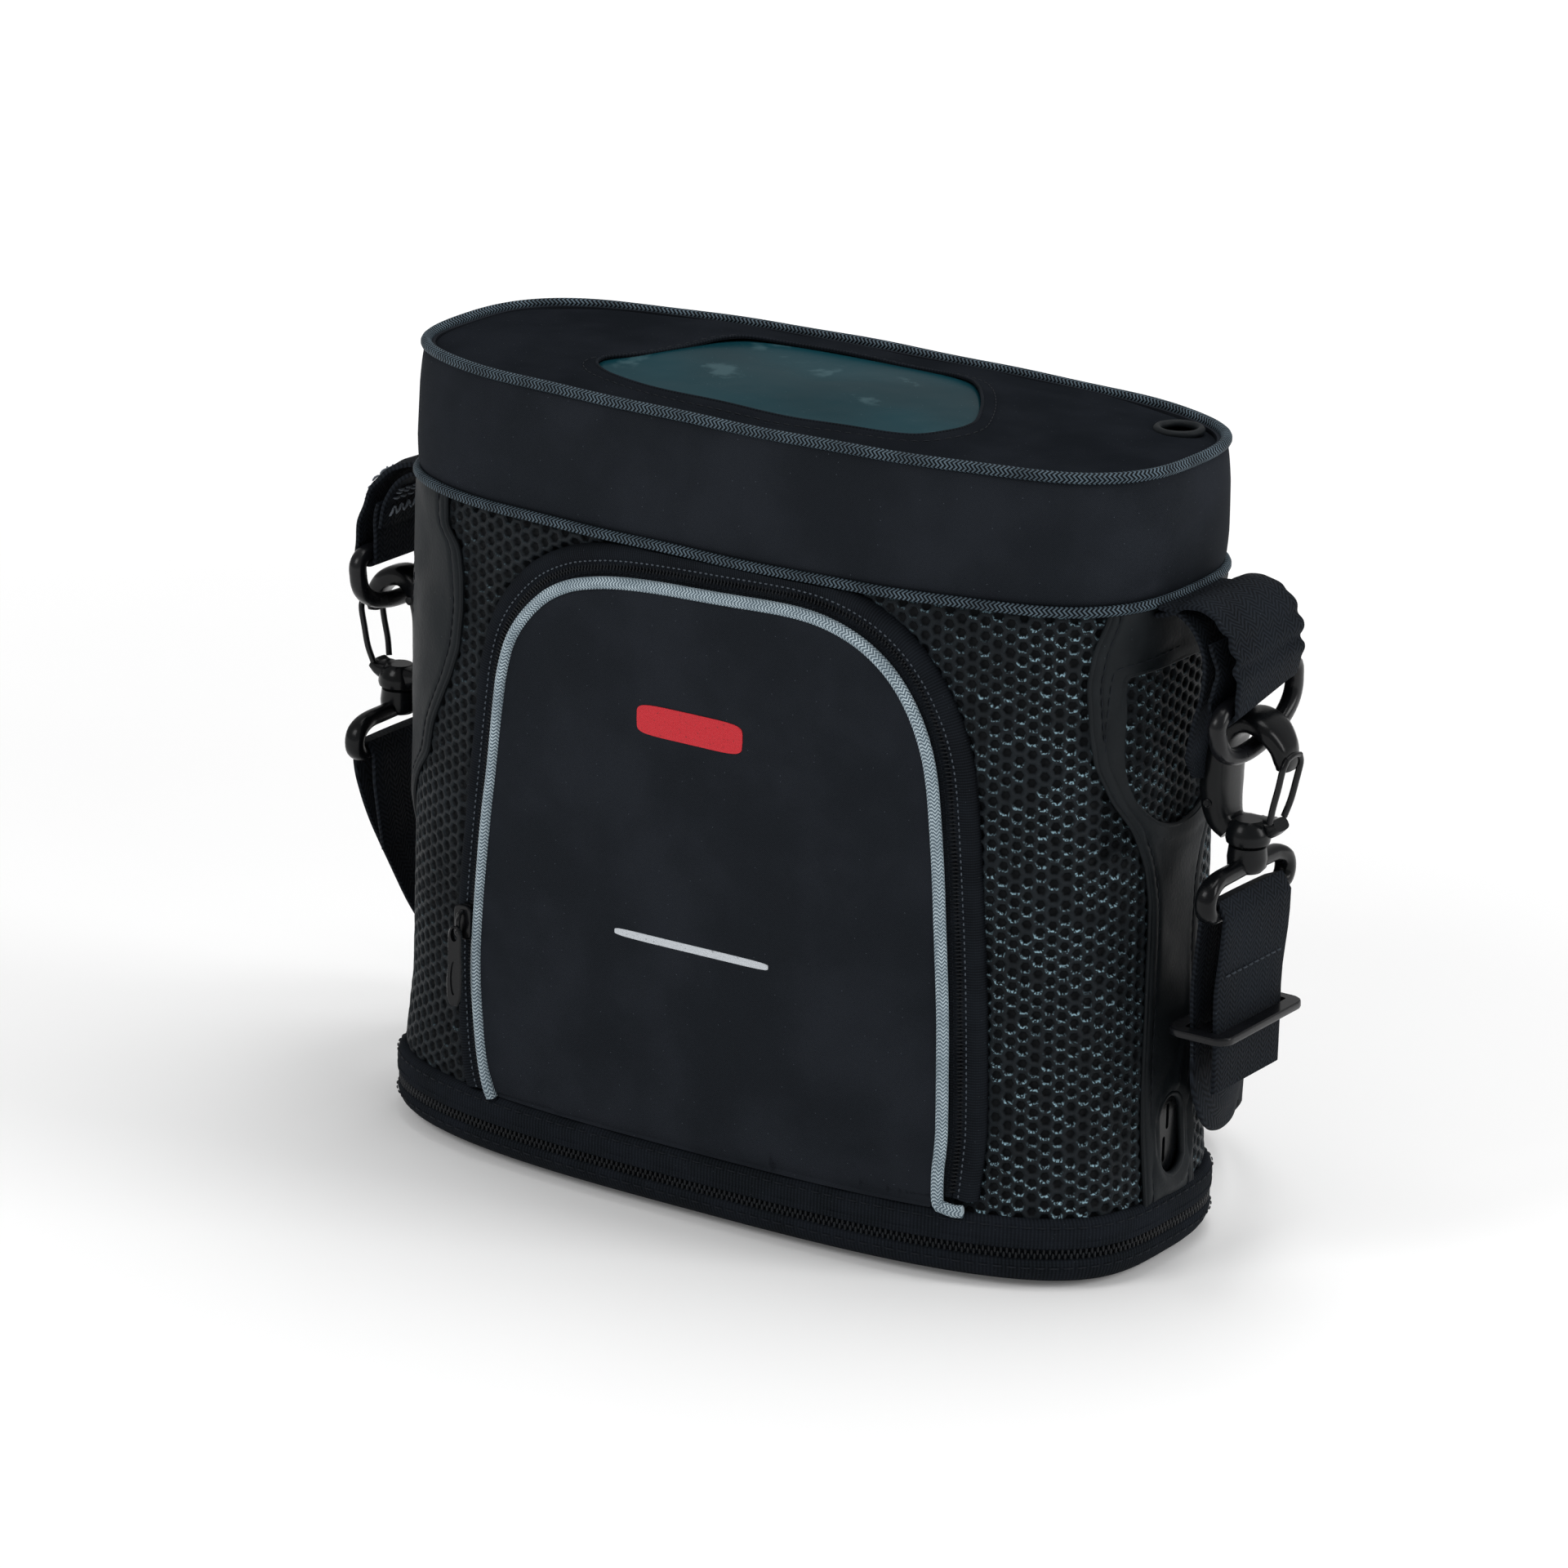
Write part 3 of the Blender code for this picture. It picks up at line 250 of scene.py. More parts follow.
def make_smooth_fabric(name="smooth_fabric", shade=1.0, spec=0.03):
    M = Mat(name, spec=spec)
    vec, u, v = M.uv()
    w = weave_height(M, u, v, 0.00062, 0.00062)
    big = M.noise(vec, 26.0, 3.0, dims="2D")
    fine = M.noise(vec, 1700.0, 2.0, dims="2D")
    c = M.mix(M.span(big, 0.30, 0.72), lin(24, 27, 31), lin(33, 36, 41))
    c = M.mix(M.mul(w, 0.30), c, lin(46, 50, 57))
    c = M.mix(M.mul(lint(M, vec), 0.45), c, lin(92, 99, 108))
    # shade below 1 darkens this copy of the fabric: painted shade
    c = M.mix(shade, (0.0, 0.0, 0.0), c)
    n = M.bump(M.add(w, M.mul(fine, 0.6)), 0.00014, 0.55)
    n = M.bump(M.noise(vec, 55.0, 2.0, dims="2D"), 0.0012, 0.16, n)
    return M.set(c, M.span(big, 0.2, 0.8, 0.74, 0.86), n)


def make_mesh_fabric():
    M = Mat("mesh_fabric", spec=0.12)
    vec, u, v = M.uv()
    relief_shade = M.attribute("relief_shade")
    painted_glint = M.attribute("painted_glint")
    big = M.noise(vec, 30.0, 3.0, dims="2D")
    strand = M.math("MULTIPLY_ADD", M.sine(M.add(u, M.mul(v, 0.8)), 0.00042), 0.5, 0.5)
    strand2 = M.math("MULTIPLY_ADD", M.sine(M.math("SUBTRACT", M.mul(u, 0.9), v), 0.00050), 0.5, 0.5)
    h = M.add(M.mul(strand, 0.6), M.mul(strand2, 0.4))
    thread = M.mix(M.span(big, 0.3, 0.7), lin(17, 21, 24), lin(23, 28, 32))
    thread = M.mix(M.mul(h, 0.25), thread, lin(38, 46, 52))
    # painted shade: the openings darken towards their floors by their relief
    c = M.mix(M.span(relief_shade, 0.22, 0.66), lin(11, 14, 17), thread)
    # painted glints: pale flecks on the threads stand in for highlights of the key light
    painted_glint_fleck = M.mul(M.span(painted_glint, 0.12, 0.8), M.span(M.noise(vec, 1500.0, 1.0, dims="2D"), 0.44, 0.60))
    c = M.mix(painted_glint_fleck, c, lin(150, 184, 198))
    n = M.bump(h, 0.00016, 0.8)
    n = M.bump(M.noise(vec, 950.0, 2.0, dims="2D"), 0.00022, 0.55, n)
    return M.set(c, M.span(h, 0.0, 1.0, 0.55, 0.34), n)


def make_lining():
    M = Mat("lining", spec=0.03)
    vec, u, v = M.uv()
    w = weave_height(M, u, v, 0.0009, 0.0009)
    c = M.mix(M.noise(vec, 40.0, 3.0, dims="2D"), lin(12, 13, 15), lin(20, 22, 25))
    return M.set(M.mix(M.mul(w, 0.3), c, lin(32, 34, 38)), 0.88, M.bump(w, 0.0002, 0.5))


def make_vinyl():
    M = Mat("vinyl_trim", spec=0.13)
    vec, u, v = M.uv()
    grain = M.voronoi(vec, 900.0, "2D").outputs["Distance"]
    soft = M.noise(vec, 70.0, 4.0, dims="2D")
    c = M.mix(M.span(soft, 0.25, 0.75), lin(17, 21, 24), lin(25, 29, 32))
    c = M.mix(M.mul(lint(M, vec, 240.0, 0.03, 0.90), 0.4), c, lin(86, 92, 98))
    n = M.bump(grain, 0.00010, 0.35)
    n = M.bump(soft, 0.0011, 0.22, n)
    return M.set(c, M.span(soft, 0.2, 0.8, 0.50, 0.64), n)


def make_tape(name, lo, hi, pitch, spec=0.03):
    """Ribbed binding tape: ribs across its length, which is U."""
    M = Mat(name, spec=spec)
    vec, u, v = M.uv()
    rib = M.math("MULTIPLY_ADD", M.sine(u, pitch), 0.5, 0.5)
    cross = M.math("MULTIPLY_ADD", M.sine(v, pitch * 0.8), 0.5, 0.5)
    h = M.add(M.mul(rib, 0.7), M.mul(M.mul(rib, cross), 0.5))
    big = M.noise(vec, 60.0, 3.0, dims="2D")
    c = M.mix(M.span(big, 0.3, 0.7), lo, hi)
    c = M.mix(M.mul(h, 0.30), c, lin(44, 49, 56))
    c = M.mix(M.mul(lint(M, vec, 300.0, 0.03, 0.8), 0.4), c, lin(84, 90, 98))
    n = M.bump(h, 0.00020, 0.6)
    n = M.bump(M.noise(vec, 240.0, 2.0, dims="2D"), 0.0006, 0.30, n)
    return M.set(c, M.span(big, 0.2, 0.8, 0.74, 0.88), n)


def herringbone(M, u, v, width, pitch):
    """Zigzag strands: 0 to 1, running along U, with columns of that width across V."""
    k = M.math("PINGPONG", M.add(v, 1.0), width)
    return M.math("MULTIPLY_ADD", M.math("SINE", M.mul(M.add(u, k), 2 * pi / pitch)), 0.5, 0.5)


def make_piping(name, dark, light, width, pitch, spec, rough, gain=1.0):
    M = Mat(name, spec=spec)
    vec, u, v = M.uv()
    h = herringbone(M, u, v, width, pitch)
    column = M.math("ABSOLUTE", M.math("SINE", M.mul(M.add(v, 1.0), pi / width)))
    wear_and_glint = M.noise(vec, 90.0, 3.0, dims="2D")
    # On the dark piping the pale herringbone strokes are painted highlights on its weave; on the silver piping the pale
    # colour is its own. The noise varies them as wear and glint.
    f = M.mul(M.span(h, 0.35, 0.85), M.span(wear_and_glint, 0.25, 0.75, 0.55 * gain, 1.0 * gain))
    c = M.mix(f, dark, light)
    n = M.bump(M.add(M.mul(h, 0.7), M.mul(column, 0.4)), 0.00022, 0.75)
    return M.set(c, rough, n)


def make_webbing(name="webbing"):
    M = Mat(name, spec=0.05)
    vec, u, v = M.uv()
    h = herringbone(M, u, v, 0.0030, 0.0017)
    rib = M.math("ABSOLUTE", M.math("SINE", M.mul(M.add(v, 1.0), pi / 0.0015)))
    big = M.noise(vec, 45.0, 3.0, dims="2D")
    c = M.mix(M.span(big, 0.3, 0.7), lin(11, 13, 16), lin(18, 21, 25))
    c = M.mix(M.mul(h, 0.34), c, lin(46, 52, 60))
    c = M.mix(M.mul(lint(M, vec, 280.0, 0.03, 0.82), 0.45), c, lin(92, 98, 106))
    n = M.bump(M.add(M.mul(h, 0.6), M.mul(rib, 0.5)), 0.00030, 0.75)
    n = M.bump(M.noise(vec, 500.0, 2.0, dims="2D"), 0.0003, 0.3, n)
    return M.set(c, M.span(big, 0.2, 0.8, 0.70, 0.84), n)


def make_plastic(name, a, b, rough=0.25, spec=0.5, coat=0.0, grain=900.0, depth=0.00004, scratch=0.35):
    """Moulded plastic: fine grain, faint flow marks, worn patches that are a little duller."""
    M = Mat(name, spec=spec, coat=coat)
    o = M.obj()
    soft = M.noise(o, 38.0, 4.0)
    fine = M.noise(o, grain, 2.0)
    st = M.node("Mapping")
    M.t.links.new(o, st.inputs[0])
    st.inputs["Scale"].default_value = (260.0, 40.0, 900.0)
    marks = M.noise(st.outputs[0], 1.0, 2.0)
    c = M.mix(M.span(soft, 0.3, 0.7), a, b)
    r = M.add(M.span(soft, 0.25, 0.8, rough * 0.8, rough * 1.35), M.mul(M.span(marks, 0.62, 0.80), scratch * 0.3))
    n = M.bump(fine, depth, 0.5)
    n = M.bump(marks, 0.00005, 0.35, n)
    return M.set(c, r, n)


def make_metal(name, a, b, rough=0.32, brushed=True):
    M = Mat(name, metal=1.0)
    o = M.obj()
    st = M.node("Mapping")
    M.t.links.new(o, st.inputs[0])
    st.inputs["Scale"].default_value = (60.0, 60.0, 2200.0) if brushed else (400.0, 400.0, 400.0)
    line = M.noise(st.outputs[0], 1.0, 3.0)
    soft = M.noise(o, 30.0, 3.0)
    c = M.mix(M.span(soft, 0.3, 0.7), a, b)
    return M.set(c, M.span(line, 0.3, 0.7, rough * 0.75, rough * 1.4), M.bump(line, 0.00003, 0.4))


def make_film():
    M = Mat("window_film", spec=0.02, alpha=0.99)
    vec, u, v = M.uv()
    a = M.noise(vec, 14.0, 2.0, dims="2D")
    dust = lint(M, vec, 330.0, 0.03, 0.90)
    # painted reflection: pale wisps of haze across the film
    painted_reflection_wisp = M.span(M.noise(vec, 46.0, 5.0, dims="2D"), 0.60, 0.72)
    c = M.mix(M.span(a, 0.3, 0.7), lin(8, 40, 47), lin(15, 52, 60))
    c = M.mix(M.mul(painted_reflection_wisp, 0.16), c, lin(110, 140, 146))
    c = M.mix(M.mul(dust, 0.45), c, lin(110, 140, 146))
    n = M.bump(M.noise(vec, 34.0, 2.0, dims="2D"), 0.0016, 0.22)
    return M.set(c, M.span(a, 0.2, 0.8, 0.22, 0.32), n)


def make_thread(name, a, b, spec=0.3, rough=0.55):
    M = Mat(name, spec=spec)
    o = M.obj()
    tw = M.noise(o, 2600.0, 2.0)
    return M.set(M.mix(tw, a, b), rough, M.bump(tw, 0.00008, 0.8))


def make_foam():
    M = Mat("grey_foam", spec=0.1)
    o = M.obj()
    cells = M.voronoi(o, 1100.0).outputs["Distance"]
    # the pores are darker than the cell walls: painted shade in the pores
    return M.set(M.mix(cells, lin(40, 41, 43), lin(92, 94, 98)), 0.95, M.bump(cells, 0.0006, 0.8))


def make_board():
    M = Mat("circuit_board", spec=0.5)
    o = M.obj()
    v = M.voronoi(o, 260.0, "3D", "DISTANCE_TO_EDGE").outputs["Distance"]
    track = M.span(v, 0.05, 0.02)
    c = M.mix(track, lin(16, 74, 40), lin(44, 118, 66))
    return M.set(M.mix(M.span(M.noise(o, 420.0, 1.0), 0.66, 0.70), c, lin(196, 180, 120)), 0.38, M.bump(track, 0.00006, 0.6))


def make_print(name, a, b):
    """Printed patch that lets the weave below show in relief."""
    M = Mat(name, spec=0.3)
    vec, u, v = M.uv()
    w = weave_height(M, u, v, 0.00062, 0.00062)
    c = M.mix(M.mul(w, 0.5), a, b)
    c = M.mix(M.span(M.noise(vec, 900.0, 2.0, dims="2D"), 0.66, 0.78, 0.0, 0.5), c, lin(40, 30, 32))
    return M.set(c, 0.55, M.bump(w, 0.00012, 0.6))


MAT = {
    "smooth_fabric": make_smooth_fabric(),
    # darker copy of the smooth fabric for the lid's top, which takes the most light: painted shade
    "lid_fabric_shaded": make_smooth_fabric("lid_fabric_shaded", 0.66, 0.0),
    "mesh_fabric": make_mesh_fabric(),
    "lining": make_lining(),
    "vinyl_trim": make_vinyl(),
    "binding_tape": make_tape("binding_tape", lin(15, 18, 21), lin(22, 25, 30), 0.0011),
    "zip_tape": make_tape("zip_tape", lin(14, 16, 19), lin(21, 24, 28), 0.0008),
    # pale strokes of the dark piping: painted highlights on its herringbone weave
    "dark_piping": make_piping("dark_piping", lin(8, 10, 13), lin(104, 122, 134), 0.00115, 0.00140, 0.06, 0.6, 0.72),
    "silver_piping": make_piping("silver_piping", lin(84, 100, 110), lin(196, 212, 220), 0.00095, 0.00112, 0.25, 0.45),
    "webbing": make_webbing(),
    "window_film": make_film(),
    "black_plastic": make_plastic("black_plastic", lin(7, 8, 10), lin(13, 15, 17), 0.24, 0.16, 0.03),
    "black_metal": make_plastic("black_metal", lin(9, 10, 12), lin(16, 17, 20), 0.24, 0.22, 0.05, 500.0),
    "zip_coil": make_plastic("zip_coil", lin(15, 17, 20), lin(24, 27, 31), 0.45, 0.2),
    "case_plastic": make_plastic("case_plastic", lin(196, 199, 202), lin(212, 214, 216), 0.42, 0.45, grain=1500.0, depth=0.00008),
    "panel_plastic": make_plastic("panel_plastic", lin(52, 58, 64), lin(64, 71, 77), 0.36, 0.45, grain=1500.0, depth=0.00008),
    "display_glass": make_plastic("display_glass", lin(22, 30, 34), lin(28, 38, 42), 0.07, 0.6, 0.5, depth=0.00001, scratch=0.1),
    "button_rubber": make_plastic("button_rubber", lin(128, 134, 140), lin(146, 151, 156), 0.62, 0.3, grain=1800.0, depth=0.00010),
    "aluminium": make_metal("aluminium", lin(186, 188, 191), lin(204, 205, 207), 0.34),
    "steel": make_metal("steel", lin(150, 152, 155), lin(176, 177, 180), 0.26),
    "grey_foam": make_foam(),
    "circuit_board": make_board(),
    "dark_thread": make_thread("dark_thread", lin(16, 18, 21), lin(36, 40, 46), 0.08),
    "grey_thread": make_thread("grey_thread", lin(70, 76, 84), lin(128, 136, 144), 0.1),
    "dot_thread": make_thread("dot_thread", lin(52, 58, 65), lin(100, 108, 117), 0.1),
    "red_print": make_print("red_print", lin(188, 30, 42), lin(216, 44, 54)),
    "white_print": make_print("white_print", lin(190, 196, 202), lin(222, 226, 230)),
    "pad_fabric": None,
}
MAT["pad_fabric"] = MAT["smooth_fabric"]


# ------------------------------------------------------------------ mesh builders
def make_object(name, verts, faces, mat, loop_uv=None, attrs=None, smooth=True, angle=0.7, recalc=True):
    me = bpy.data.meshes.new(name)
    me.from_pydata(np.asarray(verts, float).tolist(), [], [list(map(int, f)) for f in faces])
    if loop_uv is not None:
        layer = me.uv_layers.new(name="UV")
        layer.data.foreach_set("uv", np.asarray(loop_uv, np.float32).ravel())
    for k, vals in (attrs or {}).items():
        a = me.attributes.new(k, "FLOAT", "POINT")
        a.data.foreach_set("value", np.asarray(vals, np.float32))
    me.materials.append(MAT[mat] if isinstance(mat, str) else mat)
    if smooth:
        me.shade_smooth()
        me.set_sharp_from_angle(angle=angle)
    ob = bpy.data.objects.new(name, me)
    bpy.context.scene.collection.objects.link(ob)
    return ob


def grid_arrays(P, wrap_i=False, wrap_j=False, U=None, V=None, UV=None, caps=False, flip=False):
    """Quads over a grid of points.  U runs along i and V along j, in metres."""
    P = np.asarray(P, float)
    I, J = P.shape[:2]
    ni, nj = (I if wrap_i else I - 1), (J if wrap_j else J - 1)
    ii, jj = np.meshgrid(np.arange(ni), np.arange(nj), indexing="ij")
    ii, jj = ii.ravel(), jj.ravel()
    a, b = ii * J + jj, ((ii + 1) % I) * J + jj
    c, d = ((ii + 1) % I) * J + (jj + 1) % J, ii * J + (jj + 1) % J
    F = np.stack([a, b, c, d], 1)
    if UV is not None:
        UV = np.asarray(UV, float)
        uv = np.stack([UV[ii, jj], UV[(ii + 1) % I, jj], UV[(ii + 1) % I, (jj + 1) % J], UV[ii, (jj + 1) % J]], 1)
    else:
        if U is None:
            U = np.concatenate([[0], np.cumsum(np.linalg.norm(np.roll(P[:, 0], -1, 0) - P[:, 0], axis=1))])
        if V is None:
            V = np.concatenate([[0], np.cumsum(np.linalg.norm(np.roll(P[0], -1, 0) - P[0], axis=1))])
        U, V = np.asarray(U, float), np.asarray(V, float)
        uv = np.stack([np.stack([U[ii], V[jj]], 1), np.stack([U[ii + 1], V[jj]], 1),
                       np.stack([U[ii + 1], V[jj + 1]], 1), np.stack([U[ii], V[jj + 1]], 1)], 1)
    if flip:
        F, uv = F[:, ::-1], uv[:, ::-1]
    faces = [tuple(f) for f in F]
    uv = uv.reshape(-1, 2)
    if caps:
        first = list(range(J))
        last = [(I - 1) * J + j for j in range(J)]
        lo, hi = (first[::-1], last) if not flip else (first, last[::-1])
        for loop in (lo, hi):
            faces.append(tuple(loop))
            uv = np.concatenate([uv, np.stack([np.full(J, 0.0), np.linspace(0, 0.002, J)], 1)])
    return P.reshape(-1, 3), faces, uv


def join(arrays):
    vs, fs, us, k = [], [], [], 0
    for v, f, u in arrays:
        vs.append(v)
        fs += [tuple(i + k for i in q) for q in f]
        us.append(u)
        k += len(v)
    return np.concatenate(vs), fs, np.concatenate(us)


def put(name, arrays, mat, body="bag", replaces=(), angle=0.7):
    ob = make_object(name, arrays[0], arrays[1], mat, arrays[2], angle=angle)
    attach(ob, body)
    if replaces:
        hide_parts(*replaces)
    return ob


def weld(verts, faces, tol=2e-6):
    key = np.round(np.asarray(verts) / tol).astype(np.int64)
    _, first, inv = np.unique(key, axis=0, return_index=True, return_inverse=True)
    inv = inv.reshape(-1)
    return np.asarray(verts)[first], [tuple(inv[i] for i in f) for f in faces], first


def catmull(keys, n, closed=False):
    """n points on a smooth curve through the keys, evenly spaced by length."""
    K = np.asarray(keys, float)
    m = len(K)
    out = []
    spans = m if closed else m - 1
    per = 16
    for i in range(spans):
        if closed:
            p0, p1, p2, p3 = K[i - 1], K[i], K[(i + 1) % m], K[(i + 2) % m]
        else:
            p0 = K[i - 1] if i else 2 * K[0] - K[1]
            p1, p2 = K[i], K[i + 1]
            p3 = K[i + 2] if i + 2 < m else 2 * K[-1] - K[-2]
        t = np.linspace(0, 1, per, endpoint=False)[:, None]
        out.append(0.5 * (2 * p1 + (p2 - p0) * t + (2 * p0 - 5 * p1 + 4 * p2 - p3) * t ** 2
                          + (3 * p1 - p0 - 3 * p2 + p3) * t ** 3))
    out = np.concatenate(out + [K[:1] if closed else K[-1:]])
    s = np.concatenate([[0], np.cumsum(np.linalg.norm(np.diff(out, axis=0), axis=1))])
    at = np.linspace(0, s[-1], n + 1)[:-1] if closed else np.linspace(0, s[-1], n)
    return np.stack([np.interp(at, s, out[:, k]) for k in range(out.shape[1])], 1)


def length_of(pts, closed=False):
    pts = np.asarray(pts, float)
    d = np.linalg.norm(np.diff(pts, axis=0), axis=1)
    return float(d.sum() + (np.linalg.norm(pts[0] - pts[-1]) if closed else 0.0))


def frames(pts, closed=False, start=None):
    """Tangent and two steady normals at each point."""
    P = np.asarray(pts, float)
    n = len(P)
    if closed:
        T = np.roll(P, -1, 0) - np.roll(P, 1, 0)
    else:
        T = np.empty_like(P)
        T[1:-1] = P[2:] - P[:-2]
        T[0], T[-1] = P[1] - P[0], P[-1] - P[-2]
    T /= np.linalg.norm(T, axis=1)[:, None]
    ref = np.array(start if start is not None else ((0, 0, 1) if abs(T[0, 2]) < 0.9 else (1, 0, 0)), float)
    N = np.empty_like(P)
    for i in range(n):
        ref = ref - T[i] * (ref @ T[i])
        ref = ref / np.linalg.norm(ref)
        N[i] = ref
    return T, N, np.cross(T, N)


def tube(pts, r, sides=12, closed=False, start=None, flat=1.0, caps=True):
    """Round (or flattened) rod along a path; r may change along it."""
    P = np.asarray(pts, float)
    n = len(P)
    _, N, B = frames(P, closed, start)
    r = np.full(n, r) if np.isscalar(r) else np.asarray(r, float)
    a = np.linspace(0, 2 * pi, sides, endpoint=False)
    G = (P[:, None] + N[:, None] * (r[:, None] * np.cos(a))[:, :, None]
         + B[:, None] * (r[:, None] * np.sin(a) * flat)[:, :, None])
    seg = np.linalg.norm(np.roll(P, -1, 0) - P, axis=1)
    U = np.concatenate([[0], np.cumsum(seg)])
    V = np.linspace(0, 2 * pi * float(r.max()), sides + 1)
    if not closed and caps:
        return grid_arrays(G, False, True, U, V, caps=True)
    return grid_arrays(G, closed, True, U, V)


def section_ribbon(width, thick, k=6, edge=0.5):
    """Cross-section of webbing: flat faces, rounded selvedges.  Pairs of (across, out)."""
    w, t = width / 2, thick / 2
    top = [(-w + t + (2 * w - 2 * t) * i / k, t) for i in range(k + 1)]
    right = [(w - t + t * cos(a), t * sin(a)) for a in (pi / 4, 0, -pi / 4)]
    bottom = [(-x, -t) for x, _ in top]
    left = [(-(w - t) - t * cos(a), -t * sin(a)) for a in (pi / 4, 0, -pi / 4)]
    return np.array(top + right + bottom + left)


def ribbon(pts, wides, width=WEB_W, thick=WEB_T, closed=False, section=None, lift=None):
    P = np.asarray(pts, float)
    W = np.asarray(wides, float)
    T = np.gradient(P, axis=0)
    T /= np.linalg.norm(T, axis=1)[:, None]
    W = W - T * (W * T).sum(1)[:, None]
    W /= np.linalg.norm(W, axis=1)[:, None]
    N = np.cross(T, W)
    S = section_ribbon(width, thick) if section is None else section
    G = P[:, None] + W[:, None] * S[None, :, 0:1] + N[:, None] * S[None, :, 1:2]
    seg = np.linalg.norm(np.roll(P, -1, 0) - P, axis=1)
    U = np.concatenate([[0], np.cumsum(seg)])
    V = np.concatenate([S[:, 0], S[:1, 0]]) + width
    return grid_arrays(G, False, True, U, V, caps=True), (P, W, N)


def stitches(pts, outs, length=0.0024, gap=0.0009, r=0.00024, sink=0.35, skip=0.0):
    """A row of small thread capsules laid along a line; outs are the surface normals."""
    P, O = np.asarray(pts, float), np.asarray(outs, float)
    s = np.concatenate([[0], np.cumsum(np.linalg.norm(np.diff(P, axis=0), axis=1))])
    n = max(1, int((s[-1] - skip) / (length + gap)))
    pitch = (s[-1] - skip) / n
    prof = ((0.0, 0.25), (0.14, 0.80), (0.5, 1.0), (0.86, 0.80), (1.0, 0.25))
    a = np.linspace(0, 2 * pi, 6, endpoint=False)
    parts = []
    for k in range(n):
        s0 = k * pitch + gap / 2
        s1 = s0 + length * pitch / (length + gap)
        pa = np.array([np.interp(s0, s, P[:, c]) for c in range(3)])
        pb = np.array([np.interp(s1, s, P[:, c]) for c in range(3)])
        o = np.array([np.interp((s0 + s1) / 2, s, O[:, c]) for c in range(3)])
        d = pb - pa
        L = np.linalg.norm(d)
        if L < 1e-7:
            continue
        d /= L
        o = o - d * (o @ d)
        o /= np.linalg.norm(o) + 1e-12
        side = np.cross(d, o)
        rings = []
        for f, q in prof:
            c = pa + d * (L * f) + o * (r * (1 - sink) * (0.2 + 0.8 * sin(pi * min(1, max(0, f)))) )
            rings.append([c + (side * cos(t) + o * sin(t)) * (r * q) for t in a])
        parts.append(grid_arrays(np.array(rings), False, True, caps=True))
    return join(parts)


def boolean(ob, cutters, op="DIFFERENCE"):
    """Cut ob with closed (verts, faces) solids."""
    for v, f in cutters:
        me = bpy.data.meshes.new("cutter")
        me.from_pydata([tuple(map(float, p)) for p in v], [], f)
        cut = bpy.data.objects.new("cutter", me)
        bpy.context.scene.collection.objects.link(cut)
        md = ob.modifiers.new("cut", "BOOLEAN")
        md.operation, md.object, md.solver = op, cut, "EXACT"
        bpy.context.view_layer.update()
        me2 = bpy.data.meshes.new_from_object(ob.evaluated_get(bpy.context.evaluated_depsgraph_get()))
        ob.modifiers.remove(md)
        mat = ob.data.materials[0]
        ob.data = me2
        me2.materials.clear()
        me2.materials.append(mat)
        bpy.data.objects.remove(cut, do_unlink=True)
    ob.data.shade_smooth()
    ob.data.set_sharp_from_angle(angle=0.6)
    return ob


def prism(outline, axis, d0, d1):
    """Closed prism of an outline; the outline holds the other two coordinates."""
    n = len(outline)
    vs = []
    for d in (d0, d1):
        for u, v in outline:
            vs.append({"x": (d, u, v), "y": (u, d, v), "z": (u, v, d)}[axis])
    area = sum(outline[i][0] * outline[(i + 1) % n][1] - outline[(i + 1) % n][0] * outline[i][1] for i in range(n))
    fs = [(i, (i + 1) % n, n + (i + 1) % n, n + i) for i in range(n)]
    fs += [tuple(range(n - 1, -1, -1)), tuple(range(n, 2 * n))]
    if (area < 0) != (axis == "y"):
        fs = [tuple(reversed(f)) for f in fs]
    return vs, fs


def turned(c, profile, n=24, axis="z"):
    """Turned solid: (radius, height) pairs about an axis through c."""
    a = np.linspace(0, 2 * pi, n, endpoint=False)
    rings = []
    for r, h in profile:
        u, v = r * np.cos(a), r * np.sin(a)
        if axis == "z":
            ring = np.stack([c[0] + u, c[1] + v, np.full(n, c[2] + h)], 1)
        elif axis == "x":
            ring = np.stack([np.full(n, c[0] + h), c[1] + u, c[2] + v], 1)
        else:
            ring = np.stack([c[0] + v, np.full(n, c[1] + h), c[2] + u], 1)
        rings.append(ring)
    return grid_arrays(np.array(rings), False, True, caps=True)


def rounded_plate(cx, cy, w, h, r, t, edge, k=6):
    """Rounded rectangle with eased edges: list of (u, v, depth) rings, depth 0 to t."""
    def ring(inset, d):
        rr = max(r - inset, 0.0002)
        out = []
        for sx, sy, a0 in ((1, 1, 0.0), (-1, 1, pi / 2), (-1, -1, pi), (1, -1, 3 * pi / 2)):
            for i in range(k + 1):
                a = a0 + (pi / 2) * i / k
                out.append((cx + sx * (w / 2 - inset - rr) + rr * cos(a), cy + sy * (h / 2 - inset - rr) + rr * sin(a), d))
        return out
    e = edge
    return [ring(e, 0.0), ring(e * 0.3, e * 0.3), ring(0.0, e), ring(0.0, t - e), ring(e * 0.3, t - e * 0.3), ring(e, t)]


def plate(cx, cy, w, h, r, t, edge, axis, base, sign=1.0, k=6):
    """Eased rounded plate whose thickness runs along an axis, from base by sign."""
    rings = []
    for ring in rounded_plate(cx, cy, w, h, r, t, edge, k):
        if axis == "y":
            rings.append([(u, base + sign * d, v) for u, v, d in ring])
        elif axis == "x":
            rings.append([(base + sign * d, u, v) for u, v, d in ring])
        else:
            rings.append([(u, v, base + sign * d) for u, v, d in ring])
    return grid_arrays(np.array(rings), False, True, caps=True)


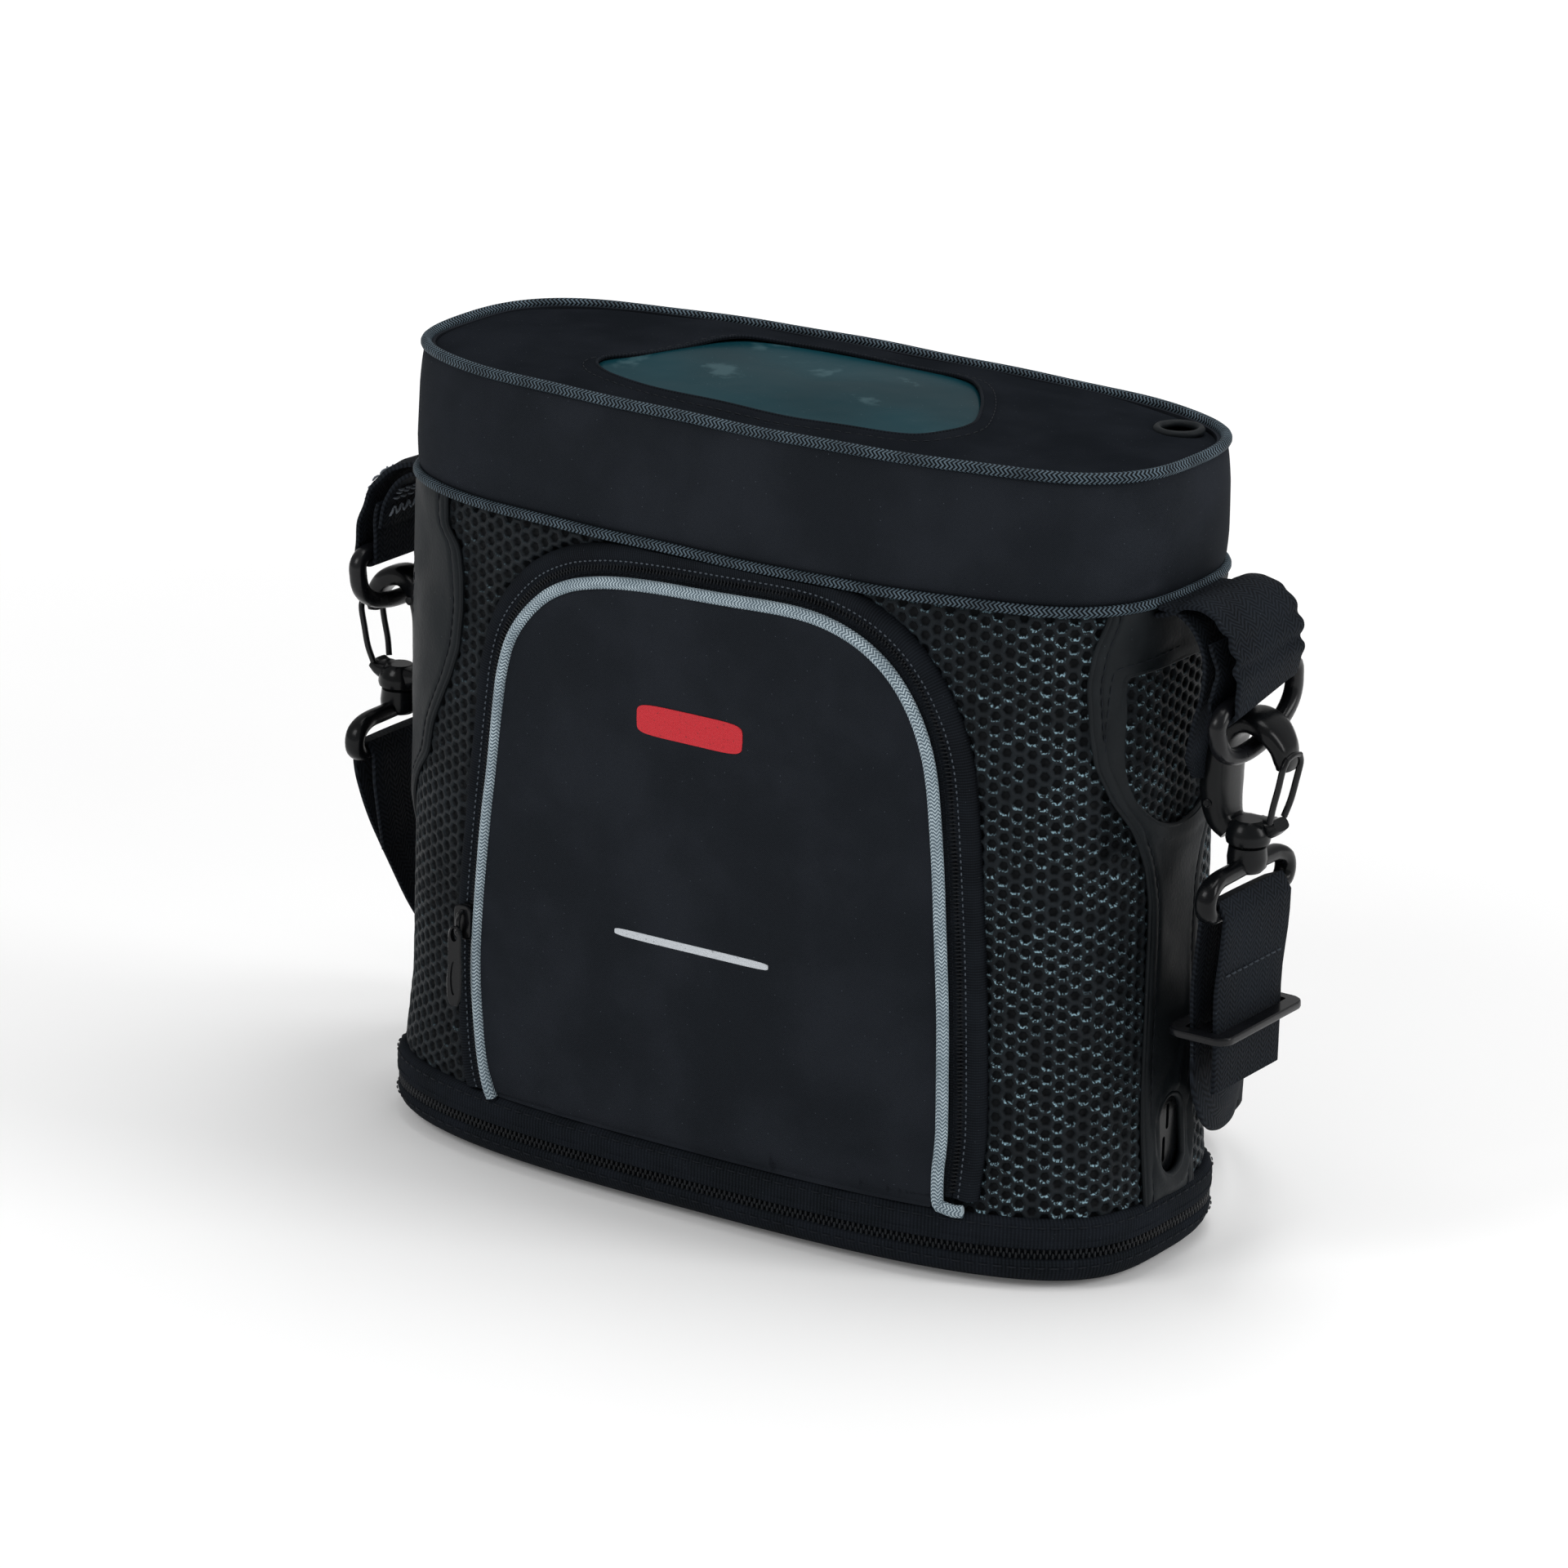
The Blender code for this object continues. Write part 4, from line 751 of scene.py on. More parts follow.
# ------------------------------------------------------------------ the footprint's surface
def _foot_table():
    q = np.linspace(0, 1, 1500, endpoint=False)
    s = (pi / 2) * (3 * q * q - 2 * q ** 3)
    t = np.concatenate([k * pi / 2 + s for k in range(4)]) + pi / 2
    c, n = np.cos(t), np.sin(t)
    x = np.sign(c) * np.abs(c) ** (2 / EXP_X)
    y = np.sign(n) * np.abs(n) ** (2 / EXP_Y)
    x, y = np.append(x, x[0]), np.append(y, y[0])
    u = np.concatenate([[0], np.cumsum(np.hypot(np.diff(x) * 0.1285, np.diff(y) * 0.0573))])
    return u, x, y


FU, FX, FY = _foot_table()
ROUND = float(FU[-1])              # length round the bag
FRONT_U = ROUND / 2                # the front's middle; u grows from left to right there


def foot(u):
    u = np.mod(u, ROUND)
    return np.interp(u, FU, FX), np.interp(u, FU, FY)


def shell(u, z, h, levels=BODY_LEVELS):
    """Points h outside the footprint's wall, and the outward normals."""
    u, z, h = np.broadcast_arrays(np.asarray(u, float), np.asarray(z, float), np.asarray(h, float))
    zs = [l[0] for l in levels]
    a = np.interp(z, zs, [l[1] for l in levels])
    b = np.interp(z, zs, [l[2] for l in levels])
    x, y = foot(u)
    nx = np.sign(x) * np.abs(x) ** (EXP_X - 1) * EXP_X / a
    ny = np.sign(y) * np.abs(y) ** (EXP_Y - 1) * EXP_Y / b
    ln = np.hypot(nx, ny)
    nx, ny = nx / ln, ny / ln
    P = np.stack([a * x + nx * h, b * y + ny * h, z], -1)
    return P, np.stack([nx, ny, np.zeros_like(nx)], -1)


def u_of_y(side, y):
    """Place round the bag of the point at depth y on its left (-1) or right (+1) end."""
    y = np.asarray(y, float) / 0.0573
    left = FU <= FRONT_U
    if side < 0:
        o = np.argsort(-FY[left])
        return np.interp(-y, -FY[left][o], FU[left][o])
    o = np.argsort(FY[~left])
    return np.interp(y, FY[~left][o], FU[~left][o])


def u_of_x(x):
    """Place round the bag of the point at x on its front."""
    f = FY < -0.02
    return np.interp(np.asarray(x, float) / 0.1285, FX[f], FU[f])


def bump_at(x, c, w):
    return np.exp(-((np.asarray(x) - c) / w) ** 2)


def waves(u, z, seed, amp, lengths=(0.11, 0.067, 0.041)):
    """Slow undulation of a fabric wall."""
    out = 0.0
    for k, L in enumerate(lengths):
        n = max(1, round(ROUND / L))
        out = out + sin(seed * 1.7 + k) * 0.0 + np.sin(2 * pi * n * u / ROUND + seed * (k + 1.3)) * np.cos(
            2 * pi * z / (L * 1.3) + seed * (2.1 * k + 0.7)) / (k + 1)
    return amp * out


# ------------------------------------------------------------------ pocket outline
OUT = [(-0.0741, 0.0232), (-0.0775, 0.0318), (-0.0799, 0.0416), (-0.0813, 0.0517), (-0.0820, 0.0620), (-0.0818, 0.0726),
       (-0.0812, 0.0833), (-0.0803, 0.0940), (-0.0793, 0.1047), (-0.0782, 0.1153), (-0.0769, 0.1260), (-0.0757, 0.1366),
       (-0.0744, 0.1472), (-0.0728, 0.1578), (-0.0697, 0.1680), (-0.0640, 0.1768), (-0.0557, 0.1848), (-0.0464, 0.1898),
       (-0.0373, 0.1924), (-0.0283, 0.1939), (-0.0195, 0.1947), (-0.0107, 0.1952), (-0.0020, 0.1955), (0.0066, 0.1958),
       (0.0152, 0.1961), (0.0237, 0.1964), (0.0321, 0.1964), (0.0404, 0.1957), (0.0487, 0.1937), (0.0568, 0.1900),
       (0.0643, 0.1841), (0.0703, 0.1764), (0.0751, 0.1670), (0.0782, 0.1570), (0.0797, 0.1472), (0.0806, 0.1374),
       (0.0814, 0.1275), (0.0822, 0.1176), (0.0830, 0.1077), (0.0837, 0.0978), (0.0843, 0.0878), (0.0848, 0.0777),
       (0.0852, 0.0677), (0.0856, 0.0576), (0.0858, 0.0474), (0.0857, 0.0374), (0.0852, 0.0260)]
OUT_S = catmull(OUT, 460)


def front_y(x, z):
    zs = [l[0] for l in BODY_LEVELS]
    a = np.interp(z, zs, [l[1] for l in BODY_LEVELS])
    b = np.interp(z, zs, [l[2] for l in BODY_LEVELS])
    return -b * np.maximum(0.0, 1.0 - (np.abs(x) / a) ** EXP_X) ** (1.0 / EXP_Y)


def on_front(x, z, off):
    x, z, off = np.broadcast_arrays(np.asarray(x, float), np.asarray(z, float), np.asarray(off, float))
    return np.stack([x, front_y(x, z) - off, z], -1)


def beside(line, d):
    """The outline moved outwards by d."""
    T = np.gradient(line, axis=0)
    T /= np.linalg.norm(T, axis=1)[:, None]
    return line + np.stack([-T[:, 1], T[:, 0]], 1) * np.asarray(d)[..., None]


def pocket_distance(x, z):
    """Distance outside the pocket's outline; negative within it."""
    L = OUT_S[::4]
    x, z = np.asarray(x, float).ravel(), np.asarray(z, float).ravel()
    d = np.full(len(x), 1e3)
    for p, q in L:
        d = np.minimum(d, np.hypot(x - p, z - q))
    poly = np.array(OUT_S[::3])
    inside = np.zeros(len(x), bool)
    for (x0, z0), (x1, z1) in zip(poly, np.roll(poly, -1, 0)):
        if z0 != z1:
            inside ^= ((z0 > z) != (z1 > z)) & (x < (x1 - x0) * (z - z0) / (z1 - z0) + x0)
    return np.where(inside, -d, d)


def edge_table(rows, zs):
    """A table read at many heights, smoothed so that it has no corners."""
    fine = np.linspace(0.0150, 0.2120, 400)
    v = np.interp(fine, [r[0] for r in rows], [r[1] for r in rows])
    k = np.hanning(17)
    k /= k.sum()
    v = np.convolve(np.pad(v, 8, mode="edge"), k, mode="valid")
    return np.interp(zs, fine, v)


RIGHT_FRONT = ((0.0222, 0.0128), (0.058, 0.0138), (0.105, 0.0132), (0.116, 0.0134),
               (0.127, 0.0160), (0.139, 0.0218), (0.149, 0.0290), (0.160, 0.0335),
               (0.170, 0.0349), (0.185, 0.0358), (0.195, 0.0346), (0.2048, 0.0315))
LEFT_FRONT = ((0.0222, 0.0138), (0.085, 0.0200), (0.105, 0.0330), (0.121, 0.0425), (0.132, 0.0439),
              (0.140, 0.0458), (0.149, 0.0477), (0.159, 0.0490), (0.172, 0.0495),
              (0.182, 0.0494), (0.191, 0.0489), (0.196, 0.0468), (0.2048, 0.0467))
WINDOW_YZ = [(0.0, 0.1362), (0.0105, 0.1384), (0.0190, 0.1440), (0.0250, 0.1512), (0.0277, 0.1600), (0.0281, 0.1700),
             (0.0280, 0.1790), (0.0276, 0.1850), (0.0262, 0.1868), (0.0180, 0.1872), (0.0, 0.1874)]
WINDOW_YZ = WINDOW_YZ + [(-y, z) for y, z in reversed(WINDOW_YZ[1:-1])]


# ------------------------------------------------------------------ spacer-mesh cloth
# place round the bag where the mesh's painted glints are strongest
PAINTED_GLINT_U = float(u_of_x(0.118))


def hex_cloth(name, keep, replaces=()):
    """Knitted spacer mesh: rows of raised threads round small openings."""
    cols = 2 * round(ROUND / 0.0037 / 2)
    du, dz = ROUND / cols, 0.0043
    rows = int((0.2056 - 0.0215) / dz) + 2
    i, j = np.meshgrid(np.arange(cols), np.arange(rows), indexing="ij")
    cu = (i * du).ravel()
    cz = (0.0215 + (j + 0.5 * (i % 2)) * dz).ravel()
    m = keep(cu, cz) & (cz < 0.2070)
    cu, cz = cu[m], cz[m]
    n = len(cu)
    hu = np.array([2 / 3, 1 / 3, -1 / 3, -2 / 3, -1 / 3, 1 / 3]) * du
    hz = np.array([0.0, 0.5, 0.5, 0.0, -0.5, -0.5]) * dz
    # the last value of each ring is its relief, which the material turns into painted shade in the openings
    rings = ((1.0, 0.00042, 1.0), (0.80, 0.00034, 0.9), (0.62, -0.00005, 0.45), (0.53, -0.00062, 0.1))
    U, Z, H, R = [], [], [], []
    for s, h, rel in rings:
        U.append(cu[:, None] + hu * s)
        Z.append(cz[:, None] + hz * s)
        H.append(np.full((n, 6), h))
        R.append(np.full((n, 6), rel))
    U.append(cu[:, None])
    Z.append(cz[:, None])
    H.append(np.full((n, 1), -0.00070))
    R.append(np.zeros((n, 1)))
    U, Z, H, R = (np.concatenate(q, 1) for q in (U, Z, H, R))
    key = np.round(U / 2e-6) * 0.7131 + np.round(Z / 2e-6) * 0.3917
    jit = np.modf(np.abs(np.sin(key) * 4375.85))[0] - 0.5
    jit2 = np.modf(np.abs(np.sin(key * 1.7) * 2618.21))[0] - 0.5
    U2, Z2 = U + jit * 0.00034, Z + jit2 * 0.00034
    H = H + jit2 * 0.00016
    Z2 = np.clip(Z2, 0.0205, 0.2058)
    base = waves(U2, Z2, 1.3, 0.00028) - 0.0008 * bump_at(Z2, 0.0205, 0.0024) - 0.0010 * bump_at(Z2, 0.2062, 0.0022)
    x, y = foot(U2)
    front = (y < -0.2).ravel()
    d = np.full(U2.size, 1.0)
    P0, _ = shell(U2, Z2, 0.0)
    P0 = P0.reshape(-1, 3)
    d[front] = pocket_distance(P0[front, 0], P0[front, 2])
    groove = 1.0 - np.clip((d - 0.0104) / 0.0030, 0, 1)
    groove = (groove * groove * (3 - 2 * groove)).reshape(U2.shape)
    P, _ = shell(U2, Z2, H + base - 0.0017 * groove)
    pick = np.modf(np.abs(np.sin(i.ravel()[m] * 12.9898 + j.ravel()[m] * 78.233)) * 43758.5453)[0]
    # painted glints: strongest near that place on the front, and only on the lower side of each opening, where the
    # light catches the threads
    painted_glint_region = 0.30 + 0.70 * np.exp(-((cu - PAINTED_GLINT_U) / 0.050) ** 2) + 0.10 * waves(cu, cz, 2.7, 1.0)
    painted_glint_amount = (painted_glint_region * (0.35 + 0.65 * pick) * (pick > 0.22))[:, None]
    G = np.zeros(U.shape)
    side = np.array([0.0, 0.0, 0.0, 0.25, 1.0, 0.75])
    side2 = np.array([0.15, 0.0, 0.0, 0.0, 0.8, 1.0])
    G[:, 0:6] = painted_glint_amount * side * 0.55
    G[:, 6:12] = painted_glint_amount * side
    G[:, 12:18] = painted_glint_amount * side2 * 0.7
    w = 25
    off = np.arange(n)[:, None] * w
    faces = []
    uvs = []
    UV = np.stack([U.ravel(), Z.ravel()], 1)
    for r in range(3):
        for k in range(6):
            q = np.stack([r * 6 + k, r * 6 + (k + 1) % 6, (r + 1) * 6 + (k + 1) % 6, (r + 1) * 6 + k], 0)[None] + off
            faces.append(q)
    for k in range(6):
        faces.append(np.stack([18 + k, 18 + (k + 1) % 6, 24], 0)[None] + off)
    flat = [f for q in faces for f in q.tolist()]
    flat_uv = UV[np.array([i for f in flat for i in f])]
    V, F, first = weld(P.reshape(-1, 3), flat)
    ob = make_object(name, V, F, "mesh_fabric", flat_uv, {"relief_shade": R.ravel()[first], "painted_glint": G.ravel()[first]}, angle=3.2)
    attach(ob, "bag")
    if replaces:
        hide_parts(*replaces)
    return ob


U_RF, U_LF = float(u_of_y(1, -0.026)), float(u_of_y(-1, -0.036))     # front panel ends, under the trims
hex_cloth("mesh_front", lambda u, z: (u > u_of_y(-1, -edge_table(LEFT_FRONT, z) + 0.004))
          & (u < u_of_y(1, -edge_table(RIGHT_FRONT, z) + 0.004)), ("bag_body_shell",))
hex_cloth("mesh_back", lambda u, z: (u < u_of_y(-1, edge_table(RIGHT_FRONT, z) - 0.004))
          | (u > u_of_y(1, edge_table(RIGHT_FRONT, z) - 0.004)))
for sd, sg in (("left", -1), ("right", 1)):
    lo, hi = sorted((float(u_of_y(sg, -0.031)), float(u_of_y(sg, 0.031))))
    hex_cloth("mesh_window_" + sd, lambda u, z, lo=lo, hi=hi: (u > lo) & (u < hi) & (z > 0.132) & (z < 0.191))


def loft_wall(levels, outer, inner, n=360, step=0.004, z0=None, z1=None):
    """Closed wall round the bag between two offsets."""
    z0 = levels[0][0] if z0 is None else z0
    z1 = levels[-1][0] if z1 is None else z1
    u = np.linspace(0, ROUND, n, endpoint=False)
    zs = np.linspace(z0, z1, max(3, int((z1 - z0) / step)))
    rows = [shell(u, z, outer, levels)[0] for z in zs] + [shell(u, z, inner, levels)[0] for z in reversed(zs)]
    G = np.stack(rows, 1)
    V = np.concatenate([zs, zs[::-1] + 0.2, zs[:1] + 0.4])
    return grid_arrays(G, True, True, np.append(u, ROUND), V)


lining = make_object("body_lining", *loft_wall(BODY_LEVELS, -0.0024, -0.0030, 240, 0.012)[:2], "lining",
                     loft_wall(BODY_LEVELS, -0.0024, -0.0030, 240, 0.012)[2])


def oval_outline(hy, z0, z1, k=12, grow=0.0, cy=0.0):
    hy, z0, z1 = hy + grow, z0 - grow, z1 + grow
    pts = [(cy + hy * cos(pi * i / k), z1 - hy + hy * sin(pi * i / k)) for i in range(k + 1)]
    pts += [(cy + hy * cos(pi + pi * i / k), z0 + hy + hy * sin(pi + pi * i / k)) for i in range(k + 1)]
    return pts


boolean(lining, [prism(oval_outline(PORT_R, PORT_Z0, PORT_Z1), "x", 0.110, 0.150)])
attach(lining, "bag")

# ------------------------------------------------------------------ smooth band
u = np.linspace(0, ROUND, 460, endpoint=False)
zb = np.concatenate([np.linspace(0.2072, 0.2120, 6), np.linspace(0.2145, 0.2395, 9), np.linspace(0.2410, 0.2457, 6)])
rows = []
for z in zb:
    e = min(z - 0.2072, 0.2457 - z)
    h = 0.0002 + 0.0007 * (1 - math.exp(-e / 0.0035)) - 0.0007 * math.exp(-(e / 0.0016) ** 2)
    h = h + waves(u, z, 2.6, 0.00030, (0.15, 0.08, 0.05))
    h = h + 0.0005 * bump_at(u, u_of_y(1, -0.02), 0.006) * sin(z * 900) * 0.6
    rows.append(shell(u, z, h, BAND_LEVELS)[0])
rows += [shell(u, z, -0.0024, BAND_LEVELS)[0] for z in (0.2457, 0.2400, 0.2270, 0.2130, 0.2072)]
zs_b = list(zb) + [0.25, 0.256, 0.269, 0.283, 0.289]
put("top_band", grid_arrays(np.stack(rows, 1), True, True, np.append(u, ROUND), np.array(zs_b + [0.2925])),
    "smooth_fabric", replaces=("bag_top_band",))


# ------------------------------------------------------------------ lid
def dome(x, y):
    r = (np.abs(x) / TOP_A) ** 2 + (np.abs(y) / TOP_B) ** 2
    return TOP_DOME * np.maximum(0.0, 1.0 - 0.81 * r)


WINDOW = ((-0.0640, -0.0205), (-0.0585, -0.0115), (-0.0545, -0.0010), (-0.0510, 0.0100), (-0.0475, 0.0215),
          (-0.0400, 0.0285), (-0.0180, 0.0312), (0.0180, 0.0312), (0.0330, 0.0288), (0.0420, 0.0220),
          (0.0520, 0.0085), (0.0600, -0.0060), (0.0635, -0.0160), (0.0612, -0.0262), (0.0520, -0.0355),
          (0.0250, -0.0392), (-0.0250, -0.0385), (-0.0480, -0.0350), (-0.0600, -0.0285))
WIN = catmull(WINDOW, 300, closed=True)
WC = np.array([0.0, -0.004])
ang = np.arctan2(WIN[:, 1] - WC[1], WIN[:, 0] - WC[0])
EU = np.linspace(0, ROUND, 3000, endpoint=False)
ex, ey = foot(EU)
EX, EY = ex * 0.1282, ey * 0.0522
ea = np.arctan2(EY - WC[1], EX - WC[0])
o = np.argsort(ea)
ea_s, ex_s, ey_s = ea[o], EX[o], EY[o]
ea3 = np.concatenate([ea_s - 2 * pi, ea_s, ea_s + 2 * pi])
OX = np.interp(ang, ea3, np.tile(ex_s, 3))
OY = np.interp(ang, ea3, np.tile(ey_s, 3))
OUTER = np.stack([OX, OY], 1)


def lid_z(x, y, e_in, e_out):
    """Lid's top face: domed, hemmed at the window, pulled down at the seam."""
    z = TOP_Z + 0.0016 + dome(x, y) * 0.95
    z = z + 0.0004 * np.exp(-(e_in / 0.0026) ** 4) - 0.00045 * np.exp(-((e_in - 0.0042) / 0.0008) ** 2)
    z = z - 0.0019 * np.exp(-(e_out / 0.0034) ** 1.3)
    z = z + 0.00028 * np.sin(x * 61 + 1.0) * np.cos(y * 83 + 0.4) + 0.0002 * np.sin(x * 143 + y * 90)
    z = z + 0.0009 * bump_at(x, -0.066, 0.020) * bump_at(y, 0.030, 0.012)
    z = z - 0.0008 * bump_at(x, HOLE_X + 0.003, 0.009) * bump_at(y, HOLE_Y, 0.010)
    return z


span = np.linalg.norm(OUTER - WIN, axis=1)
fr = np.concatenate([[0.0], np.array([0.0004, 0.0012, 0.0022, 0.0030, 0.0036, 0.0042, 0.0048, 0.0056]), np.linspace(0.0075, 1, 1)])
top, bot = [], []
near = np.array([0.0, 0.0005, 0.0013, 0.0022, 0.0030, 0.0036, 0.0042, 0.0048, 0.0056, 0.0070])
far = np.array([0.0085, 0.0060, 0.0042, 0.0028, 0.0016, 0.0006, 0.0])
for d in near:
    top.append(WIN + (OUTER - WIN) * (d / span)[:, None])
for q in np.linspace(0.12, 0.86, 16):
    a_, b_ = 0.0070 / span, 1 - 0.0085 / span
    f = a_ + (b_ - a_) * q
    top.append(WIN + (OUTER - WIN) * f[:, None])
for d in far:
    top.append(WIN + (OUTER - WIN) * (1 - d / span)[:, None])
rings3 = []
for ring in top:
    e_in = np.linalg.norm(ring - WIN, axis=1)
    e_out = np.linalg.norm(ring - OUTER, axis=1)
    rings3.append(np.column_stack([ring, lid_z(ring[:, 0], ring[:, 1], e_in, e_out)]))
edge = rings3[0].copy()
edge[:, :2] -= (OUTER - WIN) / span[:, None] * 0.0005
edge[:, 2] -= 0.0006
under = [np.column_stack([r[:, :2], r[:, 2] - 0.0014]) for r in rings3[::-1][::3]]
allr = [edge] + rings3 + under
G = np.stack(allr, 1)
UVG = G[:, :, :2]
UVG = np.concatenate([UVG, UVG[:1]], 0)
UVG = np.concatenate([UVG, UVG[:, :1]], 1)
v_, f_, _u = grid_arrays(G, True, True, flip=True)
I_, J_ = G.shape[:2]
loop_idx = [i for q in f_ for i in q]
lid = make_object("lid_panel", v_, f_, "lid_fabric_shaded", v_[loop_idx][:, :2])
boolean(lid, [turned((HOLE_X, HOLE_Y, 0.235), ((HOLE_R - 0.0006, 0.0), (HOLE_R - 0.0006, 0.03)), 40)[:2]])
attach(lid, "bag")
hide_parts("bag_top_panel")

# window film, a little below the hem, with soft ripples
rr = np.linspace(1.0, 0.0, 26)[:-1]
film = []
for s in rr:
    p = WC + (WIN - WC) * (0.0 + s * 1.012)
    z = TOP_Z + 0.0011 + dome(p[:, 0], p[:, 1]) * 0.95 + 0.00022 * np.sin(p[:, 0] * 95 + 0.6) * np.cos(p[:, 1] * 60)
    z = z - 0.0009 * (1 - s ** 6) * 0.4
    film.append(np.column_stack([p, z]))
fv, ff, _ = grid_arrays(np.stack(film, 1), True, False, flip=True)
ctr = len(fv)
fv = np.concatenate([fv, [[WC[0], WC[1], film[-1][:, 2].mean()]]])
R_ = len(rr)
ff += [(ctr, ((i + 1) % 300) * R_ + R_ - 1, i * R_ + R_ - 1) for i in range(300)]
film_ob = make_object("window_film", fv, ff, "window_film", fv[[i for q in ff for i in q]][:, :2], angle=3.1)
sol = film_ob.modifiers.new("thick", "SOLIDIFY")
sol.thickness, sol.offset = 0.0006, -1.0
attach(film_ob, "bag")
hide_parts("top_window")
wl = WIN + (OUTER - WIN) / span[:, None] * 0.0042
wl3 = np.column_stack([wl, lid_z(wl[:, 0], wl[:, 1], 0.0042, 0.03) + 0.00005])
wl3 = np.concatenate([wl3, wl3[:1]])
put("window_stitch", stitches(wl3, np.tile([0, 0, 1.0], (len(wl3), 1)), 0.0024, 0.0010, 0.00020), "dark_thread")
wr3 = np.column_stack([WIN, lid_z(WIN[:, 0], WIN[:, 1], 0.0, 0.03) - 0.0001])
put("window_edge", tube(wr3, 0.00055, 8, True, (0, 0, 1)), "dark_edge" if "dark_edge" in MAT else "binding_tape")

hole = [(HOLE_X + HOLE_R * 0.93 * cos(t), HOLE_Y + HOLE_R * 0.93 * sin(t),
         TOP_Z + 0.0019 + float(dome(HOLE_X, HOLE_Y)) - 0.0004) for t in np.linspace(0, 2 * pi, 48, endpoint=False)]
put("outlet_binding", tube(hole, 0.0012, 10, True, (0, 0, 1)), "vinyl_trim", replaces=("outlet_bound_edge",))

# ------------------------------------------------------------------ pipings
for nm, (z, a, b, r), node in (("piping_top", PIPE_TOP, "top_piping"), ("piping_lower", PIPE_LOW, "lower_piping")):
    uu = np.linspace(0, ROUND, 760, endpoint=False)
    x, y = foot(uu)
    sag = 0.00022 * np.sin(2 * pi * 5 * uu / ROUND + 0.6) + 0.00012 * np.sin(2 * pi * 13 * uu / ROUND)
    P = np.column_stack([a * x, b * y, z + sag])
    put(nm, tube(P, r, 14, True, (0, 0, 1)), "dark_piping", replaces=(node,))

# ------------------------------------------------------------------ vinyl side trims
def fold_relief(y, z):
    """Pinched fold above the port and the raised lip round it."""
    yc = np.interp(z, (0.050, 0.056, 0.0715, 0.095), (0.0018, 0.0024, 0.0066, 0.0098))
    ridge = 0.0011 * bump_at(y, yc, 0.0012) * np.clip((z - 0.052) / 0.006, 0, 1) * np.clip((0.096 - z) / 0.030, 0, 1)
    rho = np.sqrt(((y - 0.0012) / 0.0112) ** 2 + ((z - 0.0392) / 0.0160) ** 2)
    lip = 0.0009 * bump_at(rho, 1.0, 0.11) + 0.0004 * bump_at(rho, 0.80, 0.10)
    pleat = -0.0006 * bump_at(y, np.interp(z, (0.046, 0.056, 0.064), (-0.0085, -0.0035, 0.0010)), 0.0008) * np.clip((0.064 - z) / 0.008, 0, 1) * np.clip((z - 0.030) / 0.01, 0, 1)
    return ridge + lip + pleat


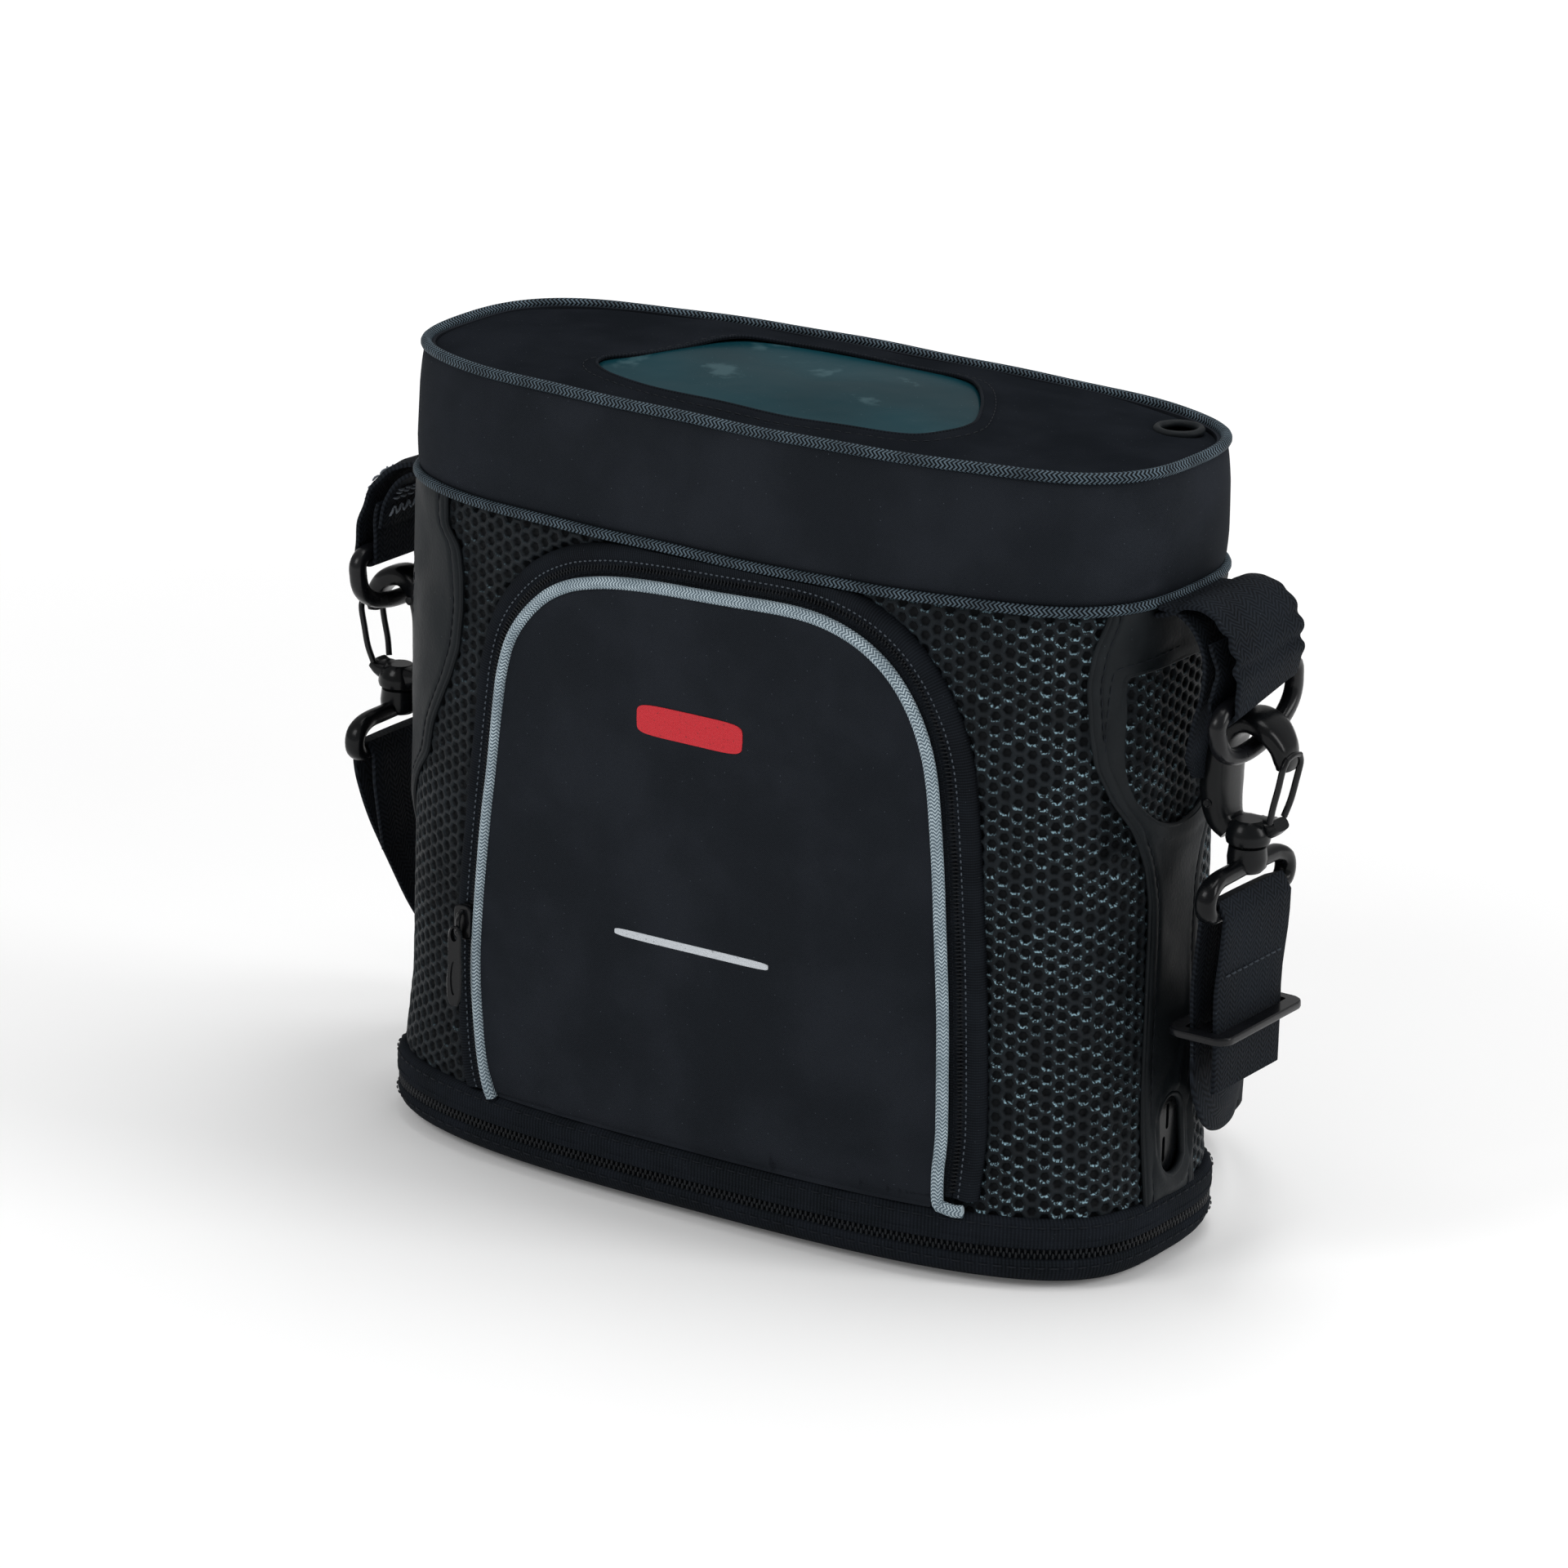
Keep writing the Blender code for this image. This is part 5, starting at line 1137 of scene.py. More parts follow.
for sd, sg, front in (("left", -1, LEFT_FRONT), ("right", 1, RIGHT_FRONT)):
    zs = np.linspace(0.0205, 0.2060, 112)
    yf, yr = -edge_table(front, zs), edge_table(RIGHT_FRONT, zs)
    ua, ub = u_of_y(sg, yf), u_of_y(sg, yr)
    u0, u1 = np.minimum(ua, ub), np.maximum(ua, ub)
    near = np.array([0.0, 0.0004, 0.0010, 0.0018, 0.0026, 0.0031, 0.0036, 0.0042, 0.0052])
    W = (u1 - u0)[:, None]
    q = np.linspace(0, 1, 30)[1:-1]
    cols = np.concatenate([u0[:, None] + near[None], (u0[:, None] + near[-1]) + (W - 2 * near[-1]) * q[None],
                           u1[:, None] - near[::-1][None]], 1)
    e = np.minimum(cols - u0[:, None], u1[:, None] - cols)
    zz = np.repeat(zs[:, None], cols.shape[1], 1)
    h = 0.0012 + 0.0010 * np.sqrt(np.clip(e / 0.0011, 0, 1)) - 0.00042 * np.exp(-((e - 0.0031) / 0.00055) ** 2)
    h = h + waves(cols, zz, 4.1 if sg > 0 else 5.2, 0.00042, (0.05, 0.034, 0.022)) * np.clip(e / 0.006, 0, 1)
    h = h - 0.0006 * bump_at(zz, 0.0205, 0.0016) - 0.0007 * bump_at(zz, 0.2062, 0.0018)
    P0, _ = shell(cols, zz, 0.0)
    if sg > 0:
        h = h + fold_relief(P0[..., 1], P0[..., 2])
    wd = np.sqrt((P0[..., 1] / 0.0285) ** 2 + ((zz - 0.1620) / 0.0262) ** 2)
    h = h + 0.0004 * bump_at(wd, 1.08, 0.10) - 0.0004 * bump_at(wd, 1.19, 0.03)
    Po, _ = shell(cols, zz, h)
    Pi, _ = shell(cols, zz, 0.0006)
    G = np.concatenate([Po, Pi[:, ::-1]], 1)
    UV = np.stack([np.concatenate([cols, cols[:, ::-1]], 1), np.concatenate([zz, zz[:, ::-1]], 1)], -1)
    v_, f_, _u = grid_arrays(G, False, True)
    J_ = G.shape[1]
    f_ += [tuple(range(J_)), tuple((len(zs) - 1) * J_ + j for j in reversed(range(J_)))]
    uvv = UV.reshape(-1, 2)
    tr = make_object("side_panel_" + sd, v_, f_, "vinyl_trim", uvv[[i for q2 in f_ for i in q2]])
    bmx = (0.10, 0.15) if sg > 0 else (-0.15, -0.10)
    win = catmull(WINDOW_YZ, 72, closed=True)
    cuts = [prism([tuple(p) for p in win], "x", *bmx)]
    if sg > 0:
        cuts.append(prism(oval_outline(PORT_R, PORT_Z0, PORT_Z1), "x", *bmx))
    boolean(tr, cuts)
    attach(tr, "bag")
    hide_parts("side_trim_" + sd)
    # turned edge and topstitch round the window
    wf = catmull(WINDOW_YZ, 260, closed=True)
    Pw, Nw = shell(u_of_y(sg, wf[:, 0]), wf[:, 1], 0.0017)
    put("window_hem_" + sd, tube(Pw, 0.00075, 8, True), "vinyl_trim")
    cen = np.array([0.0, 0.163])
    grow = wf + (wf - cen) / np.linalg.norm(wf - cen, axis=1)[:, None] * 0.0040
    Pg, Ng = shell(u_of_y(sg, grow[:, 0]), grow[:, 1], 0.0021)
    put("window_topstitch_" + sd, stitches(np.concatenate([Pg, Pg[:1]]), np.concatenate([Ng, Ng[:1]]), 0.0026, 0.0010, 0.00021), "dark_thread")
    lines = []
    for uu in (u0 + 0.0031, u1 - 0.0031):
        Ps, Ns = shell(uu, zs, 0.0019)
        lines.append(stitches(Ps, Ns, 0.0026, 0.0010, 0.00021))
    put("side_topstitch_" + sd, join(lines), "dark_thread")
    hems = []
    for uu in (u0, u1):
        Ps, Ns = shell(uu, zs, 0.0010)
        hems.append(tube(Ps, 0.00085, 8))
    put("side_hem_" + sd, join(hems), "vinyl_trim")

# port: rolled lip, recessed rubber flap with two upright slots
pts = oval_outline(PORT_R - 0.0003, PORT_Z0 + 0.0003, PORT_Z1 - 0.0003, 16)
pl = catmull(pts[:-1], 110, closed=True)
Pp, Np = shell(u_of_y(1, pl[:, 0]), pl[:, 1], 0.0016)
put("port_lip", tube(Pp, 0.0011, 12, True), "vinyl_trim", replaces=("port_bound_edge",))
inner = oval_outline(PORT_R - 0.0004, PORT_Z0 + 0.0004, PORT_Z1 - 0.0004, 14)
cy0, cz0 = 0.0, 0.5 * (PORT_Z0 + PORT_Z1)
rings = []
for s, dx in ((1.0, 0.0), (0.93, -0.0006), (0.80, -0.0016), (0.62, -0.0019), (0.40, -0.0016), (0.18, -0.0015)):
    rings.append([(0.1300 + dx, y * s, cz0 + (z - cz0) * s) for y, z in inner])
rings.append([(0.1276, y * 0.18, cz0 + (z - cz0) * 0.18) for y, z in inner])
rings.append([(0.1276, y, z) for y, z in inner])
arr = grid_arrays(np.array(rings), False, True, caps=True)
flap = make_object("port_flap", arr[0], arr[1], "black_plastic", arr[2])
boolean(flap, [prism(oval_outline(0.0008, 0.0305, 0.0385, 5, cy=-0.0010), "x", 0.1281, 0.14),
               prism(oval_outline(0.0008, 0.0405, 0.0485, 5, cy=0.0006), "x", 0.1281, 0.14)])
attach(flap, "bag")


def bend_with_flap(ob):
    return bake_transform(ob)


def loose(name, arrays, mat, angle=0.7):
    return make_object(name, arrays[0], arrays[1], mat, arrays[2], angle=angle)


S = len(OUT_S)
tt = np.concatenate([[0.0, 0.004, 0.009, 0.016, 0.024, 0.034], np.linspace(0.05, 1.0, 50)])
frac = np.linspace(0, 1, S)
ease = 0.5 - 0.5 * np.cos(pi * frac)
BX = OUT_S[0, 0] + 0.004 + (OUT_S[-1, 0] - OUT_S[0, 0] - 0.008) * (0.35 * frac + 0.65 * ease)
BZ = np.full(S, 0.0218)
inner_line = beside(OUT_S, -0.0012)
GX = inner_line[:, 0][:, None] * (1 - tt) + BX[:, None] * tt
GZ = inner_line[:, 1][:, None] * (1 - tt) + BZ[:, None] * tt
GX[0, :], GX[-1, :] = inner_line[0, 0] + 0.001 * tt, inner_line[-1, 0] - 0.001 * tt
ED = -pocket_distance(GX.ravel(), GZ.ravel()).reshape(GX.shape)
ED = np.clip(ED, 0.0, None)
crown = 0.0017 * (1 - np.exp(-ED / 0.013)) * np.clip((GZ - 0.0212) / 0.020, 0, 1) ** 0.7
drape = (0.00042 * np.sin(GX * 41 + GZ * 17 + 0.7) * np.sin(GZ * 33 + 1.1) + 0.00024 * np.sin(GX * 88 - GZ * 61 + 2.0)
         + 0.00030 * bump_at(GX, -0.030, 0.016) * bump_at(GZ, 0.045, 0.020)
         - 0.00035 * bump_at(GX + 0.3 * GZ, 0.055, 0.006) * bump_at(GZ, 0.060, 0.030)) * np.clip(ED / 0.014, 0, 1)
pull = 0.00036 * np.sin(GX * 210) * np.exp(-(GZ - 0.0222) / 0.006) * np.clip(ED / 0.010, 0, 1)
GH = 0.0026 + 0.0006 * np.clip(ED / 0.0016, 0, 1) + crown + drape + pull
GH = GH - 0.0030 * np.exp(-(GZ - 0.0215) / 0.0022)
face = on_front(GX, GZ, GH)
back = on_front(GX, GZ, np.maximum(GH - 0.0016, 0.0010))
GG = np.concatenate([face, back[:, ::-1]], 1)
UVG = np.stack([np.concatenate([GX, GX[:, ::-1]], 1), np.concatenate([GZ, GZ[:, ::-1]], 1)], -1)
UVG = np.concatenate([UVG, UVG[:, :1]], 1)
v_, f_, u_ = grid_arrays(GG, False, True, UV=UVG, flip=False)
nJ = GG.shape[1]
f_ += [tuple(range(nJ))[::-1], tuple((S - 1) * nJ + j for j in range(nJ))]
u_ = np.concatenate([u_, np.zeros((2 * nJ, 2))])
panel = make_object("pocket_face", v_, f_, "smooth_fabric", u_, angle=1.2)
bend_with_flap(panel)
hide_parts("pocket_panel")

# silver piping, with the little tail it leaves at the lower right
pp = on_front(OUT_S[:, 0], OUT_S[:, 1], 0.0032)
tail_l = on_front(np.array([OUT_S[0, 0] + 0.0002]), np.array([0.0216]), 0.0020)
tail_r = on_front(np.array([OUT_S[-1, 0] + 0.0006, OUT_S[-1, 0] + 0.0026, OUT_S[-1, 0] + 0.0056, OUT_S[-1, 0] + 0.0082]),
                  np.array([0.0240, 0.0228, 0.0222, 0.0224]), 0.0022)
line = catmull(np.concatenate([tail_l, pp[2:-2:6], tail_r]), 520)
wob = 0.00016 * np.sin(np.linspace(0, 60, len(line)))
line[:, 1] += wob
silver = loose("pocket_piping_cord", tube(line, 0.0019, 16, start=(0, -1, 0)), "silver_piping", 1.2)
bend_with_flap(silver)
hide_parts("pocket_piping")
flange = [on_front(*beside(OUT_S, d).T, h) for d, h in ((0.0010, 0.0016), (0.0020, 0.0015), (0.0026, 0.0011), (0.0026, 0.0004),
                                                        (0.0010, 0.0004))]
fl_ob = loose("pocket_piping_flange", grid_arrays(np.stack(flange, 1), False, True, caps=True, flip=True), "zip_tape")
bend_with_flap(fl_ob)

# printed bars on the pocket
def patch(name, x0, z0, x1, z1, mat, r=0.0022, lift=0.00022, n=40):
    """Rounded printed bar lying on the pocket's face."""
    hw, hh = (x1 - x0) / 2, (z1 - z0) / 2
    cx, cz = (x0 + x1) / 2, (z0 + z1) / 2
    base = interp_face()
    rings = []
    for s, up_ in ((1.0, -0.0003), (1.0, lift), (0.94, lift + 0.00004), (0.6, lift + 0.00004), (0.2, lift + 0.00004)):
        ring = []
        for k in range(n):
            a = 2 * pi * k / n
            px = math.copysign(abs(cos(a)) ** 0.35, cos(a)) * hw * s
            pz = math.copysign(abs(sin(a)) ** 0.35, sin(a)) * hh * s
            x, z = cx + px, cz + pz
            ring.append((x, z, base(x, z) + up_))
        rings.append(ring)
    R3 = np.array(rings)
    P = on_front(R3[..., 0], R3[..., 1], R3[..., 2])
    arr = grid_arrays(P, False, True, caps=True, flip=True)
    loops = np.array([i for f in arr[1] for i in f])
    ob = make_object(name, arr[0], arr[1], mat, R3.reshape(-1, 3)[loops][:, :2], angle=1.2)
    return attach(ob, "pocket_flap")


def interp_face():
    gx, gz, gh = GX.ravel(), GZ.ravel(), GH.ravel()

    def at(x, z):
        i = int(np.argmin((gx - x) ** 2 + (gz - z) ** 2))
        return float(gh[i])
    return at


patch("printed_bar_red", -0.0205, 0.1497, 0.0172, 0.1592, "red_print")
patch("printed_bar_pale", -0.0270, 0.0852, 0.0280, 0.0876, "white_print")

# zip: tape in two halves, two rows of teeth, a dotted line of stitching beside them
def zip_band(rows_, inner=0.0004):
    cols = []
    for d, h in rows_:
        L = beside(OUT_S, d)
        cols.append(on_front(L[:, 0], np.clip(L[:, 1], 0.0225, 0.2052), h + 0.00014 * np.sin(np.linspace(0, 95, S))))
    for d, h in (rows_[-1], rows_[0]):
        L = beside(OUT_S, d)
        cols.append(on_front(L[:, 0], np.clip(L[:, 1], 0.0225, 0.2052), inner))
    return grid_arrays(np.stack(cols, 1), False, True, caps=True, flip=True)


tape_in = loose("zip_tape_inner", zip_band(((0.0018, 0.0012), (0.0024, 0.0014), (0.0030, 0.0014), (0.0036, 0.0012), (0.0041, 0.0009))), "zip_tape")
bend_with_flap(tape_in)
put("zip_tape_outer", zip_band(((0.0043, 0.0009), (0.0048, 0.0012), (0.0054, 0.0014), (0.0062, 0.0016), (0.0070, 0.0021),
                                (0.0080, 0.0024), (0.0092, 0.0024), (0.0102, 0.0020), (0.0109, 0.0012), (0.0113, 0.0002)), -0.0012),
    "zip_tape", replaces=("pocket_zip_tape",))


def at_offset(d, h, zmax=0.2050):
    L = beside(OUT_S, d)
    z = np.clip(L[:, 1], 0.0228, zmax)
    P = on_front(L[:, 0], z, h)
    _, n = shell(u_of_x(P[:, 0]), z, 0.0)
    return P, n


def teeth(d0, d1, pitch, phase, r, h, width=0.75):
    """Teeth of a coil zip: short bars across the line."""
    A, n = at_offset(d0, h)
    B, _ = at_offset(d1, h)
    s = np.concatenate([[0], np.cumsum(np.linalg.norm(np.diff((A + B) / 2, axis=0), axis=1))])
    at = np.arange(phase, s[-1] - pitch, pitch)
    out = []
    a = np.linspace(0, 2 * pi, 6, endpoint=False)
    for q in at:
        pa, pb, o = (np.array([np.interp(q, s, M_[:, c]) for c in range(3)]) for M_ in (A, B, n))
        d = (pb - pa) / np.linalg.norm(pb - pa)
        side = np.cross(d, o)
        side /= np.linalg.norm(side)
        rings = []
        for f, k, up_ in ((0.0, 0.55, -0.2), (0.15, 1.0, 0.1), (0.6, 1.0, 0.4), (0.88, 0.95, 0.3), (1.0, 0.5, -0.2)):
            c = pa + (pb - pa) * f + o * (r * up_)
            rings.append([c + side * (cos(t) * r * width * k) + o * (sin(t) * r * k) for t in a])
        out.append(grid_arrays(np.array(rings), False, True, caps=True))
    return join(out)


t_in = loose("zip_teeth_inner", teeth(0.0030, 0.0045, 0.0012, 0.0020, 0.00034, 0.0012), "zip_coil", 1.2)
bend_with_flap(t_in)
put("zip_teeth_outer", teeth(0.0054, 0.0040, 0.0012, 0.0026, 0.00034, 0.0012), "zip_coil", replaces=("pocket_zip_coil",),
    angle=1.2)
Pq, nq = at_offset(0.0064, 0.0018)
put("zip_topstitch", stitches(Pq, nq, 0.0010, 0.0009, 0.00026), "dot_thread")
Pq, nq = at_offset(0.0026, 0.0016)
st2 = loose("zip_inner_stitch", stitches(Pq, nq, 0.0012, 0.0010, 0.00016), "dark_thread")
bend_with_flap(st2)

SL_Z, SL_X = 0.0750, POCKET_X - 0.0838 - 0.0058
SL_Y = float(front_y(SL_X, SL_Z)) - 0.0044
PULL_Y = SL_Y - 0.0049
sl = join([plate(SL_X, SL_Z, 0.0062, 0.0110, 0.0022, 0.0016, 0.0004, "y", SL_Y, -1.0),
           plate(SL_X, SL_Z, 0.0056, 0.0104, 0.0020, 0.0018, 0.0004, "y", SL_Y + 0.0026, -1.0),
           plate(SL_X, SL_Z + 0.0034, 0.0022, 0.0022, 0.0008, 0.0030, 0.0002, "y", SL_Y + 0.0026, -1.0),
           tube([(SL_X, SL_Y - 0.0012, SL_Z + 0.0036), (SL_X, SL_Y - 0.0030, SL_Z + 0.0030), (SL_X, SL_Y - 0.0038, SL_Z + 0.0008),
                 (SL_X, SL_Y - 0.0036, SL_Z - 0.0020), (SL_X, SL_Y - 0.0022, SL_Z - 0.0038), (SL_X, SL_Y - 0.0010, SL_Z - 0.0040)],
                0.0008, 10, start=(1, 0, 0))])
put("pocket_slider_body", sl, "black_metal", "pocket_slider", ("pocket_zip_slider",))


def pull_tab(cx, cz, axis, base, sign):
    """Zip pull: a flat tab with eased faces; the eye at the top and the recessed grip below are cut out afterwards."""
    parts_ = []
    n = 44
    rings = []
    prof = ((0.0, -0.0002), (0.0, 0.0), (0.00018, 0.0001), (0.0007, 0.00018))
    outline = []
    for k in range(n):
        a = 2 * pi * k / n
        u_, w_ = cos(a), sin(a)
        z_ = cz + 0.0128 * math.copysign(abs(w_) ** 0.55, w_)
        hw = 0.0029 - 0.0007 * (1 - abs((z_ - cz) / 0.013)) * (1 if z_ > cz else 0.2)
        outline.append((cx + hw * math.copysign(abs(u_) ** 0.6, u_), z_))
    for inset, d in ((0.0004, -0.0008), (0.0, -0.0004), (0.0, 0.0004), (0.0004, 0.0008)):
        ring = []
        for u_, z_ in outline:
            k = 1 - inset / 0.0029
            uu_, zz_ = cx + (u_ - cx) * k, cz + (z_ - cz) * (1 - inset / 0.0128)
            ring.append((uu_, base + d, zz_) if axis == "y" else (base + d, uu_, zz_))
        rings.append(ring)
    return grid_arrays(np.array(rings), False, True, caps=True)


pt_ = pull_tab(SL_X, SL_Z - 0.0132, "y", PULL_Y, -1)
pull_ob = put("pocket_pull_tab", pt_, "black_metal", "pocket_pull", ("pocket_zip_pull",))
boolean(pull_ob, [prism([(SL_X + 0.0013 * cos(a), SL_Z - 0.0030 + 0.0022 * sin(a)) for a in np.linspace(0, 2 * pi, 17)[:-1]], "y", PULL_Y - 0.01, PULL_Y + 0.01),
                  prism([(SL_X + 0.0012 * cos(a), SL_Z - 0.0170 + 0.0055 * sin(a)) for a in np.linspace(0, 2 * pi, 17)[:-1]], "y", PULL_Y - 0.01, PULL_Y - 0.0004)])
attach(pull_ob, "pocket_pull")

# ------------------------------------------------------------------ base
def foot_ring(a, b, z, uu):
    x, y = foot(uu)
    return np.column_stack([a * x, b * y, np.full(len(uu), z) if np.isscalar(z) else z])


UB = np.linspace(0, ROUND, 520, endpoint=False)


def band_loft(rows_, uv_scale=1.0):
    G = np.stack([foot_ring(a, b, z, UB) for z, a, b in rows_], 1)
    return grid_arrays(G, True, True, np.append(UB, ROUND))


A_, B_ = BIND_A, BIND_B
puck = 0.00022 * np.sin(2 * pi * 34 * UB / ROUND) * (0.6 + 0.4 * np.sin(2 * pi * 7 * UB / ROUND + 1))
put("base_binding_tape", band_loft(((0.0126, A_ - 0.0022, B_ - 0.0022), (0.0125, A_ - 0.0010, B_ - 0.0010), (0.0128, A_ - 0.0003, B_ - 0.0003),
                                    (0.0136, A_ + 0.0001, B_ + 0.0001), (0.0150, A_ + 0.0002, B_ + 0.0001), (0.0152 + puck, A_ + 0.0000, B_ - 0.0001),
                                    (0.0170, A_ + 0.0002, B_ + 0.0001), (0.0188 + puck, A_ + 0.0001, B_ - 0.0001),
                                    (0.0203 + puck, A_ - 0.0003, B_ - 0.0006), (0.0212 + puck, A_ - 0.0010, B_ - 0.0014),
                                    (0.0216 + puck, A_ - 0.0020, B_ - 0.0026), (0.0213, A_ - 0.0032, B_ - 0.0040),
                                    (0.0206, A_ - 0.0042, B_ - 0.0052), (0.0200, A_ - 0.0075, B_ - 0.0078),
                                    (0.0130, A_ - 0.0075, B_ - 0.0078))), "binding_tape", replaces=("base_binding",))
bst = foot_ring(A_ + 0.0001, B_ - 0.0001, 0.0196, np.append(UB, ROUND))
bn = np.column_stack([*foot(np.append(UB, ROUND)), np.zeros(len(UB) + 1)])
bn = np.column_stack([bn[:, 0] * 0.43, bn[:, 1], bn[:, 2]])
bn /= np.linalg.norm(bn, axis=1)[:, None]
put("base_binding_stitch", stitches(bst, bn, 0.0030, 0.0012, 0.00024), "dark_thread")


def ring_teeth(zc, half, pitch, phase, r, off):
    """One row of teeth standing round the base."""
    n_ = int(ROUND * 1.037 / pitch)
    out = []
    a = np.linspace(0, 2 * pi, 6, endpoint=False)
    us = (np.arange(n_) + phase) * ROUND / n_
    P = foot_ring(A_ + off, B_ + off, zc, us)
    Q = foot_ring(A_ + off, B_ + off, zc, us + 1e-4)
    for p, q in zip(P, Q):
        t = (q - p) / np.linalg.norm(q - p)
        o = np.array([t[1], -t[0], 0.0])
        if o @ np.array([p[0], p[1], 0]) < 0:
            o = -o
        rings = []
        for f, k in ((-1.0, 0.5), (-0.7, 0.95), (0.0, 1.0), (0.7, 0.95), (1.0, 0.5)):
            c = p + np.array([0, 0, f * half])
            rings.append([c + t * (cos(s) * r * 0.72 * k) + o * (sin(s) * r * k) for s in a])
        out.append(grid_arrays(np.array(rings), False, True, caps=True))
    return join(out)


put("base_teeth_upper", ring_teeth(0.01185, 0.00095, 0.0018, 0.0, 0.00066, -0.0008), "zip_coil", "bag", ("base_zip_coil",), 1.2)
put("base_teeth_lower", ring_teeth(0.01050, 0.00095, 0.0018, 0.5, 0.00066, -0.0008), "zip_coil", "base", angle=1.2)
put("base_tape_upper", band_loft(((0.0113, A_ - 0.0014, B_ - 0.0014), (0.0130, A_ - 0.0014, B_ - 0.0014), (0.0130, A_ - 0.0070, B_ - 0.0070), (0.0113, A_ - 0.0070, B_ - 0.0070))),
    "zip_tape")
put("base_tape_lower", band_loft(((0.0099, A_ - 0.0014, B_ - 0.0014), (0.0110, A_ - 0.0014, B_ - 0.0014), (0.0110, A_ - 0.0045, B_ - 0.0045), (0.0099, A_ - 0.0045, B_ - 0.0045))),
    "zip_tape", "base")
rowsb = ((0.0030, 0.0, 0.0), (0.0030, 0.060, 0.025), (0.0030, 0.1225, 0.0500), (0.0034, 0.1240, 0.0520), (0.0092, 0.1256, 0.0538), (0.0098, 0.1262, 0.0545),
         (0.0099, 0.1312, 0.0596), (0.0097, 0.1324, 0.0608), (0.0089, 0.1331, 0.0615), (0.0075, 0.1334, 0.0618),
         (0.0058, 0.1331, 0.0612), (0.0040, 0.1324, 0.0602), (0.0026, 0.1315, 0.0586), (0.0014, 0.1303, 0.0566), (0.0006, 0.1290, 0.0545),
         (0.0001, 0.1270, 0.0520), (0.0000, 0.1225, 0.0480), (0.0007, 0.1205, 0.0460), (0.0007, 0.060, 0.023), (0.0007, 0.0, 0.0))
rows_ = [r for r in rowsb if r[1] > 0]
Gb = np.stack([foot_ring(a, b, z, UB) for z, a, b in rows_], 1)
Ub = np.append(UB, ROUND)
v_, f_, u_ = grid_arrays(Gb, True, False, Ub, np.concatenate([[0], np.cumsum(np.linalg.norm(np.diff(Gb[0], axis=0), axis=1))]))
nJ = Gb.shape[1]
f_ += [tuple(i * nJ for i in range(len(UB))), tuple(i * nJ + nJ - 1 for i in reversed(range(len(UB))))]
u_ = np.concatenate([u_, Gb[:, 0, :2], Gb[::-1, -1, :2]])
put("base_pan", (v_, f_, u_), "binding_tape", "base", ("base_panel",))
bst = foot_ring(0.1335, 0.0619, 0.0070, np.append(UB, ROUND))
put("base_pan_stitch", stitches(bst, bn, 0.0030, 0.0012, 0.00024), "dark_thread", "base")

BS_X, BS_Y = -(BIND_A + 0.0016), 0.0100
sb = join([plate(BS_Y, COIL_Z, 0.0110, 0.0076, 0.0022, 0.0016, 0.0004, "x", BS_X, -1.0),
           plate(BS_Y, COIL_Z, 0.0104, 0.0066, 0.0020, 0.0014, 0.0003, "x", BS_X + 0.0016, -1.0),
           tube([(BS_X - 0.0012, BS_Y - 0.0034, COIL_Z), (BS_X - 0.0030, BS_Y - 0.0030, COIL_Z), (BS_X - 0.0038, BS_Y - 0.0004, COIL_Z),
                 (BS_X - 0.0036, BS_Y + 0.0022, COIL_Z), (BS_X - 0.0012, BS_Y + 0.0038, COIL_Z)], 0.0008, 10, start=(0, 0, 1))])
put("base_slider_body", sb, "black_metal", "base_slider", ("base_zip_slider",))
pl_ = plate(BS_Y + 0.0132, COIL_Z, 0.0260, 0.0060, 0.0028, 0.0014, 0.0004, "x", BS_X - 0.0042, -1.0)
bp = put("base_pull_tab", pl_, "black_metal", "base_pull", ("base_zip_pull",))
boolean(bp, [prism([(BS_Y + 0.0030 + 0.0022 * cos(a), COIL_Z + 0.0013 * sin(a)) for a in np.linspace(0, 2 * pi, 17)[:-1]], "x", BS_X - 0.02, BS_X + 0.01)])
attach(bp, "base_pull")

# ------------------------------------------------------------------ tabs, rings, hooks
def mirror(arr, sg):
    """Reflect in x for the left side, keeping faces outward."""
    if sg > 0:
        return arr
    v, f, u_ = arr
    v = np.array(v, float)
    v[:, 0] *= -1
    starts = np.cumsum([0] + [len(q) for q in f])
    order = np.concatenate([np.arange(a, b)[::-1] for a, b in zip(starts[:-1], starts[1:])])
    return v, [tuple(reversed(q)) for q in f], np.asarray(u_)[order]


def bar(pts, start, ra, rb, sides=14, power=2.0, closed=False):
    """Rod whose half-sizes along two directions change along it; power above 2 squares it off."""
    P = np.asarray(pts, float)
    n = len(P)
    _, N, B = frames(P, closed, start)
    ra = np.broadcast_to(np.asarray(ra, float), (n,)) if not np.isscalar(ra) else np.full(n, ra)
    rb = np.broadcast_to(np.asarray(rb, float), (n,)) if not np.isscalar(rb) else np.full(n, rb)
    a = np.linspace(0, 2 * pi, sides, endpoint=False)
    ca, sa = np.cos(a), np.sin(a)
    ca, sa = np.sign(ca) * np.abs(ca) ** (2 / power), np.sign(sa) * np.abs(sa) ** (2 / power)
    G = P[:, None] + N[:, None] * (ra[:, None] * ca)[:, :, None] + B[:, None] * (rb[:, None] * sa)[:, :, None]
    return grid_arrays(G, closed, True, caps=not closed)


def tilt(pts, ang, cy, cz):
    """Turn about the fore-and-aft centre of a hanging piece."""
    P = np.array(pts, float)
    y, z = P[:, 1] - cy, P[:, 2] - cz
    P[:, 1], P[:, 2] = cy + y * cos(ang) - z * sin(ang), cz + y * sin(ang) + z * cos(ang)
    return P


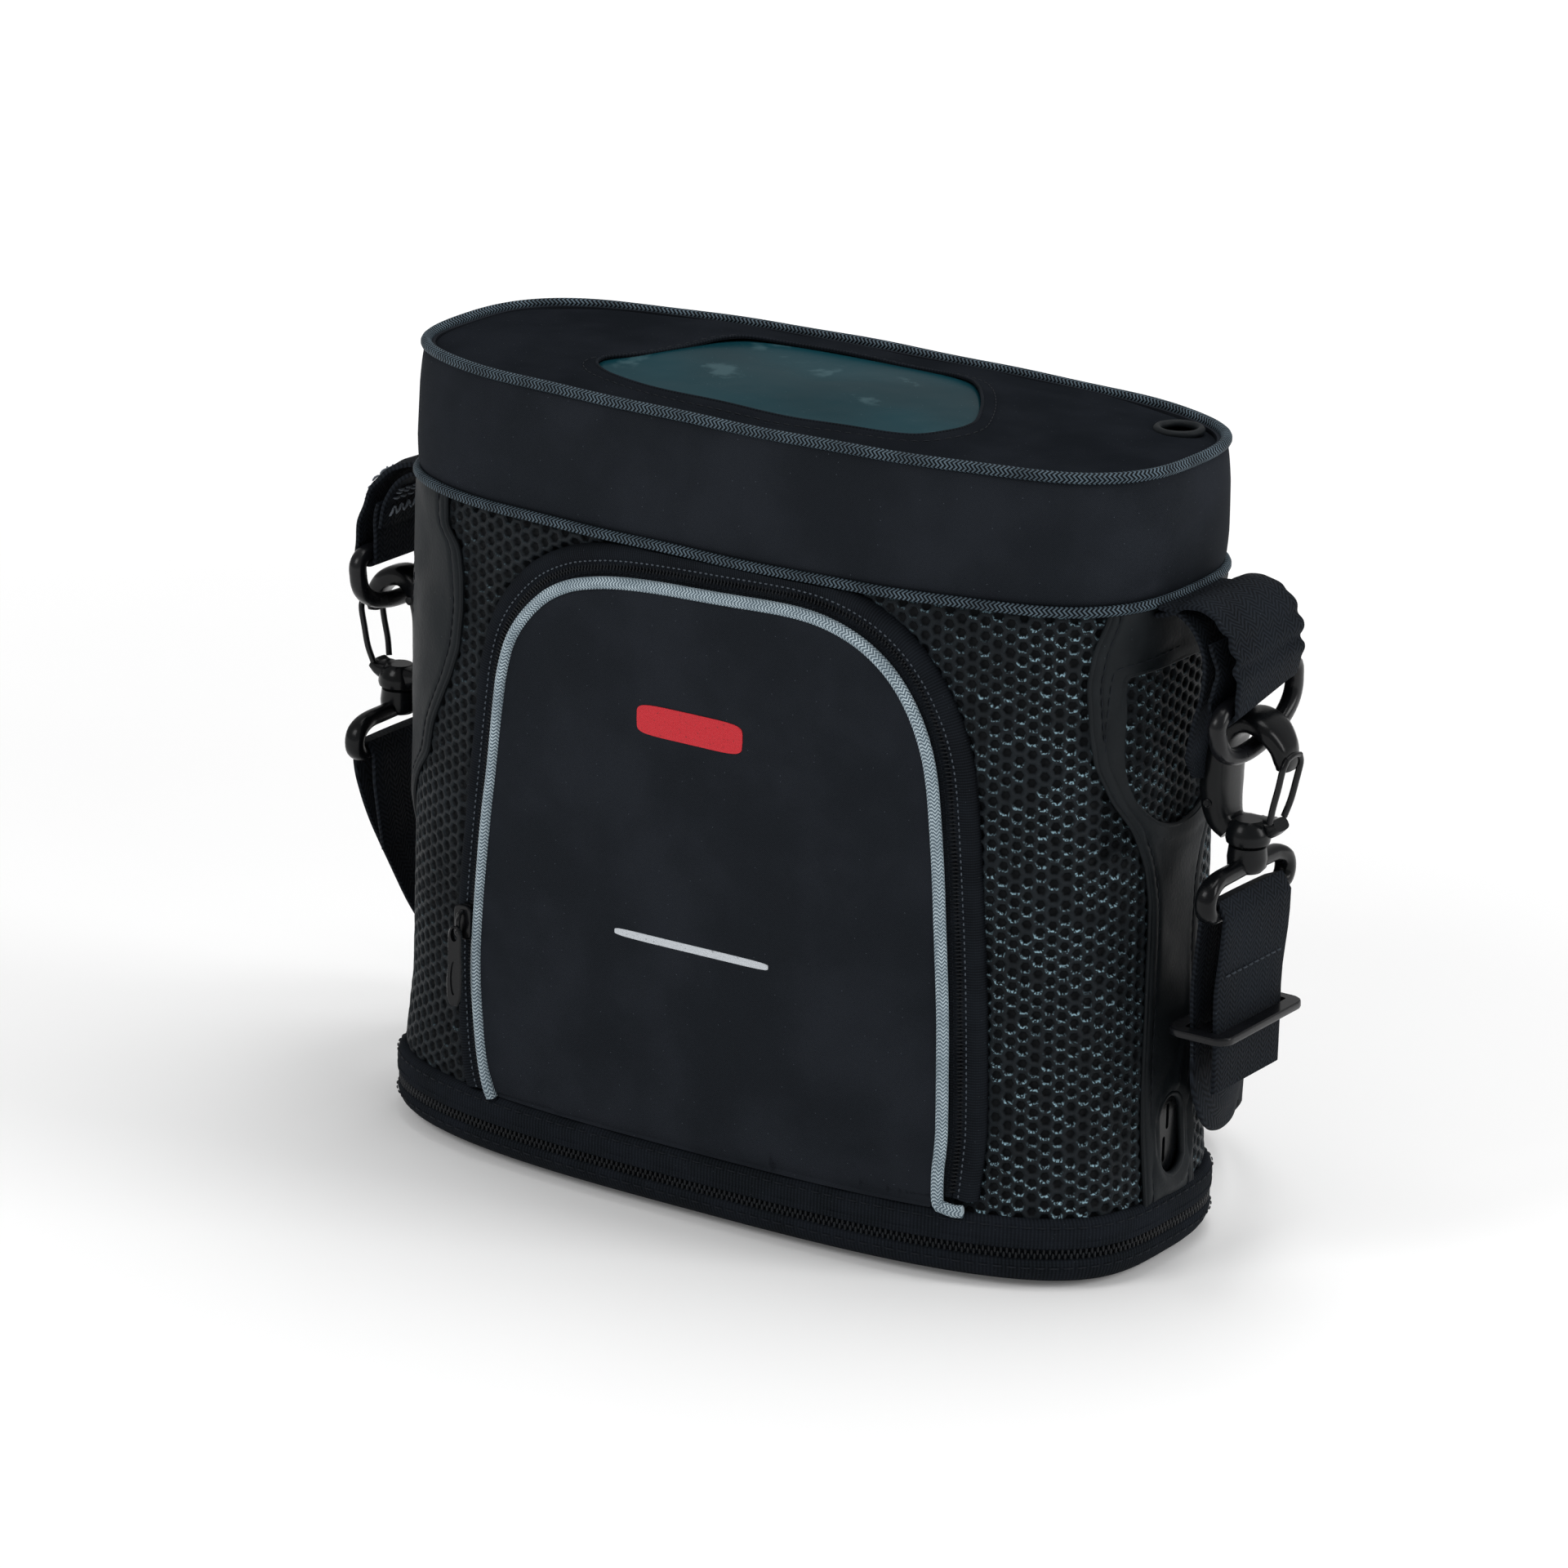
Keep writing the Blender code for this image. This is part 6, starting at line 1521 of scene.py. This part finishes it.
LEFT_TAB = ((0.1290, 0.2034), (0.1340, 0.2032), (0.1400, 0.2020), (0.1462, 0.1985), (0.1515, 0.1930), (0.1552, 0.1850),
            (0.1567, 0.1770))
RIGHT_TAB = ((0.1290, 0.2034), (0.1335, 0.2052), (0.1385, 0.2086), (0.1440, 0.2096), (0.1492, 0.2080), (0.1538, 0.2034),
             (0.1564, 0.1965), (0.1571, 0.1880))
LEAN = {"left": 0.0, "right": 0.20}

for side, (sg, dz) in SIDES.items():
    bar_z, limb_z, base_z = D_BAR_Z + dz, D_LIMB_Z + dz, HOOK_BASE_Z + dz
    lean = LEAN[side]
    keys = LEFT_TAB if side == "left" else RIGHT_TAB
    path = [(x, 0.0, z) for x, z in keys]
    for i in range(0, 9):
        a = pi * i / 8.0
        path.append((HW_X + 0.0036 * cos(a), 0.0, bar_z - 0.0036 * sin(a)))
    path += [(HW_X - 0.0038, 0.0, bar_z + 0.0045), (HW_X - 0.0030, 0.0, bar_z + 0.0100), (HW_X - 0.0046, 0.0, bar_z + 0.0165)]
    m = len(path)
    tw = np.clip(np.arange(m) / (len(keys) - 1.0), 0, 1) ** 1.6 * lean
    P = catmull(np.column_stack([np.array(path), tw]), 96)
    tws, P = P[:, 3], P[:, :3]
    Wd = np.column_stack([np.zeros(96), np.cos(tws), np.sin(tws)])
    s_ = np.linspace(0, 1, 96)
    P[:, 0] += 0.0003 * np.sin(s_ * 40)
    arr, (Pc, Wc, Nc) = ribbon(P, Wd, 0.0372, WEB_T)
    # cup the webbing a little across its width
    v = arr[0].reshape(96, -1, 3)
    across = ((v - Pc[:, None]) * Wc[:, None]).sum(-1)
    cup = 0.0011 * (across / 0.019) ** 2 * np.sin(pi * np.clip(s_ * 1.6, 0, 1))[:, None] + 0.0005 * np.sin(across * 260 + s_[:, None] * 9) * np.exp(-((s_[:, None] - 0.22) / 0.14) ** 2)
    v = v - Nc[:, None] * cup[..., None]
    put("tab_" + side, mirror((v.reshape(-1, 3), arr[1], arr[2]), sg), "webbing", "bag", ("strap_tab_" + side,))
    inner = catmull([(0.1300, 0.0, bar_z + 0.0240), (0.1370, 0.0, bar_z + 0.0235), (0.1425, 0.0, bar_z + 0.0195), (0.1458, 0.0, bar_z + 0.0120),
                     (0.1452, 0.0, bar_z + 0.0020), (0.1420, 0.0, bar_z - 0.0090), (0.1398, 0.0, bar_z - 0.0200), (0.1392, 0.0, bar_z - 0.0300)], 40) if side == "right" else \
        catmull([(0.1300, 0.0, 0.2000), (0.1360, 0.0, 0.1992), (0.1420, 0.0, 0.1950), (0.1462, 0.0, 0.1880), (0.1478, 0.0, 0.1800)], 40)
    si = np.linspace(0, 1, 40)
    wi = np.column_stack([np.zeros(40), np.cos(si * lean * 1.4), np.sin(si * lean * 1.4)])
    ia, _f = ribbon(inner, wi, 0.0372, 0.0015)
    if side == "right":
        taper = np.interp(np.linspace(0, 1, 40), (0, 0.62, 0.86, 1.0), (1.0, 0.98, 0.86, 0.50))
        q = ia[0].reshape(40, -1, 3)
        q = inner[:, None] + (q - inner[:, None]) - wi[:, None] * (((q - inner[:, None]) * wi[:, None]).sum(-1) * (1 - taper[:, None]))[..., None]
        ia = (q.reshape(-1, 3), ia[1], ia[2])
    else:
        Ti = np.gradient(inner, axis=0)
        Ti /= np.linalg.norm(Ti, axis=1)[:, None]
        Ni = np.cross(Ti, [0.0, 1.0, 0.0])
        Ni = np.where((Ni[:, :1] > 0), -Ni, Ni)
        sewn = []
        for i in (20, 22, 25):
            ln = np.array([inner[i] + (0.0, y_, 0.0) for y_ in np.linspace(-0.0165, 0.0165, 12)])
            sewn.append(stitches(ln + Ni[i] * 0.0011, np.tile(Ni[i], (12, 1)), 0.0030, 0.0006, 0.00045, 0.1))
        zz_ = np.array([inner[28 if k % 2 else 34] + (0.0, y_, 0.0) + Ni[31] * 0.0013 for k, y_ in enumerate(np.linspace(-0.0160, 0.0160, 19))])
        sewn.append(stitches(zz_, np.tile(Ni[31], (len(zz_), 1)), 0.0031, 0.0003, 0.00042, 0.1))
        put("tab_sewing_left", mirror(join(sewn), sg), "grey_thread")
    put("tab_inner_" + side, mirror(ia, sg), "webbing")
    # sewing across the tab
    rows = []
    outn = -Nc if (Nc[20, 0] < 0) else Nc
    if side == "left":
        for f0 in (0.375, 0.40, 0.425):
            i = int(f0 * 95)
            c, w, o = Pc[i], Wc[i], outn[i]
            ln = np.array([c + w * y_ for y_ in np.linspace(-0.0165, 0.0165, 12)])
            rows.append(stitches(ln + o * 0.0009, np.tile(o, (12, 1)), 0.0030, 0.0006, 0.00045, 0.1))
        for i0, i1 in ((22, 32),):
            zz_ = []
            for k, y_ in enumerate(np.linspace(-0.0160, 0.0160, 23)):
                i = i0 if k % 2 else i1
                zz_.append(Pc[i] + Wc[i] * y_ + outn[i] * 0.0010)
            zz_ = np.array(zz_)
            rows.append(stitches(zz_, np.tile(outn[27], (len(zz_), 1)), 0.0031, 0.0003, 0.00040, 0.1))
        put("tab_stitch_left", mirror(join(rows), sg), "grey_thread")
    else:
        for f0 in (0.205, 0.232, 0.395, 0.42):
            i = int(f0 * 95)
            c, w, o = Pc[i], Wc[i], outn[i]
            ln = np.array([c + w * y_ for y_ in np.linspace(-0.0172, 0.0172, 12)])
            rows.append(stitches(ln + o * 0.0009, np.tile(o, (12, 1)), 0.0022, 0.0010, 0.00033, 0.2))
        put("tab_stitch_right", mirror(join(rows), sg), "grey_thread")

    # D ring
    pts = [(HW_X, y, bar_z) for y in np.linspace(-0.0185, 0.0185, 7)]
    depth = bar_z - limb_z
    for i in range(0, 25):
        a = pi * i / 24.0
        pts.append((HW_X, 0.0222 * cos(a), bar_z - 0.0026 - (depth - 0.0026) * sin(a) ** 0.62))
    pts = catmull(pts, 110, closed=True)
    pts = tilt(pts, lean, 0.0, bar_z)
    put("ring_" + side, mirror(bar(pts, (1, 0, 0), 0.0027, 0.0025, 16, 2.4, True), sg), "black_metal", "ring_" + side,
        ("d_ring_" + side,), 1.2)

    # snap hook: flat C-shaped body with a thick back, tapering to the nose
    hy = 0.0 + 0.018 * lean
    cx = HW_X - 0.0006
    H = base_z
    keys = [(-0.0062, H + 0.0024, 0.0036, 0.0030), (-0.0094, H + 0.0056, 0.0038, 0.0034), (-0.0108, H + 0.0110, 0.0040, 0.0036),
            (-0.0110, H + 0.0190, 0.0040, 0.0036), (-0.0102, H + 0.0270, 0.0040, 0.0034), (-0.0070, H + 0.0335, 0.0038, 0.0030),
            (-0.0015, H + 0.0368, 0.0037, 0.0027), (0.0045, H + 0.0352, 0.0036, 0.0025), (0.0086, H + 0.0308, 0.0034, 0.0023),
            (0.0100, H + 0.0262, 0.0032, 0.0021), (0.0100, H + 0.0238, 0.0028, 0.0017)]
    K = catmull(keys, 70)
    pts = np.column_stack([cx + K[:, 0], np.full(70, hy), K[:, 1]])
    broad, thick = (2.1, 1.22) if side == "right" else (1.35, 1.25)
    c_body = bar(pts, (0, 1, 0), K[:, 2] * broad * np.interp(np.linspace(0, 1, 70), (0, 0.25, 0.8, 1), (0.7, 1.0, 1.0, 0.62)), K[:, 3] * thick, 18, 3.2)
    foot_p = catmull([(cx - 0.0098, hy, H + 0.0050), (cx - 0.0050, hy, H + 0.0040), (cx + 0.0010, hy, H + 0.0042), (cx + 0.0066, hy, H + 0.0052),
                      (cx + 0.0094, hy, H + 0.0068)], 30)
    c_foot = bar(foot_p, (0, 1, 0), np.linspace(0.0044, 0.0038, 30), np.interp(np.linspace(0, 1, 30), (0, 0.4, 0.8, 1), (0.0030, 0.0036, 0.0030, 0.0020)), 18, 3.0)
    neck = turned((HW_X, 0.0, H), ((0.0052, 0.0002), (0.0064, 0.0007), (0.0067, 0.0018), (0.0065, 0.0040), (0.0054, 0.0064), (0.0040, 0.0076)), 28)
    rib = tube([(cx - 0.0140, hy, z_) for z_ in np.linspace(H + 0.0090, H + 0.0265, 12)], 0.0011, 8, start=(0, 1, 0))
    hook = put("hook_body_" + side, mirror(join([c_body, c_foot, neck, rib]), sg), "black_plastic", "hook_" + side,
               ("snap_hook_" + side,), 0.9)
    dimple = []
    for dx, dz_ in ((-0.0112, 0.0110), (-0.0114, 0.0160), (-0.0112, 0.0210), (-0.0100, 0.0262), (-0.0066, 0.0304), (-0.0012, 0.0040), (0.0030, 0.0044)):
        for yy in (-1, 1):
            dimple.append(turned((cx + dx, hy + yy * 0.0037 * broad, H + dz_), ((0.0013, -0.0001), (0.0014, 0.0001 + 0.0002), (0.0011, 0.00045), (0.0008, 0.0003)) if yy > 0 else
                                 ((0.0008, -0.0003), (0.0011, -0.00045), (0.0014, -0.0003), (0.0013, 0.0001)), 14, "y"))
    put("hook_bosses_" + side, mirror(join(dimple), sg), "black_plastic", "hook_" + side)

    # wire gate of two legs
    legs = []
    for yy in (-0.0052, 0.0052):
        g = catmull([(cx + 0.0078, hy + yy * 0.8, H + 0.0078), (cx + 0.0092, hy + yy, H + 0.0130), (cx + 0.0106, hy + yy, H + 0.0190),
                     (cx + 0.0118, hy + yy, H + 0.0250), (cx + 0.0122, hy + yy * 0.7, H + 0.0278)], 26)
        legs.append(tube(g, 0.0010, 10, start=(0, 1, 0)))
    top = catmull([(cx + 0.0122, hy - 0.0040, H + 0.0276), (cx + 0.0123, hy, H + 0.0284), (cx + 0.0122, hy + 0.0040, H + 0.0276)], 12)
    legs.append(tube(top, 0.0009, 10, start=(1, 0, 0)))
    put("gate_" + side, mirror(join(legs), sg), "black_metal", "gate_" + side, ("hook_gate_" + side,), 1.2)

    # square eye and its swivel pin
    eb, et = EYE_BAR_Z + dz, EYE_TOP_Z + dz
    loop = [(HW_X, y, z) for y, z in
            [(-0.0190, eb), (-0.0095, eb), (0.0, eb), (0.0095, eb), (0.0190, eb),
             (0.0222, eb + 0.0014), (0.0232, eb + 0.0045), (0.0218, eb + 0.0078), (0.0170, et),
             (0.0085, et + 0.0004), (0.0, et + 0.0006), (-0.0085, et + 0.0004), (-0.0170, et),
             (-0.0218, eb + 0.0078), (-0.0232, eb + 0.0045), (-0.0222, eb + 0.0014)]]
    loop = catmull(loop, 110, closed=True)
    swell = 0.0026 + 0.0006 * np.clip((np.abs(loop[:, 1]) - 0.016) / 0.006, 0, 1)
    eye = join([bar(loop, (1, 0, 0), swell, np.full(110, 0.0025), 16, 2.5, True),
                turned((HW_X, 0.0, et), ((0.0044, -0.0012), (0.0058, 0.0004), (0.0060, 0.0030), (0.0056, HOOK_BASE_Z - EYE_TOP_Z - 0.0005),
                                         (0.0050, HOOK_BASE_Z - EYE_TOP_Z - 0.0002)), 28)])
    put("eye_" + side, mirror(eye, sg), "black_plastic", "eye_" + side, ("swivel_eye_" + side,), 0.9)

# ------------------------------------------------------------------ shoulder strap
ON_EDGE = 0.0196
PAD_CX, PAD_X, PAD_H, PAD_T = -0.0200, 0.0940, 0.0500, 0.0070
RUN_A, RUN_B, PAD_Y = 0.0786, 0.0926, 0.1066


def wrap(bar_z, r=0.0040):
    return [(HW_X + r * cos(pi * i / 8.0), 0.0, bar_z + r * sin(pi * i / 8.0)) for i in range(0, 9)]


def turn(cx, cy, r, a0, a1, z, k=8):
    return [(cx + r * cos(a0 + (a1 - a0) * i / k), cy + r * sin(a0 + (a1 - a0) * i / k), z) for i in range(k + 1)]


def strap(name, keys, wides, n, replaces, seed):
    K = catmull(np.column_stack([np.array(keys, float), np.array(wides, float)]), n)
    P, Wd = K[:, :3], K[:, 3:]
    s = np.concatenate([[0], np.cumsum(np.linalg.norm(np.diff(P, axis=0), axis=1))])
    arr, (Pc, Wc, Nc) = ribbon(P, Wd)
    v = arr[0].reshape(n, -1, 3)
    across = ((v - Pc[:, None]) * Wc[:, None]).sum(-1)
    wob = 0.00035 * np.sin(s * 70 + seed)[:, None] * (across / 0.019) + 0.00028 * np.sin(s * 150 + seed * 2)[:, None] * (across / 0.019) ** 2
    fade = np.clip(np.minimum(s, s[-1] - s) / 0.03, 0, 1)[:, None]
    v = v + Nc[:, None] * (wob * fade)[..., None]
    put(name, (v.reshape(-1, 3), arr[1], arr[2]), "webbing", "bag", replaces)
    return Pc, Wc, Nc, s


left = [(-(HW_X - 0.0048), 0.0040, 0.0780), (-(HW_X - 0.0044), 0.0020, 0.0880), (-(HW_X - 0.0040), 0.0, 0.0990)]
lw = [(0, 1, 0.12), (0, 1, 0.06), (0, 1, 0)]
for p in reversed(wrap(EYE_BAR_Z)):
    left.append((-p[0], p[1], p[2]))
    lw.append((0, 1, 0))
left += [(-(HW_X + 0.0038), 0.0010, 0.1010), (-(HW_X + 0.0030), 0.0085, 0.0860), (-0.1535, 0.0240, 0.0590),
         (-0.1510, 0.0430, 0.0370), (-0.1430, 0.0620, 0.0252), (-0.1290, 0.0745, 0.0208), (-0.1100, RUN_A, ON_EDGE)]
lw += [(0, 1, 0), (0, 0.90, 0.44), (0, 0.80, 0.60), (0, 0.60, 0.80), (0, 0.28, 0.96), (0, 0.08, 1), (0, 0, 1)]
rA, rB = (RUN_B - RUN_A) / 2, (PAD_Y - RUN_B) / 2
tail = [(-0.070, RUN_A, ON_EDGE), (-0.015, RUN_A + 0.0008, ON_EDGE), (0.040, RUN_A, ON_EDGE)]
tail += turn(0.0740, RUN_A + rA, rA, -pi / 2, pi / 2, ON_EDGE)
tail += [(0.040, RUN_B, ON_EDGE), (-0.020, RUN_B - 0.0008, ON_EDGE), (-0.080, RUN_B, ON_EDGE)]
tail += turn(-0.1210, RUN_B + rB, rB, -pi / 2, -3 * pi / 2, ON_EDGE)
tail += [(PAD_CX - PAD_X - 0.0030, PAD_Y, ON_EDGE + 0.0006)]
left += tail
lw += [(0, 0, 1)] * len(tail)
LP, LW, LN, LS = strap("strap_left", left, lw, 420, ("shoulder_strap_left",), 1.0)

IN_X, OUT_X = HW_X - 0.0052, HW_X + 0.0026
ze = EYE_BAR_Z + SIDES["right"][1]
right = [(OUT_X, 0.0, GLIDE_Z - 0.0180), (OUT_X, 0.0, GLIDE_Z - 0.0060), (OUT_X, 0.0, GLIDE_Z + 0.0120), (OUT_X + 0.0006, 0.0, GLIDE_Z + 0.0220)]
right += wrap(ze)
right += [(IN_X + 0.0006, 0.0, GLIDE_Z + 0.0220), (IN_X, 0.0, GLIDE_Z + 0.0120), (IN_X, 0.0, GLIDE_Z - 0.0060)]
rw = [(0, 1, 0)] * len(right)
right += [(IN_X, 0.0005, GLIDE_Z - 0.0120), (IN_X - 0.0006, 0.0050, 0.0625), (0.1450, 0.0130, 0.0592),
          (0.1405, 0.0250, 0.0575), (0.1340, 0.0390, 0.0565), (0.1260, 0.0540, 0.0530), (0.1170, 0.0680, 0.0460),
          (0.1070, 0.0810, 0.0375), (0.0970, 0.0925, 0.0300), (0.0880, 0.1010, 0.0264), (PAD_CX + PAD_X + 0.0040, PAD_Y, 0.0256)]
rw += [(0, 1, 0), (0, 0.84, 0.54), (0, 0.58, 0.81), (0, 0.40, 0.92), (0, 0.30, 0.95), (0, 0.20, 0.98), (0, 0.13, 0.99),
       (0, 0.07, 1), (0, 0.03, 1), (0, 0, 1), (0, 0, 1)]
RP, RW, RN, RS = strap("strap_right", right, rw, 300, ("shoulder_strap_right",), 2.0)

# sewing that holds the webbing doubled at the left eye, and rows across the right strap
def across_rows(P, W, N, s, at, half, body="bag", name="", flip=1.0, thread="grey_thread", r=0.00030):
    rows = []
    for q in at:
        i = int(np.argmin(np.abs(s - q)))
        o = N[i] * flip
        ln = np.array([P[i] + W[i] * y_ + o * 0.0009 for y_ in np.linspace(-half, half, 10)])
        rows.append(stitches(ln, np.tile(o, (10, 1)), 0.0022, 0.0009, r, 0.2))
    return put(name, join(rows), thread, body)


sgn = 1.0 if (LN[int(np.argmin(np.abs(LS - 0.045)))][0] < 0) else -1.0
across_rows(LP, LW, LN, LS, (0.040, 0.0425), 0.0165, name="strap_left_stitch", flip=sgn, thread="dark_thread")
i_out = int(np.argmin(np.abs(RS - 0.020)))
sgn = 1.0 if RN[i_out][0] > 0 else -1.0
across_rows(RP, RW, RN, RS, (0.0335, 0.0365), 0.0165, name="strap_right_stitch", flip=sgn, thread="dot_thread", r=0.00034)

# sliding buckle: rounded frame with a middle bar
GL_X0, GL_X1 = HW_X - 0.0118, HW_X + 0.0092
pb = plate((GL_X0 + GL_X1) / 2, 0.0, GL_X1 - GL_X0, 0.0480, 0.0050, 0.0024, 0.0006, "z", GLIDE_Z - 0.0012, 1.0, 8)
bk = put("buckle_frame", pb, "black_metal", "buckle", ("strap_buckle",))
boolean(bk, [prism([(x, y) for x, y, _z in rounded_plate(cx_, 0.0, 0.0038, 0.0402, 0.0012, 0.002, 0.0002, 4)[2]], "z", GLIDE_Z - 0.01, GLIDE_Z + 0.01)
             for cx_ in (IN_X, OUT_X)])
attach(bk, "buckle")

# shoulder pad: quilted, bound along its edge
nx, ny = 84, 30
xs_ = np.linspace(-1, 1, nx)
a_ = np.linspace(0, 2 * pi, ny * 2, endpoint=False)
Gp = []
for x in xs_:
    end = 1 - max(0.0, (abs(x) - 0.90) / 0.10) ** 2.2 * 0.42
    hh = PAD_H / 2 * end
    th = PAD_T / 2 * (1 - max(0.0, (abs(x) - 0.93) / 0.07) ** 2 * 0.55)
    ring = []
    for a in a_:
        u_, w_ = cos(a), sin(a)
        zz = hh * math.copysign(abs(u_) ** 0.62, u_)
        tt_ = th * math.copysign(abs(w_) ** 0.50, w_)
        edge_ = 1 - abs(zz) / hh
        groove = 0.0007 * (bump_at(abs(zz), hh - 0.0055, 0.0009)) + 0.0006 * bump_at(np.mod(x * PAD_X + 0.2, 0.0235), 0.0118, 0.0010)
        tt_ = tt_ - math.copysign(min(groove, abs(tt_) * 0.5), tt_) + 0.0003 * sin(x * 23) * cos(zz * 180)
        ring.append((PAD_CX + PAD_X * x, PAD_Y + tt_, 0.0006 + PAD_H / 2 + zz))
    Gp.append(ring)
Gp = np.array(Gp)
UVp = np.concatenate([Gp[:, :, [0, 2]], Gp[:, :1, [0, 2]]], 1)
v_, f_, u_ = grid_arrays(Gp, False, True, UV=UVp)
J_ = Gp.shape[1]
f_ += [tuple(range(J_))[::-1], tuple((nx - 1) * J_ + j for j in range(J_))]
u_ = np.concatenate([u_, Gp[0, ::-1][:, [1, 2]], Gp[-1][:, [1, 2]]])
pad = make_object("pad_body", v_, f_, "pad_fabric", u_, angle=1.2)
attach(pad, "bag")
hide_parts("shoulder_pad")
edge_pts = []
for x in np.linspace(-1, 1, 80):
    end = 1 - max(0.0, (abs(x) - 0.90) / 0.10) ** 2.2 * 0.42
    edge_pts.append((PAD_CX + PAD_X * x, PAD_Y, 0.0006 + PAD_H / 2 + PAD_H / 2 * end - 0.0002))
for x in np.linspace(1, -1, 80):
    end = 1 - max(0.0, (abs(x) - 0.90) / 0.10) ** 2.2 * 0.42
    edge_pts.append((PAD_CX + PAD_X * x, PAD_Y, 0.0006 + PAD_H / 2 - PAD_H / 2 * end + 0.0010))
edge_l = catmull(edge_pts, 420, closed=True)
pe = put("pad_binding", bar(edge_l, (0, 1, 0), 0.0026, 0.0011, 10, 3.0, True), "binding_tape", angle=1.2)

# ------------------------------------------------------------------ the concentrator inside
SLOT_LOOK = {n: None for n in NODES}
for n, o in NODES.items():
    if o.hide_render:
        continue
    mat = next((m.name for m in o.data.materials if m), "")
    key = mat.split(".")[0]
    if key in MAT:
        for k in range(len(o.data.materials)):
            o.data.materials[k] = MAT[key]

# intake filter: open foam
fr_ = rounded_plate(-0.0600, -0.0060, 0.0700, 0.0560, 0.0060, 0.0250, 0.0012, 5)
lo_f, hi_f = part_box("intake_filter")
G = []
for k, (ins, z_) in enumerate(((0.0014, 0.1752), (0.0006, 0.1758), (0.0004, 0.1875), (0.0006, 0.1990), (0.0016, 0.1998))):
    ring = [(x, y, z_) for x, y, _q in rounded_plate(-0.0600, -0.0060, 0.0700 - 2 * ins, 0.0560 - 2 * ins, 0.0060, 0.02, 0.0001, 6)[2]]
    ring = np.array(ring)
    ring[:, :2] += 0.00035 * np.sin(np.arange(len(ring)) * 1.9 + k)[:, None]
    G.append(ring)
ff_ = put("filter_foam", grid_arrays(np.array(G), False, True, caps=True), "grey_foam", NODES["intake_filter"]["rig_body"], ("intake_filter",))


# ------------------------------------------------------------------ floor, light, camera
floor_mat = Mat("floor", rough=0.8, spec=0.1)
fn = floor_mat.noise(floor_mat.obj(), 6.0, 3)
floor_mat.set(floor_mat.mix(fn, (0.92, 0.92, 0.92), (0.95, 0.95, 0.95)))
away = floor_mat.node("VectorMath", operation="LENGTH")
floor_mat.t.links.new(floor_mat.obj(), away.inputs[0])
floor_mat.p.inputs["Emission Color"].default_value = (1.0, 1.0, 1.0, 1.0)
floor_mat.feed(floor_mat.p.inputs["Emission Strength"], floor_mat.span(away.outputs["Value"], 0.30, 1.60, 0.06, 0.66))
fl = []
for s in np.linspace(-1, 1, 41):
    q = 9.0 * (0.1 * s + 0.9 * s ** 3)
    fl.append([(9.0 * (0.1 * p + 0.9 * p ** 3), q, -0.0004) for p in np.linspace(-1, 1, 41)])
fa = grid_arrays(np.array(fl), flip=True)
floor = make_object("studio_floor", fa[0], fa[1], floor_mat.m, fa[2])
floor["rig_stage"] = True

world = bpy.data.worlds.new("studio")
bpy.context.scene.world = world
world.use_nodes = True
wt = world.node_tree
soft_sky, seen_sky = wt.nodes["Background"], wt.nodes.new("ShaderNodeBackground")
soft_sky.inputs["Color"].default_value, soft_sky.inputs["Strength"].default_value = (1.0, 1.0, 1.0, 1.0), 0.42
seen_sky.inputs["Color"].default_value, seen_sky.inputs["Strength"].default_value = (1.0, 1.0, 1.0, 1.0), 1.0
ray, both = wt.nodes.new("ShaderNodeLightPath"), wt.nodes.new("ShaderNodeMixShader")
wt.links.new(ray.outputs["Is Camera Ray"], both.inputs[0])
wt.links.new(soft_sky.outputs[0], both.inputs[1])
wt.links.new(seen_sky.outputs[0], both.inputs[2])
wt.links.new(both.outputs[0], wt.nodes["World Output"].inputs["Surface"])


def area(name, at, aim, w, h, power, tint=(1.0, 1.0, 1.0)):
    light = bpy.data.lights.new(name, "AREA")
    light.shape, light.size, light.size_y = "RECTANGLE", w, h
    light.energy, light.color = power, tint
    ob = bpy.data.objects.new(name, light)
    bpy.context.scene.collection.objects.link(ob)
    ob.location = at
    ob.rotation_euler = (Vector(aim) - Vector(at)).to_track_quat("-Z", "Y").to_euler()
    return ob


area("key", (-0.55, -1.35, 1.25), (0.0, 0.0, 0.12), 0.70, 0.70, 9.0)
area("right_rim", (1.35, 0.35, 0.75), (0.10, 0.0, 0.12), 0.45, 0.90, 8.0)
area("top_soft", (0.1, 0.25, 1.40), (0.0, 0.0, 0.15), 1.0, 0.8, 9.0)

AZ, EL, ROLL = math.radians(33.03), math.radians(17.92), math.radians(1.59)
fwd = np.array([-sin(AZ) * cos(EL), cos(AZ) * cos(EL), -sin(EL)])
right = np.array([cos(AZ), sin(AZ), 0.0])
up = np.cross(right, fwd)
cam_r = right * cos(ROLL) + up * sin(ROLL)
cam_u = -right * sin(ROLL) + up * cos(ROLL)
cd = bpy.data.cameras.new("camera")
cd.sensor_width, cd.lens = 36.0, 163.598
cd.clip_start, cd.clip_end = 0.05, 40.0
cd.dof.use_dof = False
cam = bpy.data.objects.new("camera", cd)
bpy.context.scene.collection.objects.link(cam)
cam.matrix_world = Matrix(((cam_r[0], cam_u[0], -fwd[0], 1.1115),
                           (cam_r[1], cam_u[1], -fwd[1], -1.7224),
                           (cam_r[2], cam_u[2], -fwd[2], 0.7847), (0, 0, 0, 1)))
bpy.context.scene.camera = cam
vs = bpy.context.scene.view_settings
vs.view_transform, vs.look, vs.exposure, vs.gamma = "Standard", "None", 0.0, 1.0

lo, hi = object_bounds()
